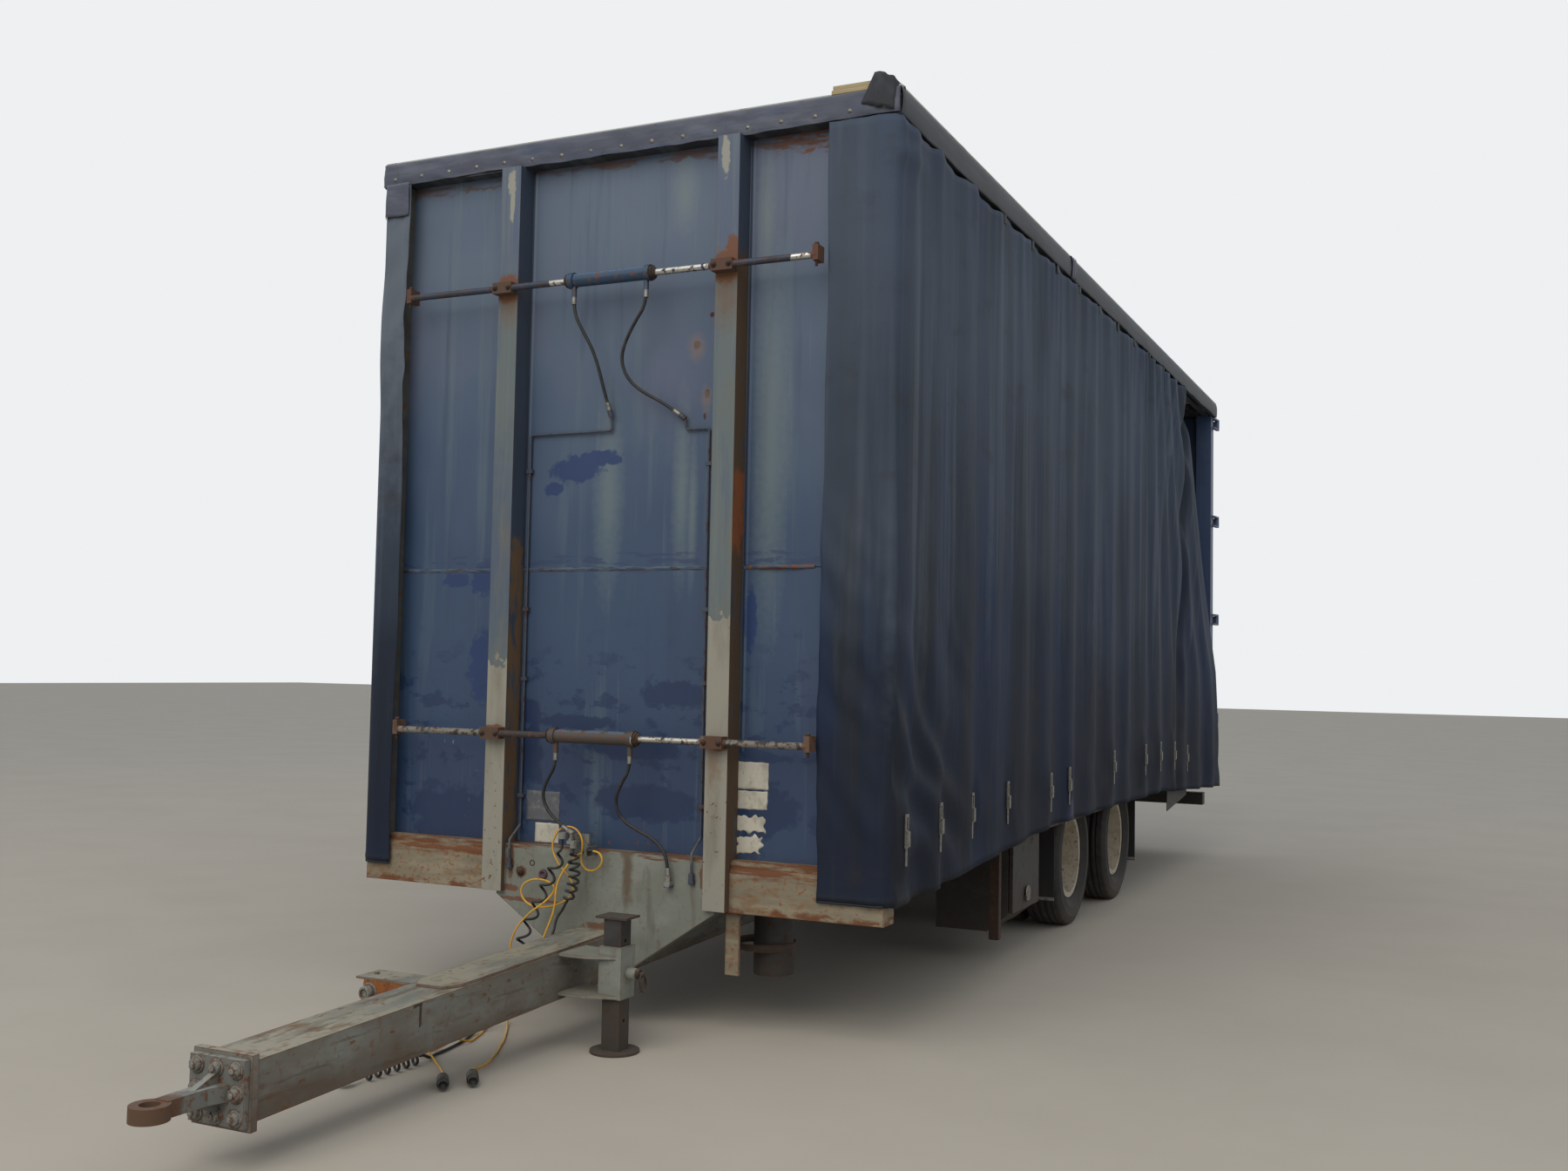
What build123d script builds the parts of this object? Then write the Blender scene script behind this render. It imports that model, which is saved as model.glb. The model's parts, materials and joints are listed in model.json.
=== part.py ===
# Centre-axle curtain-side box trailer with a rigid drawbar, two axles and twin wheels.
# X is across (+X is the trailer's left), Y is the station behind the front posts' face, Z is up.
# All sizes are in millimetres; the finished part is moved so that its origin is on the ground
# below the middle of its length and width.
from build123d import *
import math
import os

os.makedirs("parts", exist_ok=True)

# Body
BODY_LENGTH = 7540.0
BODY_WIDTH = 2480.0
FLOOR_TOP = 960.0
SEAT_GAP = 0.3

# Front beam and front wall
BEAM_BOTTOM = 495.0
BEAM_TOP = 700.0
BEAM_LIP = 654.0
BEAM_FACE = 40.0
BEAM_BACK = 150.0
BEAM_SHEET = 8.0
WALL_FACE = 100.0
WALL_THICK = 30.0
WALL_SEAM = 1870.0
SEAM_GAP = 3.0
POST_X = 534.0
POST_WIDTH = 100.0
POST_SHEET = 6.0
POST_BOTTOM = 500.0
CORNER_POST = 100.0
HANGER_BAR_X = 576.0
HANGER_BAR_BOTTOM = 240.0

# Roof
RAIL_TOP = 3740.0
CANT_DEPTH = 110.0
RAIL_OUT = 22.0
RAIL_WIDTH = 92.0
RAIL_SHEET = 6.0
BOW_COUNT = 9
BOW_HEIGHT = 40.0
BOW_WIDTH = 30.0
ROOF_SHEET = 6.0
VALANCE_THICK = 6.0

# Floor, chassis rails and side raves
FLOOR_THICK = 30.0
CROSS_DEPTH = 60.0
CROSS_FLANGE = 45.0
CROSS_SHEET = 5.0
CROSS_PITCH = 520.0
CROSS_FIRST = 330.0
RAIL_X = 450.0
RAIL_DEPTH = 250.0
RAIL_FLANGE = 120.0
RAIL_WEB = 8.0
RAIL_FLANGE_THICK = 12.0
RAVE_WIDTH = 60.0
RAVE_BOTTOM = 660.0
RAVE_SHEET = 6.0

# Rear frame and doors
REAR_POST = 120.0
DOOR_GAP = 5.0
DOOR_THICK = 40.0
DOOR_BOTTOM = 705.0
DOOR_DROP = 15.0
DOOR_SPLIT = 12.0
DOOR_FRAME = 110.0
DOOR_BAYS = 5
HINGE_OUT = 22.0
HINGE_BACK = 75.0
KNUCKLE_R = 14.0
HINGE_PIN_R = 8.0
HINGE_PIN_FIT = 0.08
KNUCKLE_LENGTH = 60.0
EAR_THICK = 14.0
HINGE_COUNT = 4
HINGE_INSET = 150.0
LOCK_ROD_R = 13.5
LOCK_STANDOFF = 20.0
LOCK_REACH = 60.0
LOCK_SHARES = (0.0, 0.2, 0.51, 1.0)
HANDLE_ABOVE_FLOOR = 236.0
HANDLE_LENGTH = 420.0

# Drawbar and towing eye
EYE_REACH = 2270.0
EYE_RING_R = 56.0
EYE_BORE_R = 28.75
EYE_THICK = 44.0
DRAWBAR_WIDTH = 200.0
DRAWBAR_DEPTH = 175.0
DRAWBAR_WALL = 10.0
DRAWBAR_SLOPE = 1.86
DRAWBAR_TOP_AT_POSTS = 378.0
DRAWBAR_FRONT = -1985.0
DRAWBAR_BACK = 1380.0
END_FLANGE = 25.0
EYE_FLANGE = 22.0
DOUBLER_BACK, DOUBLER_FRONT = -60.0, -1080.0

# Bracket on the drawbar's far side
FAR_PLATE_REACH = 380.0
FAR_PLATE_STATIONS = (-1010.0, -880.0)
FAR_PLATE_DROP = 12.0
FAR_PLATE_THICK = 8.0

# Nose frame between the drawbar and the chassis
NOSE_PLATE = 12.0
NOSE_TOP_HALF = 484.0
NOSE_LOW_HALF = 525.0
BOLSTER_STATIONS = (240.0, 1250.0)
BOLSTER_WIDTH = 120.0
BOLSTER_DEPTH = 110.0

# Parking jack
JACK_X = 300.0
JACK_STATION = -335.0
JACK_TUBE = 75.0
JACK_TUBE_WALL = 6.0
JACK_SLEEVE = 100.0
JACK_SLEEVE_BOTTOM = 205.0
JACK_SLEEVE_TOP = 400.0
JACK_TOP = 505.0
JACK_FOOT_R = 95.0
JACK_FOOT_THICK = 10.0
JACK_PIN_R = 8.0
JACK_PIN_Z = 300.0

# Wheels, axles and suspension
AXLE_STATIONS = (3440.0, 4580.0)
TYRE_R = 398.5
TYRE_SECTION = 233.0
TYRE_TREAD = 196.0
BEAD_R = 222.5
TWIN_PITCH = 268.0
TWIN_MID_X = 868.0
RIM_FLANGE_R = 241.0
RIM_WIDTH = 172.0
RIM_SHEET = 10.0
DRUM_R = 178.0
DRUM_WALL = 14.0
HUB_R = 78.0
SPINDLE_R = 38.0
SPINDLE_FIT = 0.06
AXLE_TUBE_R = 63.5
AXLE_TUBE_WALL = 16.0
ARM_WIDTH = 80.0
ARM_THICK = 40.0
HANGER_LEAD = 470.0
BELLOWS_TRAIL = 400.0
BELLOWS_R = 105.0
CHAMBER_X = 300.0
VENT_COUNT = 8
VENT_CIRCLE_R = 186.0
VENT_R = 15.0

# Mudflaps ahead of the first and behind the second wheels
FLAP_WIDTH = 512.0
FLAP_BOTTOM = 200.0
FLAP_THICK = 6.0
FLAP_LEAD = 110.0
FLAP_TRAIL = 60.0

# Curtains
CURTAIN_THICK = 8.0

# Under-body locker
BOX_X0, BOX_X1 = 730.0, 1110.0
BOX_Y0, BOX_Y1 = 2110.0, 2610.0
BOX_Z0, BOX_Z1 = 150.0, 640.0
BOX_SHEET = 4.0
BOX_TAPER = 110.0
BOX_TAPER_RISE = 90.0
LID_THICK = 18.0
LID_CLEARANCE = 6.0
LID_PIN_X = BOX_X1 + 20
LID_PIN_Z = BOX_Z1 - 6
LID_PIN_R = 5.0
LID_KNUCKLE = 32.0
LID_KNUCKLE_R = 9.0
LID_HINGES = (BOX_Y0 + 60, BOX_Y1 - 130)
GUARD_X = 1105.0
GUARD_CROSS = 3

# Upright air tank
TANK_X = 615.0
TANK_STATION = 400.0
TANK_R = 84.0
TANK_TOP = 560.0

# Rear bumper and lamps
BUMPER_Z0, BUMPER_Z1 = 400.0, 500.0
BUMPER_INSET = 10.0
BUMPER_DEPTH = 100.0
LAMP_DEPTH = 55.0

# Rear skirt outline as (station, height)
SKIRT = [(5870.0, 470.0), (6650.0, 540.0), (6650.0, RAVE_BOTTOM), (5870.0, RAVE_BOTTOM)]

# Curtain tensioners: a double-ended cylinder at each height
TENSION_Z = {"upper": 3085.0, "lower": 1168.0}
ROD_R = 14.0
BARREL_R = 28.0
ROD_Y = -32.0
PORT_INSET = 23.0
PORT_DROP = 70.0

# Worked out from the sizes above
HALF = BODY_WIDTH / 2
RAIL_BOTTOM = RAIL_TOP - CANT_DEPTH
HEADER_BOTTOM = RAIL_BOTTOM + 2
VALANCE_BOTTOM = RAIL_BOTTOM + 4
CURTAIN_TOP = RAIL_BOTTOM - SEAT_GAP
DOOR_TOP = RAIL_TOP - DOOR_DROP
RAIL_BASE = FLOOR_TOP - FLOOR_THICK - CROSS_DEPTH - RAIL_DEPTH
RAIL_SEAT = RAIL_BASE + RAIL_DEPTH
CROSS_TOP = FLOOR_TOP - FLOOR_THICK
HINGE_X = HALF + HINGE_OUT
HINGE_STATION = BODY_LENGTH + HINGE_BACK
FRONT_TIP = -(EYE_REACH + EYE_RING_R)
REAR_TIP = HINGE_STATION + KNUCKLE_R
MID_STATION = (FRONT_TIP + REAR_TIP) / 2
NOSE_FACE = BEAM_FACE - NOSE_PLATE

# Curtain folds as (length along the side, how far it stands out); the sign is out or in
FOLDS = [
    (190, 22), (150, -14), (210, 24), (170, -12), (230, 26), (180, -14), (240, 20), (200, -10),
    (260, 26), (190, -14), (250, 22), (210, -12), (270, 26), (220, -14), (260, 24), (200, -12),
    (280, 28), (220, -14), (260, 26), (210, -12), (280, 28), (220, -14), (260, 24), (200, -12),
    (270, 26), (220, -14), (260, 24), (240, -12), (280, 24), (230, -12), (270, 24),
]
CURTAIN_LINE = HALF + 15
CURTAIN_START = 70.0
HEM_LOWEST = 500.0
# Hem and rear edge as (station, height)
HEM_LINE = [(-100, 565), (100, 560), (2470, 680), (5200, 660), (6400, 600), (7460, 560), (7380, 1500)]

# Folds of the part of each curtain that wraps onto the front, as (distance in from the side, set forward)
WRAPS = {
    "left": [(60, 9), (120, 1), (180, 8), (230, 1), (275, 4)],
    "right": [(50, 8), (95, 1), (135, 4)],
}

# Buckles on each curtain as (station, height of the top end)
BUCKLES = [
    (151, 916), (547, 931), (1044, 936), (1592, 952), (2279, 955), (2633, 967),
    (3683, 1010), (4590, 1012), (5108, 1008), (5613, 992), (6312, 940),
]
BUCKLE_HALF = 15.0

HOSE_R = 7.0
FITTING_R = 11.0
# Turned ends as (radius, length) stages: hose fitting, cable plug and hose coupling
FITTING = [(FITTING_R, 30.0)]
PLUG = [(9.0, 28.0), (21.0, 14.0), (22.0, 60.0), (18.0, 24.0)]
COUPLING = [(13.0, 16.0), (21.0, 30.0), (17.0, 12.0)]
PIPE_R = 5.0
PIPE_Y = 88.0
PIPE_STEP_Y = 14.0
PIPE_CLIPS = (2300.0, 1700.0, 1400.0, 900.0)
# Each pipe: the hose it takes over from, where it runs down, and the height of its run across
PIPE_RUNS = [("upper_right", -455.0, 2458.0), ("upper_left", 425.0, 2446.0)]

# Hoses between the cylinders and their fittings: points of each route from its port
HOSES = {
    "upper_right": [
        (-172, -32, 3015), (-172, -32, 2950), (-141, -15, 2879), (-99, 5, 2798), (-78, 28, 2712),
        (-66, 52, 2628), (-50, 74, 2545),
    ],
    "upper_left": [
        (179, -32, 3015), (179, -32, 2955), (122, -20, 2890), (74, -10, 2819), (46, 0, 2750), (57, 12, 2685),
        (95, 30, 2631), (156, 48, 2591), (229, 62, 2553), (290, 76, 2508),
    ],
    "lower_right": [
        (-204, -32, 1098), (-204, -32, 1040), (-244, -30, 984), (-268, -26, 925), (-256, -20, 870),
        (-202, -20, 815), (-134, -30, 781),
    ],
    "lower_left": [
        (154, -32, 1098), (154, -32, 1042), (118, -30, 988), (88, -22, 935), (82, -10, 880), (112, 0, 832),
        (173, 0, 800), (247, 0, 772), (300, 0, 730), (322, 2, 678), (324, 4, 624),
    ],
}

# Rack on the front plate for the curly hoses and the end of one wall hose
RACK_SHEET = 12.0
RACK_BOTTOM, RACK_TOP = 685.0, 764.0
RACK_ARM = 14.0
CABLE_R = 4.0
LEAD_R = 5.5

# Free cords as (radius, points of the route from the rack to the far end); a curly length is a fat tube
CORDS = {
    "cable_long": (CABLE_R, [
        (-24, -45, 707), (8, -45, 707), (37, -50, 700), (50, -50, 672), (31, -45, 640), (-8, -36, 622),
        (-50, -24, 626), (-76, -14, 648), (-78, -12, 679), (-74, -10, 712), (-77, -10, 748),
        (-101, -10, 784), (-145, -10, 797), (-186, -12, 782), (-211, -14, 748), (-220, -16, 706),
        (-202, -18, 663), (-173, -20, 630), (-134, -24, 598), (-106, -26, 566), (-103, -26, 530),
        (-129, -24, 498), (-172, -20, 475), (-220, -18, 460), (-269, -18, 451), (-314, -18, 455),
        (-352, -18, 475), (-370, -18, 507), (-360, -18, 539), (-327, -18, 561), (-284, -18, 569),
        (-240, -22, 566), (-200, -24, 552), (-180, -48, 532), (-180, -80, 512), (-192, -106, 490),
        (-216, -117, 470), (-245, -121, 450), (-271, -124, 424), (-298, -128, 394), (-318, -128, 362),
        (-333, -126, 328), (-341, -122, 292), (-345, -124, 248), (-347, -130, 200), (-345, -137, 150),
        (-339, -146, 100), (-326, -158, 58), (-305, -178, 22), (-280, -212, 7), (-243, -266, 5),
        (-196, -343, 5), (-150, -415, 5), (-113, -492, 5), (-70, -569, 5), (-42, -641, 5), (-10, -702, 5),
        (6, -770, 6), (12, -824, 12), (35, -868, 24), (60, -900, 24),
    ]),
    "cable_short": (CABLE_R, [
        (-36, -30, 695), (-69, -30, 695), (-104, -32, 667), (-126, -46, 636), (-144, -58, 602),
        (-155, -68, 565), (-158, -74, 529), (-157, -76, 495), (-161, -78, 461), (-170, -82, 426),
        (-182, -90, 388), (-194, -98, 347), (-207, -108, 305), (-222, -125, 262), (-238, -142, 216),
        (-255, -161, 170), (-273, -178, 125), (-289, -195, 84), (-306, -214, 46), (-322, -238, 17),
        (-330, -274, 5), (-318, -322, 5), (-290, -368, 5), (-274, -425, 5), (-251, -487, 5),
        (-253, -524, 14), (-260, -556, 27), (-268, -588, 27), (-277, -624, 14), (-290, -662, 5),
        (-308, -700, 6), (-305, -738, 14), (-268, -758, 27), (-226, -774, 27), (-186, -800, 14),
        (-139, -835, 6), (-86, -882, 5), (-50, -924, 10), (-25, -959, 24), (0, -990, 24),
    ]),
    "curly_hose_left": (28.0, [
        (-139, -62, 749), (-139, -62, 702), (-163, -62, 650), (-193, -62, 593), (-219, -64, 537),
        (-246, -70, 479), (-269, -78, 424), (-292, -86, 374), (-306, -87, 325), (-318, -80, 270),
        (-336, -76, 212), (-352, -72, 155), (-368, -70, 100),
    ]),
    "curly_hose_right": (26.0, [
        (-82, -68, 715), (-82, -68, 675), (-70, -68, 628), (-77, -68, 574), (-94, -68, 522),
        (-115, -68, 482),
    ]),
    "curly_hose_lead": (LEAD_R, [
        (-115, -68, 482), (-127.6, -68, 458), (-146, -70, 436), (-154, -76, 408), (-153, -86, 378),
        (-160, -100, 340), (-172, -118, 300), (-188, -140, 255), (-206, -165, 205), (-226, -192, 155),
        (-248, -222, 105), (-272, -256, 62), (-296, -300, 34), (-312, -352, 17), (-308, -412, 7),
        (-286, -470, 7), (-270, -535, 7), (-256, -605, 7), (-246, -672, 7), (-245, -728, 7),
        (-222, -775, 8), (-222, -815, 8),
    ]),
    "curly_hose_ground": (28.5, [
        (-222, -815, 30), (-222, -890, 30), (-228, -965, 30), (-236, -1035, 30), (-234, -1105, 30),
        (-245, -1168, 30),
    ]),
}


def block(x0, x1, y0, y1, z0, z1):
    """A box between two corners."""
    size = Box(x1 - x0, y1 - y0, z1 - z0, align=(Align.MIN, Align.MIN, Align.MIN))
    return Pos(x0, y0, z0) * size


def across(outline, x0, x1):
    """A prism along X of an outline given as (station, height) points."""
    face = make_face(Polyline(*[(x0, y, z) for y, z in outline], close=True))
    return extrude(face, amount=x1 - x0, dir=(1, 0, 0))


def along(outline, y0, y1):
    """A prism along Y of an outline given as (x, height) points."""
    face = make_face(Polyline(*[(x, y0, z) for x, z in outline], close=True))
    return extrude(face, amount=y1 - y0, dir=(0, 1, 0))


def upright(outline, z0, z1):
    """A prism along Z of an outline given as (x, station) points."""
    face = make_face(Polyline(*[(x, y, z0) for x, y in outline], close=True))
    return extrude(face, amount=z1 - z0, dir=(0, 0, 1))


def rod_x(x0, x1, y, z, radius):
    """A round bar along X."""
    bar = Cylinder(radius, x1 - x0, align=(Align.CENTER, Align.CENTER, Align.MIN))
    return Pos(x0, y, z) * Rot(0, 90, 0) * bar


def rod_y(y0, y1, x, z, radius):
    """A round bar along Y."""
    bar = Cylinder(radius, y1 - y0, align=(Align.CENTER, Align.CENTER, Align.MIN))
    return Pos(x, y0, z) * Rot(-90, 0, 0) * bar


def rod_z(z0, z1, x, y, radius):
    """A round bar along Z."""
    bar = Cylinder(radius, z1 - z0, align=(Align.CENTER, Align.CENTER, Align.MIN))
    return Pos(x, y, z0) * bar


def other_side(shape):
    """The same piece on the other side of the trailer."""
    return mirror(shape, about=Plane.YZ)


def both_sides(shape):
    """A piece and its mirror image, as a list."""
    return [shape, other_side(shape)]


def solids_of(shapes):
    """All solids in a shape or a list of shapes."""
    found = []
    for shape in shapes if isinstance(shapes, list) else [shapes]:
        found.extend(shape.solids())
    return found


def save(node, shapes):
    """Write one node, moved so that the origin is below mid length."""
    placed = [solid.moved(Location((0, -MID_STATION, 0))) for solid in solids_of(shapes)]
    export_step(placed[0] if len(placed) == 1 else Compound(placed), f"parts/{node}.step")


def box_tube(x0, x1, y0, y1, z0, z1, wall):
    """An upright rectangular tube, open at both ends."""
    outer = block(x0, x1, y0, y1, z0, z1)
    return outer - block(x0 + wall, x1 - wall, y0 + wall, y1 - wall, z0, z1)


def drawbar_line(station):
    """Height of the drawbar's top face at a station."""
    return DRAWBAR_TOP_AT_POSTS + station * math.tan(math.radians(DRAWBAR_SLOPE))


# Front lower beam: a pressed section with a set-back lip below the wall
def front_beam():
    f, t = BEAM_FACE, BEAM_SHEET
    lip = f + 18
    outline = [
        (f, BEAM_BOTTOM), (f, BEAM_LIP), (lip, BEAM_LIP + 16), (lip, BEAM_TOP),
        (BEAM_BACK, BEAM_TOP), (BEAM_BACK, BEAM_TOP - t), (lip + t, BEAM_TOP - t),
        (lip + t, BEAM_LIP + 12), (f + t, BEAM_LIP - 4), (f + t, BEAM_BOTTOM + t),
        (BEAM_BACK, BEAM_BOTTOM + t), (BEAM_BACK, BEAM_BOTTOM),
    ]
    beam = across(outline, -HALF, HALF)
    end_outline = [(f + 1, BEAM_BOTTOM + 1), (f + 1, BEAM_LIP), (lip, BEAM_LIP + 16), (lip, BEAM_TOP - 1),
                   (BEAM_BACK, BEAM_TOP - 1), (BEAM_BACK, BEAM_BOTTOM + 1)]
    end_plate = across(end_outline, HALF - POST_SHEET, HALF)
    beam = beam + end_plate + other_side(end_plate)
    bar = block(HANGER_BAR_X - 30, HANGER_BAR_X + 30, f + 50, f + 62, HANGER_BAR_BOTTOM, BEAM_BOTTOM + t)
    return beam + bar


# Two channel posts on the front wall, notched over the front beam
def headboard_posts():
    post = box_tube(POST_X - POST_WIDTH / 2, POST_X + POST_WIDTH / 2, 0, WALL_FACE,
                    POST_BOTTOM, HEADER_BOTTOM, POST_SHEET)
    post = post - block(0, HALF, BEAM_FACE, WALL_FACE + 1, 0, BEAM_TOP)
    return both_sides(post)


def front_corner_posts():
    post = box_tube(HALF - CORNER_POST, HALF, BEAM_FACE, BEAM_FACE + CORNER_POST,
                    BEAM_TOP, RAIL_BOTTOM, POST_SHEET)
    return both_sides(post)


def wall_panel(z0, z1):
    half = HALF - CORNER_POST
    return block(-half, half, WALL_FACE, WALL_FACE + WALL_THICK, z0, z1)


def roof_rails():
    """Aluminium cant rails with a downward slot for the curtain rollers."""
    out = HALF + RAIL_OUT
    inn = out - RAIL_WIDTH
    t = RAIL_SHEET
    outline = [
        (inn, RAIL_BOTTOM), (inn, RAIL_TOP), (out - 20, RAIL_TOP), (out, RAIL_TOP - 34),
        (out, RAIL_BOTTOM), (out - 30, RAIL_BOTTOM), (out - 30, RAIL_BOTTOM + t),
        (out - t, RAIL_BOTTOM + t),
        (out - t, RAIL_TOP - 36), (out - 23, RAIL_TOP - t), (inn + t, RAIL_TOP - t),
        (inn + t, RAIL_BOTTOM + t), (out - 50, RAIL_BOTTOM + t), (out - 50, RAIL_BOTTOM),
    ]
    return both_sides(along(outline, BEAM_FACE, BODY_LENGTH))


def roof_bars():
    """Hollow bars at both ends of the roof and the bows between them."""
    inn = HALF + RAIL_OUT - RAIL_WIDTH
    first = BEAM_FACE + CORNER_POST
    last = BODY_LENGTH - REAR_POST
    pitch = (last - first) / (BOW_COUNT + 1)
    bars = [header(BEAM_FACE, BEAM_FACE + CORNER_POST), header(BODY_LENGTH - REAR_POST, BODY_LENGTH)]
    for i in range(BOW_COUNT):
        y = first + pitch * (i + 1)
        half = BOW_WIDTH / 2
        bars.append(block(-inn, inn, y - half, y + half, RAIL_TOP - BOW_HEIGHT, RAIL_TOP))
    return bars


def roof_sheet():
    out = HALF + RAIL_OUT
    bottom = RAIL_TOP + SEAT_GAP
    return block(-out, out, BEAM_FACE, BODY_LENGTH, bottom, bottom + ROOF_SHEET)


def header(y0, y1):
    """Hollow bar across the top between the two cant rails."""
    inn = HALF + RAIL_OUT - RAIL_WIDTH
    t = POST_SHEET
    outer = block(-inn, inn, y0, y1, HEADER_BOTTOM, RAIL_TOP)
    return outer - block(-inn, inn, y0 + t, y1 - t, HEADER_BOTTOM + t, RAIL_TOP - t)


def chassis_rails():
    b, w = RAIL_FLANGE / 2, RAIL_WEB / 2
    low, top, t = RAIL_BASE, RAIL_SEAT, RAIL_FLANGE_THICK
    outline = [(-b, low), (b, low), (b, low + t), (w, low + t), (w, top - t), (b, top - t),
               (b, top), (-b, top), (-b, top - t), (-w, top - t), (-w, low + t), (-b, low + t)]
    rail = along([(RAIL_X + x, z) for x, z in outline], BEAM_BACK, BODY_LENGTH - REAR_POST)
    return both_sides(rail)


def cross_members():
    members = []
    t = CROSS_SHEET
    reach = HALF - RAVE_SHEET
    count = int((BODY_LENGTH - REAR_POST - CROSS_FIRST - CROSS_FLANGE) / CROSS_PITCH) + 1
    for i in range(count):
        y = CROSS_FIRST + CROSS_PITCH * i
        outline = [(y, RAIL_SEAT), (y + CROSS_FLANGE, RAIL_SEAT), (y + CROSS_FLANGE, RAIL_SEAT + t),
                   (y + t, RAIL_SEAT + t), (y + t, CROSS_TOP - t), (y + CROSS_FLANGE, CROSS_TOP - t),
                   (y + CROSS_FLANGE, CROSS_TOP), (y, CROSS_TOP)]
        members.append(across(outline, -reach, reach))
    return members


def side_raves():
    inn, t = HALF - RAVE_WIDTH, RAVE_SHEET
    outline = [(inn, RAVE_BOTTOM), (HALF, RAVE_BOTTOM), (HALF, FLOOR_TOP), (inn, FLOOR_TOP),
               (inn, FLOOR_TOP - t), (HALF - t, FLOOR_TOP - t), (HALF - t, RAVE_BOTTOM + t),
               (inn, RAVE_BOTTOM + t)]
    return both_sides(along(outline, BEAM_BACK, BODY_LENGTH - REAR_POST))


def floor_deck():
    half = HALF - RAVE_WIDTH
    return block(-half, half, BEAM_FACE + CORNER_POST, BODY_LENGTH - REAR_POST, CROSS_TOP, FLOOR_TOP)


def body_pillars():
    """Front corner posts and the middle pillars of both sides."""
    pillars = front_corner_posts()
    for share in (0.36, 0.68):
        y = BODY_LENGTH * share
        pillar = box_tube(HALF - RAVE_WIDTH + 2, HALF - 4, y - 45, y + 45, FLOOR_TOP, RAIL_BOTTOM, 4)
        pillars.extend(both_sides(pillar))
    return pillars


def rear_sill():
    """Hollow bar across the back below the doors' hinge posts."""
    y0, y1, t = BODY_LENGTH - REAR_POST, BODY_LENGTH, POST_SHEET
    outer = block(-HALF, HALF, y0, y1, RAVE_BOTTOM, FLOOR_TOP)
    return outer - block(-HALF, HALF, y0 + t, y1 - t, RAVE_BOTTOM + t, FLOOR_TOP - t)


def hinge_heights():
    """Middle height of each door hinge."""
    low, high = FLOOR_TOP + HINGE_INSET, DOOR_TOP - HINGE_INSET
    return [low + (high - low) * i / (HINGE_COUNT - 1) for i in range(HINGE_COUNT)]


def rear_posts():
    """Rear corner posts with the ears and pins of the door hinges."""
    post = box_tube(HALF - REAR_POST, HALF, BODY_LENGTH - REAR_POST, BODY_LENGTH,
                    FLOOR_TOP, RAIL_BOTTOM, POST_SHEET)
    arm_outline = [(HALF, BODY_LENGTH - 80), (HALF, BODY_LENGTH), (HINGE_X - KNUCKLE_R, HINGE_STATION),
                   (HINGE_X + KNUCKLE_R, HINGE_STATION), (HINGE_X, BODY_LENGTH - 60)]
    for z in hinge_heights():
        reach = KNUCKLE_LENGTH / 2 + 1
        for z0 in (z - reach - EAR_THICK, z + reach):
            arm = upright(arm_outline, z0, z0 + EAR_THICK)
            post = post + arm + rod_z(z0, z0 + EAR_THICK, HINGE_X, HINGE_STATION, KNUCKLE_R)
        pin_reach = reach + EAR_THICK
        post = post + rod_z(z - pin_reach, z + pin_reach, HINGE_X, HINGE_STATION, HINGE_PIN_R)
    return both_sides(post)


def door():
    """Left rear door: a framed panel with pressed ribs and its hinge blades."""
    y0 = BODY_LENGTH + DOOR_GAP
    y1 = y0 + DOOR_THICK
    x0, x1 = DOOR_SPLIT / 2, HALF - 8
    panel = block(x0, x1, y0, y1, DOOR_BOTTOM, DOOR_TOP)
    rib_depth = DOOR_THICK / 5
    rib_pitch = (x1 - x0 - 160) / DOOR_BAYS
    for i in range(DOOR_BAYS):
        rib_x = x0 + 80 + rib_pitch * i
        panel = panel - block(rib_x + 25, rib_x + rib_pitch - 25, y1 - rib_depth, y1,
                              DOOR_BOTTOM + DOOR_FRAME, DOOR_TOP - DOOR_FRAME)
    eye_r = HINGE_PIN_R + HINGE_PIN_FIT
    for z in hinge_heights():
        low, high = z - KNUCKLE_LENGTH / 2, z + KNUCKLE_LENGTH / 2
        blade = block(x1 - 170, HINGE_X, y1 - 2, y1 + 8, low, high)
        neck = upright([(x1 - 20, y1), (HINGE_X, y1), (HINGE_X + KNUCKLE_R, HINGE_STATION),
                        (HINGE_X - KNUCKLE_R, HINGE_STATION)], low, high)
        leaf = blade + neck + rod_z(low, high, HINGE_X, HINGE_STATION, KNUCKLE_R)
        panel = panel + (leaf - rod_z(low, high, HINGE_X, HINGE_STATION, eye_r))
    return panel


def door_locks():
    """Two lock rods with brackets, cams and handles for the left door."""
    y1 = BODY_LENGTH + DOOR_GAP + DOOR_THICK
    rod_y_at = y1 + LOCK_STANDOFF
    pieces = []
    low, high = DOOR_BOTTOM + LOCK_REACH, DOOR_TOP - LOCK_REACH
    grip = FLOOR_TOP + HANDLE_ABOVE_FLOOR
    for x in (HALF * 0.22, HALF * 0.62):
        gear = rod_z(DOOR_BOTTOM - 25, DOOR_TOP + 5, x, rod_y_at, LOCK_ROD_R)
        for z in [low + (high - low) * share for share in LOCK_SHARES]:
            gear = gear + block(x - 32, x + 32, y1, y1 + 8, z - 30, z + 30)
            gear = gear + block(x - 16, x + 16, y1 + 8, rod_y_at, z - 18, z + 18)
        for z in (DOOR_BOTTOM - 25, DOOR_TOP - 25):
            gear = gear + block(x - 30, x + 20, rod_y_at - 12, rod_y_at + 12, z, z + 24)
        handle = block(x - 8, x + HANDLE_LENGTH, rod_y_at - 6, rod_y_at + 8, grip - 16, grip + 16)
        catch = block(x + HANDLE_LENGTH - 60, x + HANDLE_LENGTH - 10, y1, rod_y_at - 6, grip - 20, grip + 20)
        pieces.append(gear + handle + catch)
    return pieces


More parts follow.
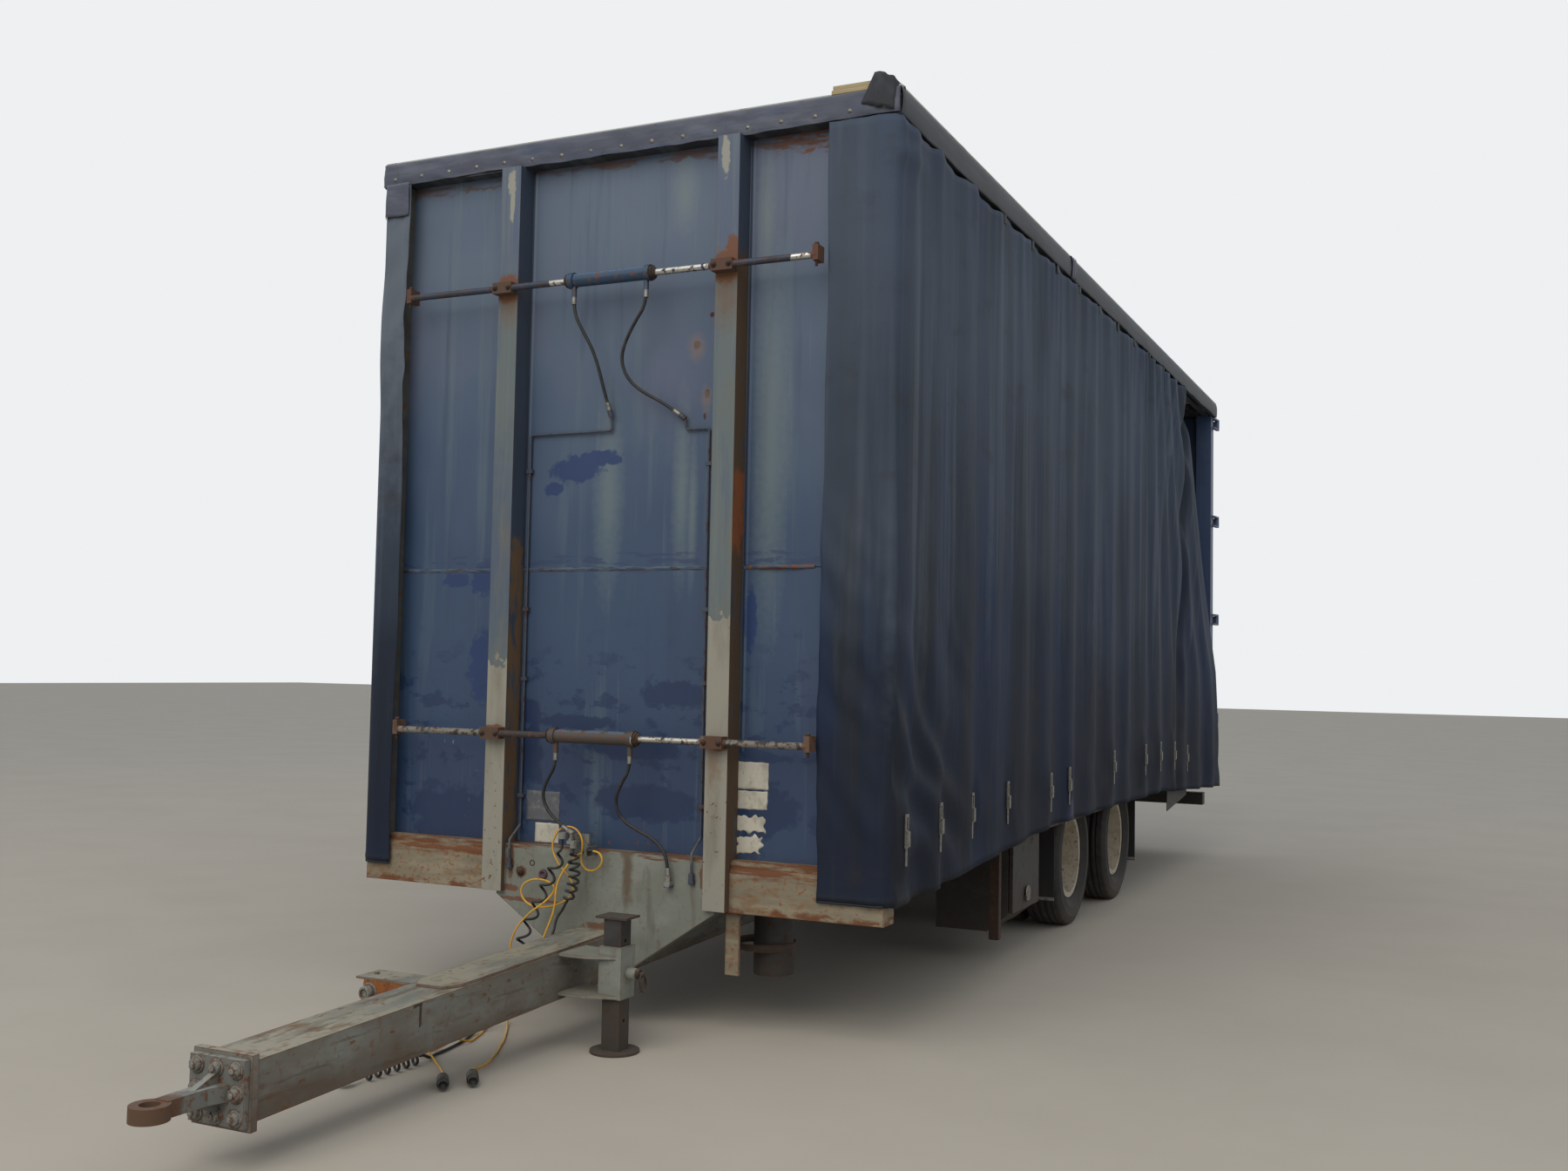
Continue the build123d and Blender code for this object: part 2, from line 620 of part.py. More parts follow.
def drawbar():
    """Sloping box beam with a front end flange, a doubler on top and the far-side bracket."""
    half, depth, wall = DRAWBAR_WIDTH / 2, DRAWBAR_DEPTH, DRAWBAR_WALL
    y0, y1 = DRAWBAR_FRONT, DRAWBAR_BACK

    def strip(ya, yb, above, below):
        return [(ya, drawbar_line(ya) + above), (yb, drawbar_line(yb) + above),
                (yb, drawbar_line(yb) - below), (ya, drawbar_line(ya) - below)]

    tube = across(strip(y0, y1, 0, depth), -half, half)
    tube = tube - across(strip(y0, y1, -wall, depth - wall), -half + wall, half - wall)
    tube = tube + across(strip(y1 - wall, y1, 0, depth), -half, half)
    edge, nose = half - 8, half - 45
    doubler = across(strip(DOUBLER_FRONT, DOUBLER_BACK, 10, 0), -edge, edge)
    doubler = doubler & upright([(-edge, DOUBLER_BACK), (edge, DOUBLER_BACK), (edge, DOUBLER_FRONT + 60),
                                 (nose, DOUBLER_FRONT), (-nose, DOUBLER_FRONT),
                                 (-edge, DOUBLER_FRONT + 60)], 0, BEAM_TOP)
    flange = across(strip(y0 - END_FLANGE, y0, 22, depth + 22), -half - 14, half + 14)
    return tube + doubler + flange + far_bracket(half)


def far_bracket(half):
    """Thin plate on the drawbar's far side with its gusset and bolt."""
    y0, y1 = FAR_PLATE_STATIONS
    top = drawbar_line(y0) - FAR_PLATE_DROP
    low = top - FAR_PLATE_THICK
    mid = (y0 + y1) / 2
    plate = block(-FAR_PLATE_REACH, -half, y0, y1, low, top)
    gusset = along([(-half, low), (-half, low - 80), (-half - 30, low - 80), (-half - 130, low)], mid - 5, mid + 5)
    bolt = rod_z(low - 42, top + 8, -FAR_PLATE_REACH + 40, mid, 9)
    nut = rod_z(low - 16, low, -FAR_PLATE_REACH + 40, mid, 17)
    return plate + gusset + bolt + nut


def eye_bolts():
    """The eight flange bolt places, as (x, height) from the flange's middle."""
    return [(x, z) for x in (-76, 0, 76) for z in (-68, 0, 68) if (x, z) != (0, 0)]


def towing_eye():
    """Forged eye: bolted base plate, tapered ribbed shank and ring."""
    mid = drawbar_line(DRAWBAR_FRONT) - DRAWBAR_DEPTH / 2
    back = DRAWBAR_FRONT - END_FLANGE
    front = back - EYE_FLANGE
    plate = block(-105, 105, front, back, mid - 96, mid + 96)
    centre = -EYE_REACH
    shank = upright([(-52, front + 2), (52, front + 2), (30, front - 60), (26, centre + 40),
                     (-26, centre + 40), (-30, front - 60)], mid - 24, mid + 24)
    rib_outline = [(front + 2, mid - 62), (front + 2, mid + 62), (front - 90, mid + 24),
                   (front - 90, mid - 24)]
    rib = across(rib_outline, -11, 11)
    ring = rod_z(mid - EYE_THICK / 2, mid + EYE_THICK / 2, 0, centre, EYE_RING_R)
    body = plate + shank + rib + ring
    body = body - rod_z(mid - EYE_THICK, mid + EYE_THICK, 0, centre, EYE_BORE_R)
    for x, z in eye_bolts():
        body = body + rod_y(front - 16, front + 2, x, mid + z, 17)
    return body


def nose_frame():
    """Front plate, two cheeks beside the drawbar and two bolsters below the chassis rails."""
    face = BEAM_FACE
    half = DRAWBAR_WIDTH / 2
    low = drawbar_line(0) - DRAWBAR_DEPTH
    outline = [(-NOSE_TOP_HALF, BEAM_TOP), (NOSE_TOP_HALF, BEAM_TOP), (NOSE_TOP_HALF, POST_BOTTOM),
               (NOSE_LOW_HALF, POST_BOTTOM - SEAT_GAP), (NOSE_LOW_HALF, BEAM_BOTTOM - 10), (half, low),
               (-half, low), (-NOSE_LOW_HALF, BEAM_BOTTOM - 10), (-NOSE_LOW_HALF, POST_BOTTOM - SEAT_GAP),
               (-NOSE_TOP_HALF, POST_BOTTOM)]
    plate = along(outline, face - NOSE_PLATE, face)
    plate = plate - block(-half, half, 0, BEAM_BACK, 0, drawbar_line(face) + 1)
    rear = BOLSTER_STATIONS[-1] + BOLSTER_WIDTH / 2
    frame = plate
    cheek = across([(face, drawbar_line(face) - DRAWBAR_DEPTH), (face, BEAM_BOTTOM), (BEAM_BACK, BEAM_BOTTOM),
                    (BEAM_BACK, RAIL_BASE), (rear, RAIL_BASE),
                    (rear, drawbar_line(rear) - 30)], half, half + NOSE_PLATE)
    frame = frame + cheek + other_side(cheek)
    reach = RAIL_X + RAIL_FLANGE / 2
    for y in BOLSTER_STATIONS:
        frame = frame + block(-reach, reach, y - BOLSTER_WIDTH / 2, y + BOLSTER_WIDTH / 2,
                              RAIL_BASE - BOLSTER_DEPTH, RAIL_BASE)
    return frame


def jack_sleeve():
    """Square sleeve on two bracket plates, with the pin boss."""
    s, hole = JACK_SLEEVE / 2, JACK_TUBE / 2 + SEAT_GAP
    x, y = JACK_X, JACK_STATION
    sleeve = block(x - s, x + s, y - s, y + s, JACK_SLEEVE_BOTTOM, JACK_SLEEVE_TOP)
    for z in (JACK_SLEEVE_BOTTOM + 2, JACK_SLEEVE_TOP - 45):
        plate = upright([(DRAWBAR_WIDTH / 2, y - 95), (x - s - 40, y - 95), (x + s - 20, y - s),
                         (x + s, y + s), (DRAWBAR_WIDTH / 2, y + 95)], z, z + 12)
        sleeve = sleeve + plate
    sleeve = sleeve + rod_x(x + s, x + s + 42, y, JACK_PIN_Z, 22)
    sleeve = sleeve - block(x - hole, x + hole, y - hole, y + hole, 0, JACK_TOP)
    return sleeve - rod_x(x - s - 1, x + s + 60, y, JACK_PIN_Z, JACK_PIN_R + SEAT_GAP)


def jack_leg():
    """Square leg with a cap plate, pin holes and a round foot."""
    h = JACK_TUBE / 2
    x, y = JACK_X, JACK_STATION
    leg = box_tube(x - h, x + h, y - h, y + h, JACK_FOOT_THICK, JACK_TOP, JACK_TUBE_WALL)
    leg = leg + block(x - 68, x + 68, y - 52, y + 52, JACK_TOP, JACK_TOP + 8)
    leg = leg + rod_z(0, JACK_FOOT_THICK, x, y, JACK_FOOT_R)
    for z in (JACK_PIN_Z - 180, JACK_PIN_Z, JACK_PIN_Z + 120):
        leg = leg - rod_x(x - h - 1, x + h + 1, y, z, JACK_PIN_R + SEAT_GAP)
    return leg


def jack_pin():
    """Cross pin with a collar and its drop ring."""
    end = JACK_X + JACK_SLEEVE / 2 + 42
    pin = rod_x(JACK_X - JACK_SLEEVE / 2 - 20, end + 30, JACK_STATION, JACK_PIN_Z, JACK_PIN_R)
    collar = rod_x(end + SEAT_GAP, end + 12, JACK_STATION, JACK_PIN_Z, 18)
    ring = Pos(end + 22, JACK_STATION, JACK_PIN_Z - 22) * Rot(0, 90, 0) * Torus(22, 3)
    return pin + collar + ring


def axle(station):
    """Axle tube with spindles, backing plates, spring seats and brake chambers."""
    z = TYRE_R
    inner = TWIN_MID_X - TWIN_PITCH / 2 - RIM_WIDTH / 2
    plate_x = inner - 22
    tube = rod_x(-plate_x, plate_x, station, z, AXLE_TUBE_R)
    tube = tube - rod_x(-plate_x + 60, plate_x - 60, station, z, AXLE_TUBE_R - AXLE_TUBE_WALL)
    spindle = rod_x(plate_x, TWIN_MID_X + 70, station, z, SPINDLE_R)
    backing = rod_x(plate_x, plate_x + 8, station, z, DRUM_R + 4)
    top = z + AXLE_TUBE_R
    seat = block(RAIL_X - 60, RAIL_X + 60, station - 80, station + 80, top - 14, top + 10)
    chamber = rod_y(station - 230, station - 90, CHAMBER_X, z + 40, 62)
    arm = block(CHAMBER_X - 15, CHAMBER_X + 15, station - 95, station - 40, z + 10, z + 70)
    half = spindle + backing + seat + chamber + arm
    return tube + half + other_side(half)


def suspension_arms():
    """Hangers below the chassis rails, and their arms over the axles to the bellows."""
    pieces = []
    top = TYRE_R + AXLE_TUBE_R + 10
    for station in AXLE_STATIONS:
        y = station - HANGER_LEAD
        end = station + BELLOWS_TRAIL
        outline = [(y, 380), (y, 430), (station - 110, top + ARM_THICK), (station + 110, top + ARM_THICK),
                   (station + 240, 440), (end + 90, 440), (end + 90, 405), (station + 220, 405),
                   (station + 90, top), (station - 90, top)]
        arm = across(outline, RAIL_X - ARM_WIDTH / 2, RAIL_X + ARM_WIDTH / 2)
        arm = arm + rod_x(RAIL_X - ARM_WIDTH / 2 - 4, RAIL_X + ARM_WIDTH / 2 + 4, y, 405, 34)
        plate = [(y - 90, RAIL_BASE), (y + 110, RAIL_BASE), (y + 45, 360), (y - 45, 360)]
        for x0 in (RAIL_X - ARM_WIDTH / 2 - 14, RAIL_X + ARM_WIDTH / 2 + 4):
            arm = arm + across(plate, x0, x0 + 10)
        pieces.extend(both_sides(arm))
    return pieces


def air_bellows():
    """Air springs between the arms and the chassis rails."""
    pieces = []
    low = 440
    height = RAIL_BASE - low
    r = BELLOWS_R
    profile = Polyline((0, 0), (r - 45, 0), (r - 40, 40), (r - 15, 50), (r, 75), (r, height - 35),
                       (r - 15, height - 12), (r - 30, height - 8), (r - 30, height), (0, height), close=True)
    bellow = revolve(make_face(Plane.XZ * profile), axis=Axis.Z)
    for station in AXLE_STATIONS:
        placed = Pos(RAIL_X, station + BELLOWS_TRAIL, low) * bellow
        pieces.extend(both_sides(placed))
    return pieces


def ring_about_x(profile, x, station):
    """A turned piece from (along, radius) points, about the wheel's axle line."""
    face = make_face(Polyline(*[(a, r, 0) for a, r in profile], close=True))
    return Pos(x, station, TYRE_R) * revolve(face, axis=Axis.X)


def twin_tyres(station):
    """Two tyres of a twin wheel on the left side."""
    w, t = TYRE_SECTION / 2, TYRE_TREAD / 2
    bead = RIM_WIDTH / 2 - RIM_SHEET - SEAT_GAP
    inner = BEAD_R + SEAT_GAP
    lip = RIM_FLANGE_R + SEAT_GAP
    half = [(bead, inner), (bead, lip), (w, 300), (w - 2, 340), (t + 4, TYRE_R - 20), (t - 8, TYRE_R - 4),
            (t - 40, TYRE_R)]
    profile = half + [(-a, r) for a, r in reversed(half)]
    return [ring_about_x(profile, TWIN_MID_X + side * TWIN_PITCH / 2, station) for side in (-1, 1)]


def twin_rims(station):
    """Two rims bolted back to back on the hub, with the brake drum inside the inner one."""
    mid, half, t = TWIN_PITCH / 2, RIM_WIDTH / 2, RIM_SHEET
    out, inn = mid + half, mid - half
    one = [(inn, BEAD_R - t), (inn, RIM_FLANGE_R), (inn + t, RIM_FLANGE_R), (inn + t, BEAD_R),
           (out - t, BEAD_R), (out - t, RIM_FLANGE_R), (out, RIM_FLANGE_R), (out, BEAD_R - t),
           (inn + 70, BEAD_R - t), (inn + 40, 170), (14, 150), (14, 60), (0, 60), (0, 165), (inn + 26, 182),
           (inn + 50, BEAD_R - t)]
    outer = ring_about_x(one, 0, 0)
    for i in range(VENT_COUNT):
        turn = math.radians(360 * i / VENT_COUNT)
        y, z = VENT_CIRCLE_R * math.cos(turn), TYRE_R + VENT_CIRCLE_R * math.sin(turn)
        outer = outer - rod_x(inn - 10, inn + 90, y, z, VENT_R)
    rims = outer + mirror(outer, about=Plane.YZ)
    hub = [(-out + 24, SPINDLE_R + SPINDLE_FIT), (-out + 24, HUB_R), (0, HUB_R), (0, 62), (95, 62), (110, 50),
           (110, 0), (78, 0), (78, SPINDLE_R + SPINDLE_FIT)]
    drum = [(-out + 2, DRUM_R - DRUM_WALL), (-out + 2, DRUM_R), (-16, DRUM_R), (-16, 60), (-30, 60),
            (-30, DRUM_R - DRUM_WALL)]
    whole = rims + ring_about_x(hub, 0, 0) + ring_about_x(drum, 0, 0)
    return Pos(TWIN_MID_X, station, 0) * whole


def mudflaps():
    flaps = []
    x0 = TWIN_MID_X - FLAP_WIDTH / 2 + 6
    for y in (AXLE_STATIONS[0] - TYRE_R - FLAP_LEAD, AXLE_STATIONS[-1] + TYRE_R + FLAP_TRAIL):
        flaps.extend(both_sides(block(x0, x0 + FLAP_WIDTH, y, y + FLAP_THICK, FLAP_BOTTOM, RAIL_SEAT)))
    return flaps


def tool_box():
    """Under-body locker with a tapered lower edge, open to the outside for its lid."""
    t = BOX_SHEET
    outline = [(BOX_X0, BOX_Z0), (BOX_X1 - BOX_TAPER, BOX_Z0), (BOX_X1, BOX_Z0 + BOX_TAPER_RISE),
               (BOX_X1, BOX_Z1), (BOX_X0, BOX_Z1)]
    inner = [(BOX_X0 + t, BOX_Z0 + t), (BOX_X1 - BOX_TAPER - t / 2, BOX_Z0 + t),
             (BOX_X1 - t, BOX_Z0 + BOX_TAPER_RISE + t), (BOX_X1 - t, BOX_Z1 - t), (BOX_X0 + t, BOX_Z1 - t)]
    box = along(outline, BOX_Y0, BOX_Y1) - along(inner, BOX_Y0 + t, BOX_Y1 - t)
    box = box - block(BOX_X1 - 20, BOX_X1 + 1, BOX_Y0 + 30, BOX_Y1 - 30, BOX_Z0 + 120, BOX_Z1 - 30)
    for y in (BOX_Y0 + 40, BOX_Y1 - 50):
        rail_edge = RAIL_X + RAIL_FLANGE / 2 + SEAT_GAP
        box = box + block(rail_edge, BOX_X0 + 1, y, y + 10, BOX_Z1 - 90, BOX_Z1)
    for y in LID_HINGES:
        box = box + block(BOX_X1 - 4, LID_PIN_X, y, y + LID_KNUCKLE, LID_PIN_Z - 8, BOX_Z1)
        box = box + rod_y(y, y + LID_KNUCKLE, LID_PIN_X, LID_PIN_Z, LID_KNUCKLE_R)
        box = box + rod_y(y, y + 2 * LID_KNUCKLE + 2, LID_PIN_X, LID_PIN_Z, LID_PIN_R)
    return box


def tool_box_lid():
    """Lid over the locker's mouth, hinged along its upper edge."""
    x0 = BOX_X1 + LID_CLEARANCE
    lid = block(x0, x0 + LID_THICK, BOX_Y0 + 8, BOX_Y1 - 8, BOX_Z0 + 98, LID_PIN_Z - LID_KNUCKLE_R - 4)
    for hinge in LID_HINGES:
        y = hinge + LID_KNUCKLE + 1
        knuckle = block(x0, LID_PIN_X + 4, y, y + LID_KNUCKLE, LID_PIN_Z - LID_KNUCKLE_R - 5, LID_PIN_Z)
        knuckle = knuckle + rod_y(y, y + LID_KNUCKLE, LID_PIN_X, LID_PIN_Z, LID_KNUCKLE_R)
        eye = rod_y(y - 1, y + LID_KNUCKLE + 1, LID_PIN_X, LID_PIN_Z, LID_PIN_R + HINGE_PIN_FIT)
        lid = lid + (knuckle - eye)
    mid = (BOX_Y0 + BOX_Y1) / 2
    handle_x = x0 + LID_THICK
    handle = block(handle_x, handle_x + 12, mid - 40, mid + 40, BOX_Z0 + 140, BOX_Z0 + 165)
    return lid + handle


def guard_posts():
    """Upright side-guard posts ahead of the locker."""
    x, y, t = GUARD_X, CROSS_FIRST + GUARD_CROSS * CROSS_PITCH, POST_SHEET
    post = block(x - 25, x + 25, y, y + 40, BOX_Z0, RAIL_SEAT)
    post = post - block(x - 25 + t, x + 25 - t, y + t, y + 41, BOX_Z0 - 1, RAIL_SEAT - t)
    return both_sides(post)


def air_tank():
    """Upright air tank on a plate below the left chassis rail."""
    x, y = TANK_X, TANK_STATION
    tank = rod_z(200, TANK_TOP, x, y, TANK_R)
    tank = tank + block(RAIL_X - 10, x + TANK_R, y - 60, y + 60, RAIL_BASE - 14, RAIL_BASE)
    return tank + rod_z(TANK_TOP, RAIL_BASE - 14, x, y, TANK_R / 2)


def rear_skirts():
    return both_sides(across(SKIRT, HALF - RAVE_WIDTH + 4, HALF - RAVE_WIDTH + 8))


def rear_bumper():
    """Bar across the back on two legs below the sill."""
    y1 = BODY_LENGTH - BUMPER_INSET
    y0 = y1 - BUMPER_DEPTH
    reach = HALF - RAVE_WIDTH
    bar = block(-reach, reach, y0, y1, BUMPER_Z0, BUMPER_Z1)
    leg = block(RAIL_X - 40, RAIL_X + 40, y0, y1, BUMPER_Z1, RAVE_BOTTOM)
    return bar + leg + other_side(leg)


def rear_lamps():
    """Lamp housings on the back of the bumper."""
    y1 = BODY_LENGTH - BUMPER_INSET
    return both_sides(block(820, 1150, y1, y1 + LAMP_DEPTH, BUMPER_Z0 + 8, BUMPER_Z1 - 8))


def tensioner(level):
    """Double-ended cylinder across the front wall with its rods, clamps and end hooks."""
    z = TENSION_Z[level]
    ports = (HOSES[f"{level}_right"][0][0], HOSES[f"{level}_left"][0][0])
    barrel0, barrel1 = ports[0] - PORT_INSET, ports[1] + PORT_INSET
    rod = rod_x(-1040, 945, ROD_Y, z, ROD_R)
    barrel = rod_x(barrel0, barrel1, ROD_Y, z, BARREL_R)
    for x in (barrel0, barrel1 - 26):
        barrel = barrel + rod_x(x, x + 26, ROD_Y, z, BARREL_R + 6)
    body = rod + barrel
    for x in (-POST_X, POST_X):
        body = body + block(x - 48, x + 48, ROD_Y - 18, 0, z - 24, z + 24)
    for x in ports:
        body = body + rod_z(z - PORT_DROP, z, x, ROD_Y, FITTING_R)
    for x in (-1052, 933):
        body = body + block(x, x + 24, ROD_Y - 12, BEAM_FACE - CURTAIN_THICK - 14, z - 22, z + 40)
    return body


def curtain(wrap):
    """Left curtain: a wrap onto the front and folds down the side, cut to its hem and rear edge."""
    t = CURTAIN_THICK
    back = BEAM_FACE - SEAT_GAP
    y = CURTAIN_START
    outer, inner = [], []
    for length, out in FOLDS:
        outer.append(ThreePointArc((CURTAIN_LINE + t, y), (CURTAIN_LINE + t + out, y + length / 2),
                                   (CURTAIN_LINE + t, y + length)))
        inner.append(ThreePointArc((CURTAIN_LINE, y), (CURTAIN_LINE + out, y + length / 2),
                                   (CURTAIN_LINE, y + length)))
        y += length
    rear = Line((CURTAIN_LINE, y), (CURTAIN_LINE + t, y))
    front = [(CURTAIN_LINE + t, CURTAIN_START), (HALF + SEAT_GAP + t, back - 1), (HALF - 3, back - t)]
    front += [(HALF - inset, back - t - forward) for inset, forward in wrap]
    front += [(HALF - inset, back - forward) for inset, forward in reversed(wrap)]
    front += [(HALF + SEAT_GAP, back), (CURTAIN_LINE, CURTAIN_START)]
    face = make_face(outer + inner + [rear, Polyline(*front)])
    solid = extrude(face, amount=CURTAIN_TOP - HEM_LOWEST, dir=(0, 0, 1)).moved(Location((0, 0, HEM_LOWEST)))
    hem = across(HEM_LINE + [(6080, CURTAIN_TOP), (-100, CURTAIN_TOP)], 0, HALF + 200)
    return solid & hem


def curtain_outside(station):
    """How far out the curtain's outer face stands at a station."""
    y = CURTAIN_START
    for length, out in FOLDS:
        if y <= station <= y + length:
            radius = (length * length / 4 + out * out) / (2 * abs(out))
            from_mid = station - y - length / 2
            rise = math.sqrt(radius * radius - from_mid * from_mid) - (radius - abs(out))
            return CURTAIN_LINE + CURTAIN_THICK + math.copysign(rise, out)
        y += length
    return CURTAIN_LINE + CURTAIN_THICK


def buckles():
    """Curtain buckles: a slotted lever on a strap that ends in a hook plate."""
    pieces = []
    for y, top in BUCKLES:
        x = max(curtain_outside(y + side) for side in (-BUCKLE_HALF, 0, BUCKLE_HALF)) + SEAT_GAP
        strap = block(x, x + 4, y - 8, y + 8, top - 200, top - 120)
        plate = block(x, x + 6, y - BUCKLE_HALF, y + BUCKLE_HALF, top - 130, top)
        plate = plate - block(x - 1, x + 7, y - 7, y + 7, top - 60, top - 12)
        lever = block(x + 6, x + 14, y - 12, y + 12, top - 125, top - 66)
        pieces.extend(both_sides(strap + plate + lever))
    return pieces


def corner_radii(points):
    """Arc radius at each inner point of a cord's route, as large as its two runs allow."""
    places = [Vector(*point) for point in points]
    radii = []
    for before, here, after in zip(places, places[1:], places[2:]):
        run_in, run_out = here - before, after - here
        half_turn = math.radians(run_in.get_angle(run_out)) / 2
        radii.append(0.45 * min(run_in.length, run_out.length) / math.tan(half_turn))
    return radii


def cord_tube(name, points, radius):
    """A plain round cord of straight runs joined by tangent arcs."""
    radii = corner_radii(points)
    path = FilletPolyline(*points, radius=radii)
    start = Plane(origin=path @ 0, z_dir=path % 0)
    tube = sweep(start * Circle(radius), path=path)
    print(name, "length", round(path.length), "smallest radius", round(min(radii)),
          "volume ratio", round(tube.volume / (math.pi * radius * radius * path.length), 4))
    return tube


def turned_end(points, stages):
    """Turned piece that continues the end of a hose or cable, and the point where it stops."""
    end = Vector(*points[-1])
    way = (end - Vector(*points[-2])).normalized()
    piece = None
    for radius, length in stages:
        stage = Cylinder(radius, length, align=(Align.CENTER, Align.CENTER, Align.MIN))
        placed = Plane(origin=end, z_dir=way) * stage
        piece = placed if piece is None else piece + placed
        end = end + way * length
    return piece, end


def cord_rack():
    """Bracket above the front plate with the glands of both curly hoses and the end of a wall hose."""
    left, right = (Vector(*CORDS[name][1][0]) for name in ("curly_hose_left", "curly_hose_right"))
    rack, end = turned_end(HOSES["lower_right"], FITTING)
    arm_low = RACK_TOP - RACK_ARM
    rack = rack + block(left.X - 11, right.X + 22, NOSE_FACE - RACK_SHEET, NOSE_FACE, RACK_BOTTOM, RACK_TOP)
    rack = rack + block(end.X - 10, end.X + 8, end.Y - 10, NOSE_FACE, arm_low, RACK_TOP)
    rack = rack + block(left.X - 11, left.X + 11, left.Y, NOSE_FACE, arm_low, RACK_TOP)
    rack = rack + rod_z(left.Z, left.Z + 26, left.X, left.Y, 16)
    rack = rack + rod_z(right.Z, right.Z + 30, right.X, right.Y, 14)
    rack = rack + block(right.X - 24, right.X + 12, right.Y - 14, right.Y + 14, right.Z + 16, right.Z + 30)
    return rack + block(right.X - 24, right.X - 10, right.Y, NOSE_FACE, right.Z + 16, arm_low + 2)


def cable_socket():
    """Block on the front plate that both cables leave."""
    long_start, short_start = (CORDS[name][1][0] for name in ("cable_long", "cable_short"))
    return block(short_start[0], long_start[0], long_start[1] - 11, NOSE_FACE, short_start[2] - 11,
                 long_start[2] + 13)


def cord_ends():
    """Plugs of the two cables and couplings of the two curly hoses."""
    plugs = [turned_end(CORDS[name][1], PLUG)[0] for name in ("cable_long", "cable_short")]
    heads = [turned_end(CORDS[name][1], COUPLING)[0] for name in ("curly_hose_left", "curly_hose_ground")]
    return plugs + heads


def wall_pipes():
    """Two rigid pipes down the front wall with their clips, the hoses' fittings, the rack and the socket."""
    pieces = [cord_rack(), cable_socket()]
    for name, x_down, z_run in PIPE_RUNS:
        nut, end = turned_end(HOSES[name], FITTING)
        points = [(end.X, end.Y, end.Z), (end.X + 3, PIPE_Y - 2, z_run), (x_down, PIPE_Y, z_run),
                  (x_down, PIPE_Y, 775), (x_down, PIPE_STEP_Y, 718), (x_down, PIPE_STEP_Y, 620)]
        path = FilletPolyline(*points, radius=12)
        start = Plane(origin=path @ 0, z_dir=path % 0)
        pipe = nut + sweep(start * Circle(PIPE_R), path=path)
        for z in PIPE_CLIPS:
            pipe = pipe + block(x_down - 14, x_down + 14, PIPE_Y - PIPE_R - 2, WALL_FACE, z - 8, z + 8)
        pipe = pipe + rod_z(600, 640, x_down, PIPE_STEP_Y, FITTING_R)
        pipe = pipe + block(x_down - 12, x_down + 12, PIPE_STEP_Y - 4, NOSE_FACE, 596, 612)
        pieces.append(pipe)
    nut, end = turned_end(HOSES["lower_left"], FITTING)
    boss = block(end.X - 13, end.X + 13, end.Y - 12, NOSE_FACE, end.Z - 16, end.Z + 6)
    pieces.append(nut + boss)
    return pieces


def main():
    save("front_beam", front_beam())
    save("headboard_posts", headboard_posts())
    save("body_pillars", body_pillars())
    lower_panel = wall_panel(BEAM_TOP, WALL_SEAM - SEAM_GAP / 2)
    save("front_wall_panels", [lower_panel, wall_panel(WALL_SEAM + SEAM_GAP / 2, HEADER_BOTTOM)])
    save("roof_rails", roof_rails())
    save("roof_bars", roof_bars())
    save("roof_sheet", roof_sheet())
    out = HALF + RAIL_OUT
    save("front_valance", block(-out, out, BEAM_FACE - SEAT_GAP - VALANCE_THICK, BEAM_FACE - SEAT_GAP,
                                VALANCE_BOTTOM, RAIL_TOP))
    save("chassis_rails", chassis_rails())
    save("cross_members", cross_members())
    save("side_raves", side_raves())
    save("floor_deck", floor_deck())
    save("rear_sill", rear_sill())
    save("rear_posts", rear_posts())
    save("door_left", door())
    save("door_right", other_side(door()))
    save("door_locks_left", door_locks())
    save("door_locks_right", [other_side(piece) for piece in door_locks()])
    save("drawbar", drawbar())
    save("towing_eye", towing_eye())
    save("nose_frame", nose_frame())
    save("jack_sleeve", jack_sleeve())
    save("jack_leg", jack_leg())
    save("jack_pin", jack_pin())
    save("suspension_arms", suspension_arms())
    save("air_bellows", air_bellows())
    save("axles", [axle(station) for station in AXLE_STATIONS])
    for name, station in zip(("front", "rear"), AXLE_STATIONS):
        save(f"tyres_{name}_left", twin_tyres(station))
        save(f"tyres_{name}_right", [other_side(tyre) for tyre in twin_tyres(station)])
        save(f"rims_{name}_left", twin_rims(station))
        save(f"rims_{name}_right", other_side(twin_rims(station)))
    save("mudflaps", mudflaps())
    save("tool_box", tool_box())
    save("tool_box_lid", tool_box_lid())
    save("guard_posts", guard_posts())
    save("air_tank", air_tank())
    save("rear_skirts", rear_skirts())
    save("rear_bumper", rear_bumper())
    save("rear_lamps", rear_lamps())
    save("curtain_tensioners", [tensioner("upper"), tensioner("lower")])
    for name, points in HOSES.items():
        save(f"hose_{name}", cord_tube(name, points, HOSE_R))
    for name, (radius, points) in CORDS.items():
        save(name, cord_tube(name, points, radius))
    save("cord_ends", cord_ends())
    save("wall_pipes", wall_pipes())
    save("curtain_buckles", buckles())
    save("curtain_left", curtain(WRAPS["left"]))
    save("curtain_right", other_side(curtain(WRAPS["right"])))


main()
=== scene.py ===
"""Looks of a centre-axle curtain-side trailer: finishes, cloth, cords and small parts over its frame."""
import json
import logging
import math
import random
from collections.abc import Iterable, Sequence
from dataclasses import dataclass, field
from enum import Enum

import bpy
from mathutils import Matrix, Vector, noise

